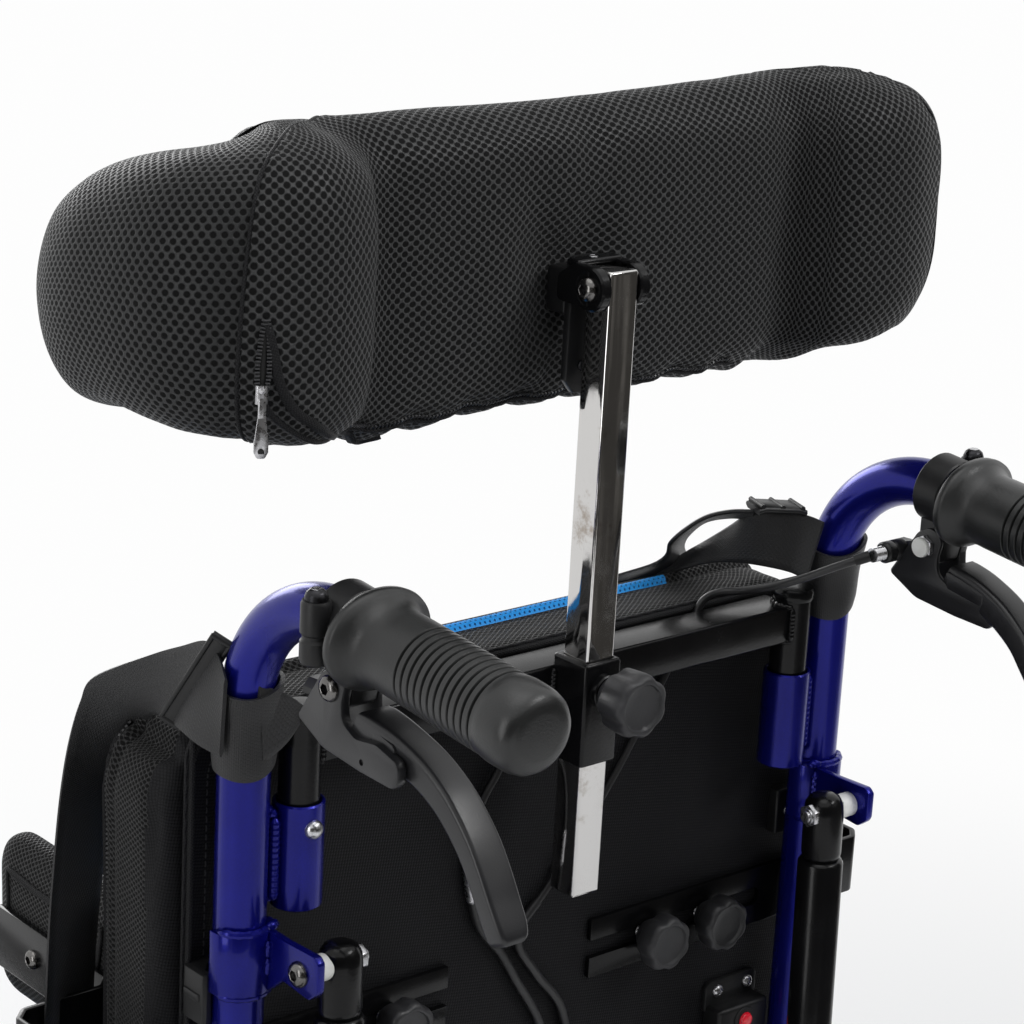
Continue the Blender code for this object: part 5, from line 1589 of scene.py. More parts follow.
def headrest_pad():
    line = curve(pad_spine(), 12)
    # even spacing along the run
    walked = [0.0]
    for a, b in zip(line, line[1:]):
        walked.append(walked[-1] + math.hypot(b[0] - a[0], b[1] - a[1]))
    count = int(walked[-1] / 5.5)
    rings, k = [], 0
    for i in range(count + 1):
        target = walked[-1] * i / count
        while k < len(line) - 2 and walked[k + 1] < target:
            k += 1
        f = min(1, (target - walked[k]) / (walked[k + 1] - walked[k]))
        spot = line[k].lerp(line[k + 1], f)
        a, b = line[max(0, k - 1)], line[min(len(line) - 1, k + 2)]
        run = Vector((b[0] - a[0], b[1] - a[1], 0)).normalized()
        rings.append(even(pad_ring(spot, run, 240), 60))
    bm = skin(rings)
    # the mesh runs evenly along the rear and outer side, where it is seen
    uv = bm.loops.layers.uv.active
    where, walked = {}, 0.0
    for i, ring in enumerate(rings):
        if i:
            rear = [(p - q).length for p, q in zip(ring, rings[i - 1])]
            walked += sum(sorted(rear)[-20:]) / 20
        for p in ring:
            where[tuple(round(c, 2) for c in p)] = walked / 1000
    for face in bm.faces:
        if len(face.verts) == 4:
            for loop in face.loops:
                spot = where.get(tuple(round(c, 2) for c in loop.vert.co))
                if spot is not None:
                    loop[uv].uv = (spot, loop[uv].uv[1])
    # the ends' caps become grids of their own
    ends = [f for f in bm.faces if len(f.verts) > 4]
    for face in ends:
        rim = [loop.vert for loop in face.loops]
        marks = {loop.vert: loop[uv].uv.copy() for loop in face.loops}
        centre = sum((v.co for v in rim), Vector()) / len(rim)
        out = face.normal.copy()
        bm.faces.remove(face)
        mid = sum((m for m in marks.values()), Vector((0, 0))) / len(rim)
        last, last_uv = rim, [marks[v] for v in rim]
        for ring_at, push in ((0.72, 4.0), (0.45, 6.0), (0.2, 6.8)):
            new = [bm.verts.new(centre + (v.co - centre) * ring_at + out * push) for v in rim]
            new_uv = [mid + (marks[v] - mid) * ring_at for v in rim]
            for j in range(len(rim)):
                m = (j + 1) % len(rim)
                f = bm.faces.new((last[j], last[m], new[m], new[j]))
                for loop, u in zip(f.loops, (last_uv[j], last_uv[m], new_uv[m], new_uv[j])):
                    loop[uv].uv = u
            last, last_uv = new, new_uv
        f = bm.faces.new(last)
        for loop, u in zip(f.loops, last_uv):
            loop[uv].uv = u
    bmesh.ops.recalc_face_normals(bm, faces=bm.faces)
    inflate(bm, 4.5, 2.0, lambda p: abs(p.x) < 14 and p.y > -16 and abs(p.z - TILT_S + 3) < 17)
    relax(bm)
    # a crease where the thick shoulders meet the thin middle, and the soft dents of a filled cover
    bm.normal_update()
    for v in bm.verts:
        p = v.co - Vector((PAD_X, 0, 0))
        back = max(0.0, min(1.0, (p.y + 40) / 14))
        for at, deep, wide in ((133, 4.6, 12), (-124, 2.8, 12)):
            v.co -= v.normal * deep * back * math.exp(-((p.x - at) / wide) ** 2)
        soft = noise.noise(v.co * 0.018) * 1.3 + noise.noise(v.co * 0.05) * 0.5
        v.co += v.normal * soft
        # dent round the knuckle's seat
        near = math.hypot(v.co.x, (v.co.z - TILT_S + 3) * 0.8)
        if v.co.y > -30:
            v.co.y -= 2.6 * math.exp(-(near / 26) ** 2)
        # the lower rear edge is gathered by its zip
        low = max(0.0, min(1.0, (T0 + 213 - 52 - v.co.z) / 14)) * max(0.0, min(1.0, (v.co.y + 52) / 20))
        v.co.z += low * (1.7 * math.sin(p.x * 0.21 + 1.0) + 1.1 * math.sin(p.x * 0.43))
    fine = finer(bm)
    # the rear panel ends at a seam round each shoulder; elsewhere the wing's cover starts at a joint
    wings = []
    for s in (1, -1):
        at = Vector((PAD_X + s * (182 - PAD_X), 8.0, T0 + 222))
        way = Vector((0.75 * s, -1.0, 0.06)).normalized()
        beside = Vector((PAD_X + s * 118, 0, T0 + 222))
        out = Vector((s, 0, 0))
        bmesh.ops.bisect_plane(fine, geom=fine.verts[:] + fine.edges[:] + fine.faces[:], dist=0.05,
                               plane_co=at, plane_no=way)
        front = [f for f in fine.faces if (f.calc_center_median() - at).dot(way) > 0]
        near = list({e for f in front for e in f.edges}) + list({v for f in front for v in f.verts}) + front
        bmesh.ops.bisect_plane(fine, geom=near, dist=0.05, plane_co=beside, plane_no=out)
        wings.append((at, way, beside, out))
    fine.faces.index_update()
    outer = set()
    for f in fine.faces:
        c = f.calc_center_median()
        if any((c - at).dot(way) > 0 and (c - beside).dot(out) > 0 for at, way, beside, out in wings):
            outer.add(f.index)
    lines = loops_of([e for e in fine.edges if len({f.index in outer for f in e.link_faces}) == 2])
    # the panel's turned edge stands a little proud of the side
    marks = [p for line in lines for p in line]
    near = kdtree.KDTree(len(marks))
    for i, p in enumerate(marks):
        near.insert(p, i)
    near.balance()
    fine.normal_update()
    for v in fine.verts:
        d = near.find(v.co)[2] * (1 if all(f.index in outer for f in v.link_faces) else -1)
        if abs(d) < 9:
            deep = 1.0 if v.co.y > -30 else 0.45
            lip = 1.5 * math.exp(-((d + 2.6) / 2.0) ** 2)
            groove = 1.6 * math.exp(-((d - 1.4) / 1.8) ** 2)
            v.co += v.normal * deep * (lip - groove)
    shapes = [cut_from(fine, "mesh", {f.index for f in fine.faces} - outer),
              cut_from(fine, "mesh_side", outer)]
    tree = surface(fine)
    for line in lines:
        path = [on_skin(tree, p, 0.1)[0] for p in line[::2]]
        shapes.append(("piping", tube(curve(path, 2, True), 0.9, 8, True)))
    # the smooth tape and the zip round the panel's near lower corner
    shapes.append(("piping", seam(tree, seen_line(tree, *ZIP_TAPE), 2.3, -0.7, 6)))
    shapes.append(("piping", seam(tree, seen_line(tree, *ZIP_EDGE), 1.4, 0.0, 6)))
    for row in ZIP_ROWS:
        shapes.append(("zipper", teeth(seen_line(tree, *row), tree, 1.5, 1.9, 0.9)))
    # a dark strip in the gap between the rows of teeth: painted shade
    shapes.append(("dark", seam(tree, seen_line(tree, *ZIP_GAP), 1.7, -0.9, 6)))
    low = [(112 - 6 * k, -12, 138 + T0) for k in range(38)]
    shapes.append(("piping", seam(tree, low, 1.5, 0.2)))
    shapes.append(("zipper", teeth([(x, y + 5, z) for x, y, z in low], tree, 1.9, 2.0, 0.5)))
    spot = seen_at(tree, *ZIP_END)
    up = on_skin(tree, spot)[1]
    spot += up * 1.6
    down = Vector((0, 0, -1))
    shapes.append(("zinc", strip([spot + down * -3, spot, spot + down * 4.5], 5.0, 2.6, up)))
    shapes.append(("zinc", rod(1.3, spot + up * 1.2 + down * -1.5, spot + up * 2.4 + down * -1.5, 16, 0.3)))
    pull = [spot + up * 2.4 + down * 1.5, spot + up * 2.9 + down * 5, spot + up * 2.7 + down * 9]
    shapes.append(("zinc", strip(pull, 3.2, 1.2, up)))
    across = up.cross(down).normalized()
    tag = [(1.6, 8.5), (2.9, 19), (2.9, 23), (1.6, 25.4), (-1.6, 25.4), (-2.9, 23), (-2.9, 19), (-1.6, 8.5)]
    base = spot + up * 2.4
    plate = [[base + across * x + down * z + up * h for x, z in rounded([(x, z, 1.2) for x, z in tag], 1, 4)]
             for h in (-0.6, 0.6)]
    shapes.append(("zinc", dedge(skin(plate), 0.2, 2, 40)))
    # a dark disc at the tab's hole: painted shade
    shapes.append(("dark", rod(1.3, base + down * 22.6 + up * 0.45, base + down * 22.6 + up * 0.75, 20, 0)))
    obj = piece("headrest_pad_cover", shapes, BACK, "headrest", ["headrest_pad"], 60)


def back_cushion():
    deep = (PANEL_N - 2.3) - CUSHION_FRONT
    half = (205.0, deep / 2, 159.5)
    centre = Vector((0, PANEL_N - 2.3 - half[1], 246.5))

    def crown(p):
        across, up = 1 - (p.x / half[0]) ** 2, 1 - (p.z / half[2]) ** 2
        fill = 0.86 + 0.14 * math.sqrt(max(across, 0) * max(up, 0))
        y = p.y * fill if p.y < 0 else p.y
        # wide corners, and a front panel that is fuller than the border
        corner = 46.0
        cx, cz = abs(p.x) - half[0] + corner, abs(p.z) - half[2] + corner
        x, z = p.x, p.z
        if cx > 0 and cz > 0:
            k = max(cx, cz) / math.hypot(cx, cz)
            x, z = math.copysign(half[0] - corner + cx * k, x), math.copysign(half[2] - corner + cz * k, z)
        front = max(0.0, min(1.0, (-p.y - half[1] * 0.28) / (half[1] * 0.3)))
        z += math.copysign(4.5 * front * max(0.0, min(1.0, (abs(p.z) - half[2] + 30) / 22)), z)
        return Vector((x * (1 - 0.014 * max(up, 0)), y, z * (1 - 0.010 * max(across, 0))))
    bm = cushion_block(half, 6.0, (20, 15, 20), centre, 7.0, crown, lambda p: p.y > centre.y + half[1] - 2,
                       2.5)
    # the seam between the front panel and the border is drawn in
    for v in bm.verts:
        ring = math.exp(-((v.co.y - centre.y + half[1] * 0.36) / 2.4) ** 2)
        flat = Vector((v.co.x / half[0], 0, (v.co.z - centre.z) / half[2]))
        if max(abs(flat.x), abs(flat.z)) > 0.88:
            v.co -= flat * 2.6 * ring
    bm.normal_update()
    # front face in blue mesh inside the black border
    bm.faces.index_update()
    front_at, rear_at = centre.y - half[1] * 0.36, centre.y + half[1] * 0.56
    blue, rear, edges = set(), set(), []
    for f in bm.faces:
        c = f.calc_center_median()
        if c.y < front_at and abs(c.x + 16) < 104:
            blue.add(f.index)
            edges += [v.co.x for v in f.verts]
        elif c.y > rear_at:
            rear.add(f.index)
    border = {f.index for f in bm.faces} - blue - rear
    shapes = [cut_from(bm, "mesh_fine", border), cut_from(bm, "mesh_blue", blue),
              cut_from(bm, "canvas", rear)]
    tree = surface(bm)
    for level in (front_at, rear_at):
        loop = edge_path(half, centre, 1, level, 46)
        shapes.append(("piping", seam(tree, loop, 1.5, 0.4, 3, True)))
    loop = edge_path(half, centre, 1, centre.y + half[1] * 0.68, 46)
    shapes.append(("zipper", teeth(loop + loop[:1], tree, 2.2, 2.0, 0.2)))
    for edge in (min(edges), max(edges)):
        line = [(edge, centre.y - half[1], centre.z + z) for z in range(-156, 157, 12)]
        shapes.append(("piping", seam(tree, line, 1.5, 0.4)))
    for z in (-60, 60):
        line = [(x, centre.y - half[1], centre.z + z) for x in range(-180, 181, 20)]
        shapes.append(("thread", stitches(tree, line, 4.0, 2.4, 0.4)))
    bm.free()
    obj = piece("back_cushion_cover", shapes, BACK, "back", ["back_cushion"], 60)


def seat_cushion():
    half = (163.0, 190.0, 27.5)
    low = SEAT_Z + TUBE + 2.6
    centre = Vector((0, -212, low + half[2]))

    def crown(p):
        across, along = 1 - (p.x / half[0]) ** 2, 1 - (p.y / half[1]) ** 2
        z = p.z + 5 * max(across, 0) * max(along, 0) if p.z > 0 else p.z
        return Vector((p.x * (1 - 0.018 * max(along, 0)), p.y * (1 - 0.015 * max(across, 0)), z))
    bm = cushion_block(half, 6.5, (22, 22, 16), centre, 7.0, crown, lambda p: p.z < low + 2, 2.5)
    bm.faces.index_update()
    top = {f.index for f in bm.faces if f.calc_center_median().z > centre.z + 4}
    shapes = [cut_from(bm, "mesh_blue", top), cut_from(bm, "mesh_fine", {f.index for f in bm.faces} - top)]
    tree = surface(bm)
    for level in (centre.z + 4, centre.z - 16):
        shapes.append(("piping", seam(tree, edge_path(half, centre, 2, level, 22), 1.7, 0.5, 3, True)))
    zipper = [(x, centre.y + half[1], centre.z - 6) for x in range(-140, 141, 14)]
    shapes.append(("zipper", teeth(zipper, tree, 2.2, 2.4, 0.2)))
    for y in (-60, 60):
        line = [(x, centre.y + y, centre.z + half[2]) for x in range(-140, 141, 20)]
        shapes.append(("thread", stitches(tree, line, 4.0, 2.4, 0.4)))
    bm.free()
    obj = piece("seat_cushion_cover", shapes, CHAIR, "frame", ["seat_cushion"], 60)


def side_pads(side, s):
    half = (11.5, 56.0, 42.0)
    centre = Vector((s * 161.6, -140, LATERAL_S + 8))
    bm = cushion_block(half, 4.5, (9, 18, 20), centre, 3.5, None, None, 1.5)
    tree = surface(bm)
    loop = edge_path(half, centre, 0, centre.x + s * 5.5, 18)
    inner = edge_path(half, centre, 0, centre.x - s * 5.5, 18)
    shapes = [("mesh_fine", bm), ("piping", seam(tree, loop, 1.2, 0.3, 3, True)),
              ("piping", seam(tree, inner, 1.2, 0.3, 3, True))]
    obj = piece("lateral_pad_%s_cover" % side, shapes, BACK, "lateral_" + side, ["lateral_pad_" + side], 60)
    half = (23.0, 146.0, 13.0)
    centre = Vector((s * 203, -222, 638.1))
    bm = cushion_block(half, 4.5, (12, 14, 9), centre, 3.0, None, lambda p: p.z < centre.z - 12, 1.2)
    tree = surface(bm)
    x = s * 203
    base = rounded([(x - 19, -358), (x + 19, -358), (x + 19, -86), (x - 19, -86)], 14)
    shapes = [("vinyl", bm), ("plastic", prism(base, "Z", 624.2, 627.4, 0.8))]
    seam_line = edge_path(half, centre, 2, centre.z - 7, 14)
    shapes.append(("thread", stitches(tree, seam_line + seam_line[:1], 4.0, 2.6, 0.35)))
    for y in (-300, -145):
        shapes.append(("zinc", screw_head(4.2, (x, y, 624.2), (0, 0, -1), 2.4)))
    obj = piece("arm_pad_%s_cover" % side, shapes, CHAIR, "arm_" + side, ["arm_pad_" + side], 60)


# Panel and straps

def back_panel():
    low, high = 45.0, 404.0
    middle = (low + high) / 2
    outline = rounded([(-186, low), (186, low), (186, high), (-186, high)], 18, 10)
    # the taut cover: a fine grid that bulges a little between the edges, with a rolled rim
    nx, nz = 62, 60
    bm = bmesh.new()
    uv = bm.loops.layers.uv.new("UVMap")
    verts = {}
    for i in range(nx + 1):
        for j in range(nz + 1):
            a, b = 2 * i / nx - 1, 2 * j / nz - 1
            x, z = 182.5 * a, middle + 176 * b
            # pull the grid's corners in to the rounded outline
            cx, cz = max(0, abs(a) - 0.9) / 0.1, max(0, abs(b) - 0.9) / 0.1
            if cx > 0 and cz > 0:
                r = math.hypot(cx, cz)
                m = max(cx, cz) / r
                x = math.copysign(182.5 * (0.9 + 0.1 * cx * m), a)
                z = middle + math.copysign(176 * (0.9 + 0.1 * cz * m), b)
            bulge = 0.9 * (1 - a ** 4) * (1 - b ** 4)
            wave = 0.22 * noise.noise(Vector((x, 3, z)) * 0.022)
            verts[i, j] = bm.verts.new((x, PANEL_N + 0.25 + bulge * 0.6 + wave, z))
    for i in range(nx):
        for j in range(nz):
            face = bm.faces.new((verts[i, j], verts[i, j + 1], verts[i + 1, j + 1], verts[i + 1, j]))
            for loop in face.loops:
                loop[uv].uv = (loop.vert.co.x / 1000, loop.vert.co.z / 1000)
    shapes = [("canvas", prism(outline, "Y", PANEL_N - 2, PANEL_N, 0.8)), ("canvas", bm)]
    rim = [(x * 0.985, PANEL_N + 0.5, middle + (z - middle) * 0.985) for x, z in outline]
    shapes.append(("piping", tube(curve(rim, 2, True), 1.5, 10, True)))
    inset = [Vector((x * 0.945, PANEL_N + 0.75, middle + (z - middle) * 0.945)) for x, z in outline]
    stitch = []
    for a, b in zip(inset, inset[1:] + inset[:1]):
        count = max(1, int((b - a).length / 4.0))
        for k in range(count):
            p, q = a.lerp(b, (k + 0.2) / count), a.lerp(b, (k + 0.8) / count)
            stitch.append(tube([p, (p + q) / 2 + Vector((0, 0.35, 0)), q], 0.35, 5))
    shapes.append(("thread", joined(stitch)))
    for s in (-1, 1):
        for z in (285.0, 92.0):
            # the hook: a moulded clip that reaches behind the post, with its snap ear
            hook = rounded([(160, PANEL_N - 0.5), (186.4, PANEL_N - 0.5, 4), (186.4, -2, 1), (184.4, -1.4, 1),
                            (181.2, -2, 1), (181.2, -7, 3), (177, -11.6, 3), (160, -11.6)], 1.5)
            shapes.append(("plastic", prism([(s * a, b) for a, b in hook], "Z", z - 11.5, z + 11.5, 0.8)))
            ear = rounded([(183, PANEL_N + 2), (187.3, PANEL_N + 3), (187.3, -4), (183, -3)], 1)
            shapes.append(("plastic", prism([(s * a, b) for a, b in ear], "Z", z - 1.2, z + 2.4, 0.5)))
            shapes.append(("zinc", screw_head(3.0, (s * 168, -11.6, z), (0, 1, 0), 1.6)))
    piece("back_panel_cover", shapes, BACK, "back", ["back_panel"])


def spot_at(px, py, n):
    """The point of the back at depth n that a pixel of the photograph shows."""
    start, way = sight(px, py)
    return start + way * ((n - start.y) / way.y)


def strap(side, x, low, high, runs, tilt, fittings):
    """Webbing looped round the back post, its runs as pairs of edge points, and its plastic fittings."""
    rings = []
    bend = HANDLE_TOP - 65.3
    rows, count = 9, 72
    for k in range(rows):
        f = k / (rows - 1)
        ring = []
        for j in range(count):
            a = TAU * j / count
            z = low + (high - low) * f + tilt * math.cos(a - 0.6) + 0.5 * math.sin(3 * a + 1.1)
            centre = Vector((x, BEND_R - math.sqrt(BEND_R ** 2 - max(0, z - bend) ** 2), z))
            r = 12.2 + 0.06 * max(0, z - bend) + 1.7 - (0.5 if k in (0, rows - 1) else 0)
            r += 0.45 * math.sin(2 * a + z * 0.16) * (1 - f)
            ring.append(centre + Vector((math.cos(a), math.sin(a), 0)) * r)
        rings.append(ring)
    back = []
    for ring in reversed(rings):
        c = sum(ring, Vector()) / len(ring)
        back.append([p - Vector((p.x - c.x, p.y - c.y, 0)).normalized() * 1.8 for p in ring])
    loop = skin(rings + back, True, False)
    # ribs run across the strap, so the loop's UVs are turned
    uv = loop.loops.layers.uv.active
    for face in loop.faces:
        for l in face.loops:
            u, v = l[uv].uv
            l[uv].uv = (v, u)
    shapes = [("webbing", loop)] + [("webbing", ribbon(run, 1.8, 8)) for run in runs]
    shapes += [("plastic", bm) for bm in fittings]
    piece("harness_strap_%s_webbing" % side, shapes, BACK, "back", ["harness_strap_" + side], 50)


def seen_run(pairs):
    """A strap's edge points from pixels of the photograph and depths on the back."""
    return [(tuple(spot_at(*a)), tuple(spot_at(*b))) for a, b in pairs]


def straps():
    # near side: over the shoulder, through the adjuster, folded, and down in front of the cushion's side
    near = [((226, 679, 7), (221, 757, 7)), ((219, 656, -4), (199, 745, -4)),
            ((207, 641, -15), (182, 731, -16)),
            ((182, 646, -30), (170, 720, -32)), ((150, 655, -48), (162, 715, -42)),
            ((94, 677, -72), (152, 716, -54)),
            ((80, 702, -78), (139, 737, -68)), ((69, 741, -80), (126, 776, -80)),
            ((61, 790, -80), (113, 812, -88)),
            ((55, 849, -80), (104, 860, -92)), ((49, 925, -80), (96, 935, -95)),
            ((45, 1020, -80), (91, 1030, -96)),
            ((42, 1100, -80), (88, 1110, -96))]
    side = [((258, 684, 13), (262, 764, 13)), ((284, 693, 12), (286, 743, 12)),
            ((304, 705, 8), (304, 717, 8)),
            ((312, 708, 2), (312, 715, 2))]
    runs = [seen_run(near), seen_run(side)]
    top, foot = spot_at(221, 642, -7), spot_at(171, 719, -29)
    out = -sight(195, 680)[1]
    run = (foot - top).normalized()
    side_way = run.cross(out).normalized()
    plate = [top - run * 1 + out * 3.0, top.lerp(foot, 0.3) + out * 4.2, top.lerp(foot, 0.7) + out * 4.2,
             foot + run + out * 3.0]
    fittings = [strip(curve(plate, 4), 8.2, 1.8, out)]
    for e in (-1, 1):
        rail = [p + side_way * e * 4.0 + out * 0.5 for p in plate]
        fittings.append(tube(curve(rail, 4), 1.15, 10))
    for p in (plate[0], plate[-1]):
        fittings.append(tube([p - side_way * 4.6, p + side_way * 4.6], 1.7, 12))
    strap("left", POST_X, 389, 425, runs, -3.5, fittings)
    # far side: to the buckle, then flat over the cushion's top and down its front, with a slack loop above
    far = [((824, 522, 7), (806, 581, 7)), ((806, 515, -2), (792, 573, -2)),
           ((778, 511, -12), (768, 567, -12)),
           ((752, 512, -22), (742, 563, -26)), ((731, 525, -38), (712, 563, -44)),
           ((704, 542, -54), (680, 570, -60)),
           ((682, 556, -70), (655, 580, -76)), ((668, 570, -84), (630, 592, -92))]
    down = [((-91, -93, 380), (-129, -94, 376)), ((-90, -94, 340), (-128, -95, 336)),
            ((-88, -95, 284), (-126, -96, 284))]
    slack = [((754, 511, -16), (752, 519, -26)), ((732, 511, -24), (730, 517, -36)),
             ((708, 516, -34), (706, 521, -48)),
             ((688, 527, -44), (690, 533, -60)), ((670, 542, -56), (684, 545, -76)),
             ((657, 562, -64), (683, 568, -84))]
    tail = [((-96, -97, 384), (-133, -98, 380)), ((-95, -98, 350), (-132, -99, 348))]
    runs = [seen_run(far) + down, seen_run(slack) + tail]
    a, b = spot_at(753, 508, -16), spot_at(800, 510, -8)
    out = Vector((0, 0, 1))
    fittings = [strip([a, a.lerp(b, 0.15) + out * 1.2, a.lerp(b, 0.85) + out * 1.2, b], 15, 3.4, out)]
    across = (b - a).cross(out).normalized()
    for f in (0.08, 0.5, 0.92):
        p = a.lerp(b, f) + out * 2.6
        fittings.append(tube([p - across * 7, p + across * 7], 1.2, 10))
    strap("right", -POST_X, 396, 428, runs, -4.5, fittings)


# Side frames, cross braces, sling

def collar(at, radius, on, up=1.0):
    """Weld bead where an upright of one radius meets a level tube along Y of radius on."""
    ring = []
    for k in range(33):
        a = TAU * k / 32
        cx, cy = radius * math.cos(a), radius * math.sin(a)
        ring.append((at[0] + cx, at[1] + cy, at[2] + up * math.sqrt(max(0.0, on ** 2 - cx ** 2))))
    return bead(ring, 1.7, 0.18, 3.2)


def side_frame(side, s):
    x = s * SIDE_X
    corners = [(x, FRONT_Y, RAIL_Z), (x, FRONT_Y, TOP_Z), (x, REAR_Y, TOP_Z), (x, REAR_Y, RAIL_Z)]
    shapes = [("blue", tube(bent(corners, 50, 16, True), TUBE, 40, True)),
              ("blue", rod(TUBE, (x, -60, RAIL_Z), (x, -60, TOP_Z), 40, 0)),
              ("blue", collar((x, -60, RAIL_Z), TUBE, TUBE, 1)),
              ("blue", collar((x, -60, TOP_Z), TUBE, TUBE, -1))]
    plate = rounded([(-45, 400, 2), (-45, 424, 8), (-16, 455, 12), (16, 455, 12), (60, 415, 10), (60, 384, 8),
                     (18, 384, 6)], 6)
    shapes += [("blue", prism(plate, "X", s * 182, s * 188, 1.0)),
               ("zinc", hub(4.95, s * 185, s * 155, 0, HINGE_Z)),
               ("zinc", nut(8.6, (s * 158.2, 0, HINGE_Z), (-s, 0, 0), 3.9)),
               ("zinc", rod(5, (s * 155, 0, HINGE_Z), (s * 153.8, 0, HINGE_Z), 24, 0.6)),
               ("zinc", hub(8.8, s * 188, s * 189.4, 0, HINGE_Z)),
               ("nickel", screw_head(7.6, (s * 189.2, 0, HINGE_Z), (s, 0, 0), 3.6)),
               ("zinc", hub(3.95, s * 185, s * 127, 40, 400)),
               ("black", turned([(4, 0), (6.8, 0), (7, 0.4), (7, 33), (6.6, 33.5), (4, 33.5)],
                                (s * 184, 40, 400), (s * 150.5, 40, 400), 36)),
               ("zinc", nut(6.8, (s * 131, 40, 400), (-s, 0, 0), 4.6)),
               ("nickel", screw_head(6.4, (s * 188, 40, 400), (s, 0, 0), 3.2)),
               ("blue", turned([(6, 0), (13.2, 0), (14, 0.8), (14, 34.2), (13.2, 35), (6, 35)],
                               (s * 181, REAR_Y, WHEEL_R), (s * 216, REAR_Y, WHEEL_R), 48)),
               ("blue", bead(ring_of((x, REAR_Y, WHEEL_R), (1, 0, 0), 14.2, 32)[2:14], 1.9)),
               ("zinc", hub(5.9, s * 215, s * 264, REAR_Y, WHEEL_R)),
               ("zinc", nut(10, (s * 180.6, REAR_Y, WHEEL_R), (-s, 0, 0), 4)),
               ("zinc", turned([(0, 0), (8.5, 0), (8.5, 3.0), (7.8, 3.8), (5.2, 3.8), (5.0, 3.2), (3.4, 3.2),
                                (3.2, 4.4),
                                (0, 4.6)], (s * 263.5, REAR_Y, WHEEL_R), (s * 268, REAR_Y, WHEEL_R), 40)),
               ("blue", turned([(6.4, 0), (17, 0), (18, 0.9), (18, 65.1), (17, 66), (6.4, 66)],
                               (x, CASTER_Y, 172),
                               (x, CASTER_Y, 238), 48)),
               ("plastic", turned([(0, 0), (17.6, 0), (17.9, 0.8), (16.5, 3.2), (11, 4.8), (0, 5.4)],
                                  (x, CASTER_Y, 238), (x, CASTER_Y, 250), 40)),
               ("zinc", turned([(6.4, 0), (15.2, 0), (15.2, 1.1), (6.4, 1.1)], (x, CASTER_Y, 172.1),
                               (x, CASTER_Y, 170), 40)),
               ("blue", turned([(0, 0), (11.2, 0), (12, 0.8), (12, 13.4), (11.4, 14), (0, 14)],
                               (x, HANGER_Y, 276),
                               (x, HANGER_Y, 290), 40)),
               ("blue", box((x - 8, HANGER_Y, 277), (x + 8, FRONT_Y - 3, 289), 1.5)),
               ("zinc", turned([(0, 0), (5, 0), (5, 102), (3.6, 104), (0, 104)], (x, HANGER_Y, 288),
                               (x, HANGER_Y, 392), 32)),
               ("blue", turned([(11.6, 0), (14.8, 0), (15.5, 0.7), (15.5, 13.3), (14.8, 14), (11.6, 14)],
                               (x, HANGER_Y, 368), (x, HANGER_Y, 382), 48, True)),
               ("blue", box((x - 8, HANGER_Y + 14.6, 369), (x + 8, FRONT_Y - 3, 381), 1.5)),
               ("black", box((s * 196, LOCK_Y - 14, 355), (s * 211.5, LOCK_Y + 14, TOP_Z), 1.6)),
               ("black", turned([(10.8, 0), (13, 0), (13, 26), (10.8, 26)], (x, LOCK_Y - 13, TOP_Z),
                                (x, LOCK_Y + 13, TOP_Z), 40)),
               ("zinc", hub(4.9, s * 210, s * 222, LOCK_Y, LOCK_Z)),
               ("zinc", nut(7.8, (s * 221.6, LOCK_Y, LOCK_Z), (s, 0, 0), 3.4))]
    for dy in (-6, 6):
        shapes.append(("nickel", screw_head(3.6, (s * 211.5, LOCK_Y + dy, 400), (s, 0, 0), 2.2)))
    for z in (282.8, 374.8):
        for e in (-1, 1):
            y = FRONT_Y - TUBE + 1.2
            shapes.append(("blue", bead([(x + e * 8, y, z - 5), (x + e * 8, y, z + 5)], 1.6)))
    for e in (-1, 1):
        shapes.append(("blue", bead([(x + e * 11.6, CASTER_Y - 11, RAIL_Z + 5),
                                     (x + e * 17.4, CASTER_Y, RAIL_Z),
                                     (x + e * 11.6, CASTER_Y + 11, RAIL_Z + 5)], 1.6)))
    for y in ARM_Y:
        shapes += [("blue", turned([(9.9, 0), (12, 0), (12.7, 0.7), (12.7, 63.4), (12.1, 64), (9.9, 64)],
                                   (x, y, 396), (x, y, 460), 44, True)),
                   ("plastic", turned([(9.8, -0.2), (12.7, -0.2), (13.3, 0.5), (13.3, 2.4), (12.2, 3.4),
                                       (9.8, 3.4)],
                                      (x, y, 460), (x, y, 470), 44, True)),
                   ("plastic", turned([(0, 0), (4.2, 0), (5.2, 1.2), (5.2, 6), (3.8, 7.6), (0, 8)],
                                      (x + s * 12.4, y, 446), (x + s * 30, y, 446), 28)),
                   ("blue", collar((x, y, TOP_Z), 12.7, 12.9, 1))]
    for y in (-290, -150):
        block = box((s * 153, y - 14, 406), (s * 191, y + 14, 431), 2.4)
        rail = rod(TUBE + 0.3, (s * SEAT_X, y - 30, SEAT_Z), (s * SEAT_X, y + 30, SEAT_Z), 48, 0)
        shapes.append(("plastic", carve(block, rail)))
        for dy in (-8, 8):
            shapes.append(("zinc", screw_head(3.0, (s * 182, y + dy, 431), (0, 0, 1), 1.6)))
    piece("side_frame_%s_tubes" % side, shapes, CHAIR, "frame", ["side_frame_" + side])


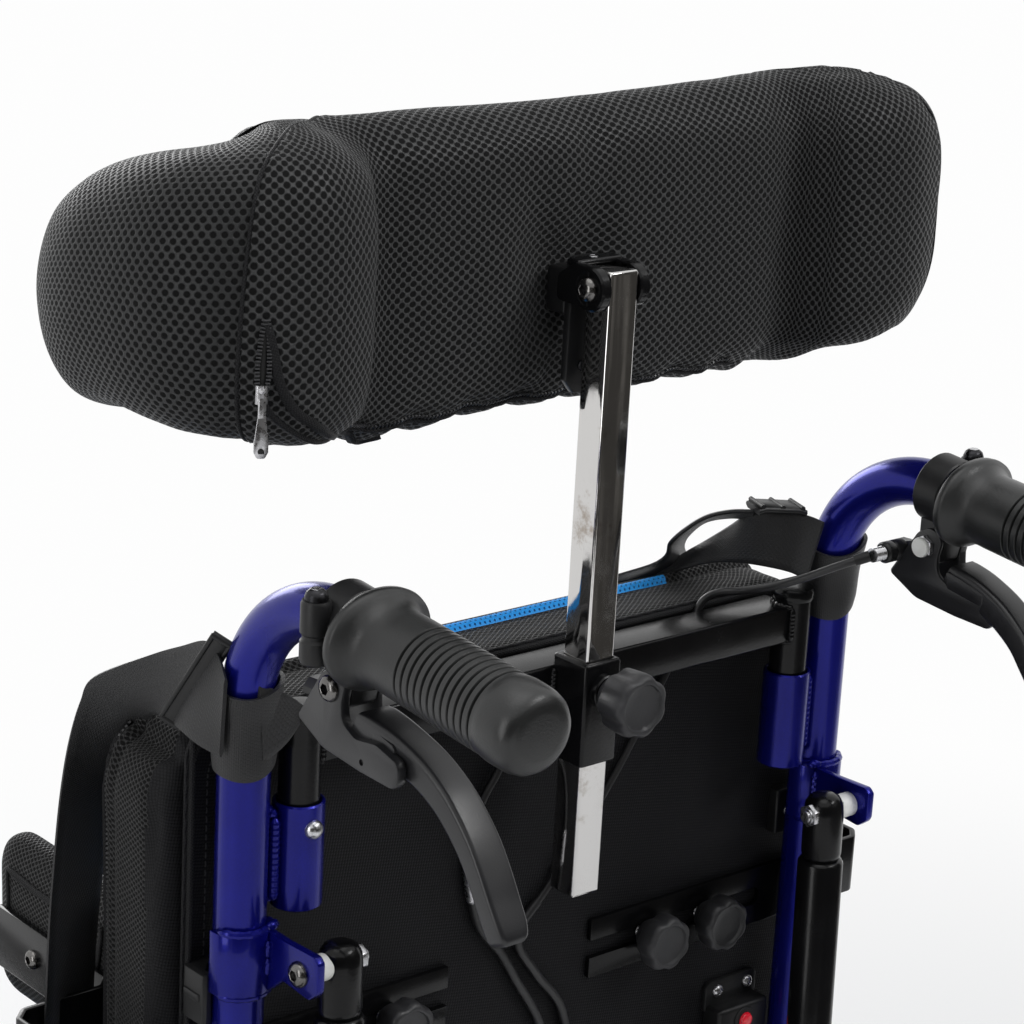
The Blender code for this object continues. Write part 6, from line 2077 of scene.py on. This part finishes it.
def cross_brace(side, s, y):
    top, foot = Vector((s * SEAT_X, y, SEAT_Z)), Vector((-s * SIDE_X, y, RAIL_Z))
    run = (foot - top).normalized()
    turn = Matrix.Rotation(math.atan2(-run.z, run.x), 4, "Y")
    length = (foot - top).length
    middle = (top + foot) / 2
    cross = Vector((0, 0, SEAT_Z - (SEAT_Z - RAIL_Z) * SEAT_X / (SEAT_X + SIDE_X)))
    bar = box(middle - Vector((length / 2 - 10, 7.6, 13)), middle + Vector((length / 2 - 10, 7.6, 13)), 2.6,
              turn)
    if s < 0:
        bar = carve(bar, rod(5.4, cross + Vector((0, y - 12, 0)), cross + Vector((0, y + 12, 0)), 36, 0))
    shapes = [("black", tube([(s * SEAT_X, -400, SEAT_Z), (s * SEAT_X, -24, SEAT_Z)], TUBE, 44)),
              ("black", bar),
              ("black", turned([(11.4, 0), (14.8, 0), (15.5, 0.7), (15.5, 65.3), (14.8, 66), (11.4, 66)],
                               foot + Vector((0, -33, 0)), foot + Vector((0, 33, 0)), 44, True))]
    for e in (-1, 1):
        spot = top + run * (TUBE + 0.4)
        shapes.append(("black", bead([spot + Vector((-7, e * 7.8, -2)), spot + Vector((9, e * 7.8, 2))],
                                     1.6)))
        spot = foot - run * 15.6
        shapes.append(("black", bead([spot + Vector((-6, e * 7.8, -5)), spot + Vector((6, e * 7.8, 5))],
                                     1.6)))
    for end, out in ((-400, -1), (-24, 1)):
        shapes.append(("plastic", turned([(0, 0), (TUBE - 0.2, 0), (TUBE - 0.6, 1.0), (TUBE - 2.6, 1.9),
                                          (0, 2.2)],
                                         (s * SEAT_X, end, SEAT_Z), (s * SEAT_X, end + out, SEAT_Z), 40)))
    if s > 0:
        shapes += [("zinc", rod(4.9, cross + Vector((0, y, 0)), cross + Vector((0, y + 28.5, 0)), 28)),
                   ("zinc", nut(9, cross + Vector((0, y - 6, 0)), (0, -1, 0), 5)),
                   ("zinc", nut(9, cross + Vector((0, y + 24.4, 0)), (0, 1, 0), 4.4)),
                   ("zinc", rod(10.4, cross + Vector((0, y - 7.6, 0)), cross + Vector((0, y - 9, 0)), 40,
                                0.3))]
    piece("cross_brace_%s_bar" % side, shapes, CHAIR, "frame", ["cross_brace_" + side])


def seat_sling():
    r2 = TUBE + 2.3
    section = []
    for k in range(13):
        a = math.radians(90 * k / 12)
        section.append((SEAT_X + r2 * math.cos(a), SEAT_Z + r2 * math.sin(a)))
    flat = [(x, SEAT_Z + r2) for x in range(156, -1, -9)]
    half = section + flat
    outer = half + [(-x, z) for x, z in reversed(half[:-1])]
    rows = []
    ys = [-398 + 372 * k / 62 for k in range(63)]
    for y in ys:
        sag = 0.9 * max(0.0, math.sin(math.pi * (y + 398) / 372))
        rows.append([Vector((x, y, z - (sag * (1 - (x / SEAT_X) ** 2) if abs(x) < 160 else 0)))
                     for x, z in outer])
    bm = bmesh.new()
    uv = bm.loops.layers.uv.new("UVMap")
    run = [0.0]
    for a, b in zip(outer, outer[1:]):
        run.append(run[-1] + math.hypot(b[0] - a[0], b[1] - a[1]))
    grids = []
    for lift in (0.0, -1.8):
        grid = []
        for row in rows:
            line = []
            for i, p in enumerate(row):
                a, b = row[max(0, i - 1)], row[min(len(row) - 1, i + 1)]
                t = (b - a).normalized()
                out = Vector((t.z, 0, -t.x))
                line.append(bm.verts.new(p - out * lift))
            grid.append(line)
        grids.append(grid)

    def quad(a, b, c, d, spots):
        face = bm.faces.new((a, b, c, d))
        for loop, u in zip(face.loops, spots):
            loop[uv].uv = u
    ny, nx = len(rows), len(outer)
    for grid in grids:
        for j in range(ny - 1):
            for i in range(nx - 1):
                quad(grid[j][i], grid[j][i + 1], grid[j + 1][i + 1], grid[j + 1][i],
                     [(run[i] / 1000, ys[j] / 1000), (run[i + 1] / 1000, ys[j] / 1000),
                      (run[i + 1] / 1000, ys[j + 1] / 1000), (run[i] / 1000, ys[j + 1] / 1000)])
    a, b = grids
    for j in range(ny - 1):
        for i in (0, nx - 1):
            quad(a[j][i], a[j + 1][i], b[j + 1][i], b[j][i], [(0, ys[j] / 1000), (0, ys[j + 1] / 1000),
                                                              (0.002, ys[j + 1] / 1000),
                                                              (0.002, ys[j] / 1000)])
    for i in range(nx - 1):
        for j in (0, ny - 1):
            quad(a[j][i], a[j][i + 1], b[j][i + 1], b[j][i], [(run[i] / 1000, 0), (run[i + 1] / 1000, 0),
                                                              (run[i + 1] / 1000, 0.002),
                                                              (run[i] / 1000, 0.002)])
    bmesh.ops.recalc_face_normals(bm, faces=bm.faces)
    sling = piece("seat_sling_cloth", [("canvas", bm)], CHAIR, "frame", ["seat_sling"], 50)
    hems = []
    for y in (-393, -386, -38, -31):
        line = [Vector((x, y, SEAT_Z + r2 + 0.25)) for x in range(-165, 166, 5)]
        hems += [tube([p, p + Vector((1.6, 0, 0.3)), p + Vector((3.2, 0, 0))], 0.35, 5) for p in line]
    for e in (-1, 1):
        for k in range(70):
            y = -394 + k * 5.2
            x, z = SEAT_X + r2 * 0.94, SEAT_Z + 5.2
            hems.append(tube([(e * x, y, z), (e * (x + 0.5), y + 1.6, z), (e * x, y + 3.2, z)], 0.35, 5))
    hem = piece("seat_sling_stitching", [("thread", joined(hems))], CHAIR, "frame")
    screws = []
    for e in (-1, 1):
        for y in (-380, -320, -250, -190, -120, -45):
            screws.append(("zinc", turned([(0, 0), (6, 0), (6.2, 0.5), (5.6, 0.9), (0, 0.9)],
                                          (e * (SEAT_X + r2), y, SEAT_Z), (e * (SEAT_X + r2 + 1), y, SEAT_Z),
                                          32)))
            screws.append(("zinc", screw_head(3.6, (e * (SEAT_X + r2 + 0.8), y, SEAT_Z), (e, 0, 0), 1.6)))
    piece("seat_sling_screws", screws, CHAIR, "frame")


# Wheels

def rear_wheel(side, s):
    a, b = (s * (WHEEL_X - 50), REAR_Y, WHEEL_R), (s * (WHEEL_X + 50), REAR_Y, WHEEL_R)
    tread = [(226, 59), (228.4, 62.6), (232, 65.6), (236.5, 66.5), (241, 66.2), (245, 64.8), (248.4, 62.2),
             (250.6, 59.4), (250.9, 59.0), (249.7, 58.4), (249.7, 57.6), (252.2, 56.8), (253.3, 54.4),
             (252.2, 53.6),
             (252.2, 52.8), (253.8, 52.0), (254, 50), (253.8, 48), (252.2, 47.2), (252.2, 46.4),
             (253.3, 45.6),
             (252.2, 43.2), (249.7, 42.4), (249.7, 41.6), (250.9, 41.0), (250.6, 40.6), (248.4, 37.8),
             (245, 35.2),
             (241, 33.8), (236.5, 33.5), (232, 34.4), (228.4, 37.4), (226, 41)]

    def cut(r, h, t):
        side_of = abs(h - 50)
        if r > 249 and 5 < side_of < 12.5 and (t * 72 / TAU) % 1 < 0.28:
            return r - 1.3, h
        return r, h
    tyre = turned(tread, a, b, 360, True, cut)
    shapes = [("tyre", tyre)]
    shapes.append(("tyre", turned([(235.6, 66.3), (236.2, 66.9), (236.8, 66.3)], a, b, 160)))
    valve = Vector(a) + Vector((s * 60, 0, -213))
    shapes.append(("plastic", rod(2.2, valve, valve + Vector((s * 12, 0, 4)), 16)))
    piece("tyre_%s_rubber" % side, shapes, CHAIR, "rear_wheel_" + side, ["tyre_" + side], 30)
    rim = [(225.6, 60), (226.4, 61.4), (225.4, 62.4), (220, 61.6), (213, 62), (209.6, 60.6), (207, 57),
           (206.6, 50),
           (207, 43), (209.6, 39.4), (213, 38), (220, 38.4), (225.4, 37.6), (226.4, 38.6), (225.6, 40)]
    shapes = [("mag", turned(rim, a, b, 192, True))]
    for k in range(6):
        t = math.radians(60 * k + 30)
        along = Vector((0, math.cos(t), math.sin(t)))
        across = Vector((0, -along.z, along.y))
        rings = []
        for reach, wide, deep in curve([(19, 15.5, 13.5), (24, 12.2, 12.4), (34, 10.2, 11.6), (70, 9.2, 9.6),
                                        (110, 9.0, 8.3), (160, 10.2, 8.0), (190, 12.4, 8.2), (203, 17, 8.6),
                                        (210, 26, 9.2)], 4):
            mid = Vector((s * WHEEL_X, REAR_Y, WHEEL_R)) + along * reach
            ring = []
            for p, q in ((1, 0.25), (0.86, 0.72), (0.5, 0.94), (0.18, 0.72), (-0.18, 0.72), (-0.5, 0.94),
                         (-0.86, 0.72),
                         (-1, 0.25), (-1, -0.55), (-0.8, -0.9), (0.8, -0.9), (1, -0.55)):
                ring.append(mid + across * wide * p + Vector((s * deep * q, 0, 0)))
            rings.append(ring)
        shapes.append(("mag", skin(rings)))
    shapes.append(("mag", turned([(6.2, 0), (20, 0), (24, 1.6), (24, 12), (22.6, 16), (22.6, 32), (24, 36),
                                  (24, 42.6),
                                  (22.4, 45.2), (14.6, 45.2), (14, 44), (6.2, 44)],
                                 (s * 218, REAR_Y, WHEEL_R),
                                 (s * 263.2, REAR_Y, WHEEL_R), 72, True)))
    for k in range(12):
        t = TAU * k / 12
        p = Vector((0, math.cos(t), math.sin(t)))
        ends = [Vector((s * reach, REAR_Y, WHEEL_R)) + p * 23.4 for reach in (233, 257)]
        shapes.append(("mag", strip(ends, 1.8, 1.8, p)))
    shapes.append(("zinc", turned([(6.1, 44.1), (13.6, 44.1), (13.6, 44.5), (11, 44.7), (10.6, 44.3),
                                   (6.1, 44.3)],
                                  (s * 218, REAR_Y, WHEEL_R), (s * 263, REAR_Y, WHEEL_R), 48)))
    piece("wheel_%s_moulding" % side, shapes, CHAIR, "rear_wheel_" + side, ["wheel_" + side], 40)
    grab = [(222 + 7.5 * math.cos(TAU * k / 20), 88 + 7.5 * math.sin(TAU * k / 20)) for k in range(20)]
    shapes = [("aluminium", turned(grab, a, b, 192, True))]
    for k in range(6):
        t = math.radians(60 * k)
        y, z = REAR_Y + 219 * math.cos(t), WHEEL_R + 219 * math.sin(t)
        shapes.append(("aluminium", turned([(6.2, 0), (5.2, 1.2), (4, 3.4), (4, 20), (4.6, 22.4), (5.8, 24)],
                                           (s * 257.4, y, z), (s * 281, y, z), 28)))
        shapes.append(("nickel", screw_head(3.4, (s * 286, y, z), (s, 0, 0), 2.0)))
    piece("handrim_%s_ring" % side, shapes, CHAIR, "rear_wheel_" + side, ["handrim_" + side], 40)


def caster(side, s):
    x, y = s * SIDE_X, CASTER_Y + 45
    shapes = [("black", box((x - 23, CASTER_Y - 16, 160), (x + 23, CASTER_Y + 17, 171.7), 3.2)),
              ("zinc", rod(5.9, (x, CASTER_Y, 168), (x, CASTER_Y, 224), 32)),
              ("zinc", nut(8.4, (x, CASTER_Y, 226), (0, 0, 1), 6))]
    for e in (-1, 1):
        leg = rounded([(CASTER_Y - 14, 169, 4), (CASTER_Y + 15.5, 169, 5), (y + 12, 106, 30),
                       (y + 12.5, 74, 12),
                       (y, 62.4, 12), (y - 12.5, 74, 12), (y - 18, 104, 30)], 8)
        low, high = sorted((x + e * 18.5, x + e * 23))
        shapes.append(("black", prism(leg, "X", low, high, 1.2)))
        shapes.append(("zinc", nut(7.6, (x + e * 22.8, y, CASTER_R), (e, 0, 0), 4.4)))
        shapes.append(("zinc", rod(3.9, (x + e * 26, y, CASTER_R), (x + e * 28.2, y, CASTER_R), 24, 0.6)))
        shapes.append(("black", bead([(x + e * 18.2, CASTER_Y - 12, 160.4),
                                      (x + e * 18.2, CASTER_Y + 14, 160.4)], 1.6)))
    shapes.append(("zinc", hub(3.9, x - 23, x + 23, y, CASTER_R)))
    piece("caster_fork_%s_yoke" % side, shapes, CHAIR, "caster_swivel_" + side, ["caster_fork_" + side])
    a, b = (x - 50, y, CASTER_R), (x + 50, y, CASTER_R)
    tread = [(55.6, 37.4), (58, 36.6), (66, 36.8), (69.4, 37.8), (72.4, 41.4), (74.4, 45.4), (75, 48),
             (74.2, 49.2),
             (74.2, 50.8), (75, 52), (74.4, 54.6), (72.4, 58.6), (69.4, 62.2), (66, 63.2), (58, 63.4),
             (55.6, 62.6)]
    core = [(4.5, 36), (15, 36), (16, 36.8), (17, 42), (22, 44), (50, 43.6), (53, 41), (55, 37.6),
            (56.2, 38.4),
            (56.2, 61.6), (55, 62.4), (53, 59), (50, 56.4), (22, 56), (17, 58), (16, 63.2), (15, 64),
            (4.5, 64)]
    shapes = [("tyre", turned(tread, a, b, 128, True)), ("mag", turned(core, a, b, 96, True))]
    for k in range(8):
        t = TAU * k / 8
        p = Vector((0, math.cos(t), math.sin(t)))
        for h in (-7.6, 7.6):
            at = Vector((x + h, y, CASTER_R))
            shapes.append(("mag", strip([at + p * 16, at + p * 53], 3.2, 4.4, (1, 0, 0))))
    shapes.append(("zinc", turned([(4.6, 35.8), (9.4, 35.8), (9.4, 36.4), (4.6, 36.4)], a, b, 40)))
    shapes.append(("zinc", turned([(4.6, 63.6), (9.4, 63.6), (9.4, 64.2), (4.6, 64.2)], a, b, 40)))
    piece("caster_wheel_%s_roller" % side, shapes, CHAIR, "caster_roller_" + side, ["caster_wheel_" + side],
          40)


def wheel_lock(side, s):
    shoe = Vector((0, 75 - 0.8445 * 275, 254 + 0.5354 * 275))
    plate = rounded([(LOCK_Y - 9, LOCK_Z - 8, 6), (LOCK_Y + 8, LOCK_Z - 8, 6), (shoe.y + 8, shoe.z - 6, 6),
                     (shoe.y + 6, shoe.z + 9, 5), (LOCK_Y - 2, LOCK_Z + 46, 10),
                     (LOCK_Y - 18, LOCK_Z + 96, 3),
                     (LOCK_Y - 28, LOCK_Z + 94, 3), (LOCK_Y - 14, LOCK_Z + 40, 20)], 4)
    base = carve(prism(plate, "X", s * 214, s * 219.5, 0.9),
                 hub(5.3, s * 205, s * 230, LOCK_Y, LOCK_Z, 32, 0))
    knurl = [(0, 0)] + [(5.4 + 0.6 * (k % 2), 0.4 + k * 1.4) for k in range(28)] + [(0, 40)]
    low, high = Vector((s * 217, LOCK_Y - 20, LOCK_Z + 84)), Vector((s * 217, LOCK_Y - 41, LOCK_Z + 150))
    run = (high - low).normalized()
    hand = [(0, 0), (7.2, 0), (8, 1)]
    for k in range(10):
        hand += [(8.2, 6 + k * 5), (7.4, 7 + k * 5), (7.4, 8 + k * 5), (8.2, 9 + k * 5)]
    hand += [(8.2, 62), (7.4, 66), (4.8, 68.6), (0, 69.4)]
    shapes = [("black", base), ("zinc", turned(knurl, (s * 219, shoe.y, shoe.z), (s * 260, shoe.y, shoe.z),
                                               32)),
              ("rubber", turned(hand, low, low + run, 40))]
    piece("wheel_lock_%s_lever" % side, shapes, CHAIR, "wheel_lock_lever_" + side, ["wheel_lock_" + side])


# Footrests and armrests

def footrest(side, s):
    x = s * SIDE_X
    line = bent([(x, HANGER_Y, 290.3), (x, HANGER_Y, 425), (x, -474, 425), (x, -552, 146)], 30, 16)
    low = rod(5.4, (x, HANGER_Y, 280), (x, HANGER_Y, 396), 36, 0)
    shapes = [("blue", carve(tube(line, TUBE, 40), low)),
              ("plastic", box((x - 13, -566, 126), (x + 13, -540, 154), 3.4)),
              ("zinc", turned([(0, 0), (6, 0), (6, 100), (0, 100)], (x, -560, 140), (x, -662, 140), 32)),
              ("zinc", nut(8.8, (x, -660, 140), (0, -1, 0), 5)),
              ("plastic", turned([(11.3, 0), (12.6, 0), (12.9, 0.6), (12.9, 9), (12.2, 10), (11.3, 10)],
                                 (x, HANGER_Y, 292), (x, HANGER_Y, 400), 40, True))]
    for z in (134, 147):
        shapes.append(("zinc", screw_head(4.0, (x + s * 13, -553, z), (s, 0, 0), 2.4)))
    # thumb latch on the hanger's top bend
    shapes += [("plastic", box((x - 6, HANGER_Y - 34, 433), (x + 6, HANGER_Y - 8, 440), 2.6)),
               ("plastic", strip([(x, HANGER_Y - 10, 438), (x, HANGER_Y + 2, 441), (x, HANGER_Y + 10, 440)],
                                 11, 4, (0, 0, 1)))]
    piece("footrest_hanger_%s_tube" % side, shapes, CHAIR, "footrest_" + side, ["footrest_hanger_" + side])
    edge = [(36, -727, 14), (183, -727, 10), (183, -657, 4), (191, -650, 4), (191, -582, 10), (52, -582, 12),
            (22, -612, 12), (22, -713, 12)]
    outline = [(s * a, b) for a, b in rounded(edge, 8, 8)]
    shapes = [("plastic", prism(outline, "Z", 132, 137.4, 1.2)),
              ("plastic", turned([(6.3, 0), (10, 0), (10.5, 0.6), (10.5, 79.4), (10, 80), (6.3, 80)],
                                 (x, -575, 140), (x, -655, 140), 40, True))]
    ribs = []
    for k in range(13):
        y = -718 + k * 10.4
        a, b = (38, 174) if y < -655 else (46, 178)
        ribs.append(strip([(s * a, y, 137.5), (s * b, y, 137.5)], 3.0, 1.4, (0, 0, 1)))
    shapes.append(("plastic", joined(ribs)))
    rim = [(38, -724, 13), (180, -724, 9), (180, -656, 4), (188, -649, 4), (188, -585, 9), (53, -585, 11),
           (25, -613, 11), (25, -712, 11)]
    shapes.append(("plastic", tube([(s * a, b, 137.4) for a, b in rounded(rim, 8, 8)], 1.8, 10, True)))
    under = []
    for k in range(6):
        y = -712 + k * 22
        under.append(box((min(s * 32, s * 182), y - 1.2, 124), (max(s * 32, s * 182), y + 1.2, 132.4), 0.6))
    for k in range(5):
        a = 46 + k * 30
        under.append(box((s * a - 1.2, -718, 124), (s * a + 1.2, -592, 132.4), 0.6))
    shapes.append(("plastic", joined(under)))
    piece("footplate_%s_tread" % side, shapes, CHAIR, "footplate_flap_" + side, ["footplate_" + side])


def armrest(side, s):
    x = s * SIDE_X
    front, rear = ARM_Y
    line = bent([(x, front, 401.4), (x, front, 615), (x, rear, 615), (x, rear, 401.4)], 32, 16)
    guard = rounded([(front + 3, 464), (rear - 3, 464), (rear - 3, 590), (rear - 24, 612), (front + 24, 612),
                     (front + 3, 590)], 14, 8)
    rib = rounded([(front + 26, 484), (rear - 26, 484), (rear - 26, 580), (rear - 38, 592), (front + 38, 592),
                   (front + 26, 580)], 12, 8)
    shapes = [("black", tube(line, 9.5, 40)), ("plastic", prism(guard, "X", x - 1.6, x + 1.6, 0.9))]
    for e in (-1, 1):
        shapes.append(("plastic", tube([(x + e * 1.6, a, b) for a, b in rib], 1.3, 10, True)))
        for y, z in ((front + 14, 476), (rear - 14, 476), (front + 20, 598), (rear - 20, 598)):
            shapes.append(("nickel", screw_head(3.6, (x + e * 1.6, y, z), (e, 0, 0), 1.8)))
    for y in ARM_Y:
        # a dark disc on the tube: painted shade in its hole
        shapes.append(("dark", rod(2.1, (x + s * 9.3, y, 470), (x + s * 9.7, y, 470), 20, 0)))
        shapes.append(("plastic", turned([(0, 0), (8.6, 0), (9.3, 0.8), (9.3, 1.6), (0, 1.6)], (x, y, 401.2),
                                         (x, y, 399),
                                         32)))
        shapes.append(("plastic", turned([(9.6, 0), (10.8, 0.3), (10.8, 4.7), (9.6, 5)], (x, y, 463.6),
                                         (x, y, 480), 40)))
    piece("armrest_%s_frame" % side, shapes, CHAIR, "arm_" + side, ["armrest_" + side])


# The chair

for SIDE, SIGN in (("left", 1), ("right", -1)):
    side_frame(SIDE, SIGN)
    cross_brace(SIDE, SIGN, -238.0 if SIGN > 0 else -222.0)
    rear_wheel(SIDE, SIGN)
    caster(SIDE, SIGN)
    wheel_lock(SIDE, SIGN)
    footrest(SIDE, SIGN)
    armrest(SIDE, SIGN)
    back_post(SIDE, SIGN)
    grip(SIDE, SIGN)
    lever_clamp(SIDE, SIGN)
    release_lever(SIDE, SIGN)
    strut(SIDE, SIGN)
    lateral_bar(SIDE, SIGN)
    side_pads(SIDE, SIGN)
    for NAME, X in zip(("inner", "outer"), KNOB_X):
        KNOB = "lateral_knob_%s_%s" % (NAME, SIDE)
        lobed_knob(KNOB, KNOB, (SIGN * X, LATERAL_S), 5.0, 17.5, 13.5, 4.0)
seat_sling()
seat_cushion()
back_panel()
back_cushion()
crossbar()
headrest_post()
lobed_knob("headrest_post_knob", "stem_knob", (0.0, T0 + 25.0), 56.0, 22.0, 14.6, 6.0)
headrest_knuckle()
headrest_pad()
button_box()
cable("left", [(141.5, 50, 438), (126, 42, 431), (98, 20, 418), (70, 0, 413), (50, -8, 410.5),
               (39, -13, 406), (30, -14.8, 396), (21, -14.8, 380), (17, -14.8, 360), (19, -14.4, 348),
               (29, -14, 333), (35, -14, 312), (32, -14, 290), (26, -14, 272), (13, -14, 256),
               (3, -14, 240), (-14, -14, 212), (-22, -14, 180), (-22, -14, 52)])
cable("right", [(-141.5, 50, 438), (-132, 40, 432), (-120, 20, 420), (-112, 0, 412),
                (-105, -8, 410), (-100, -13, 405.5), (-96, -14.8, 396), (-84, -14.8, 378),
                (-52, -14, 330), (-16, -14, 284), (3, -14, 262), (-9, -14, 240), (-28, -14, 214),
                (-34, -14, 170), (-34, -14, 52)])
straps()


def corners(bounds):
    return [list(map(float, corner)) for corner in bounds]


{"cad": corners(CAD_BOX), "visual": corners(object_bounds())}
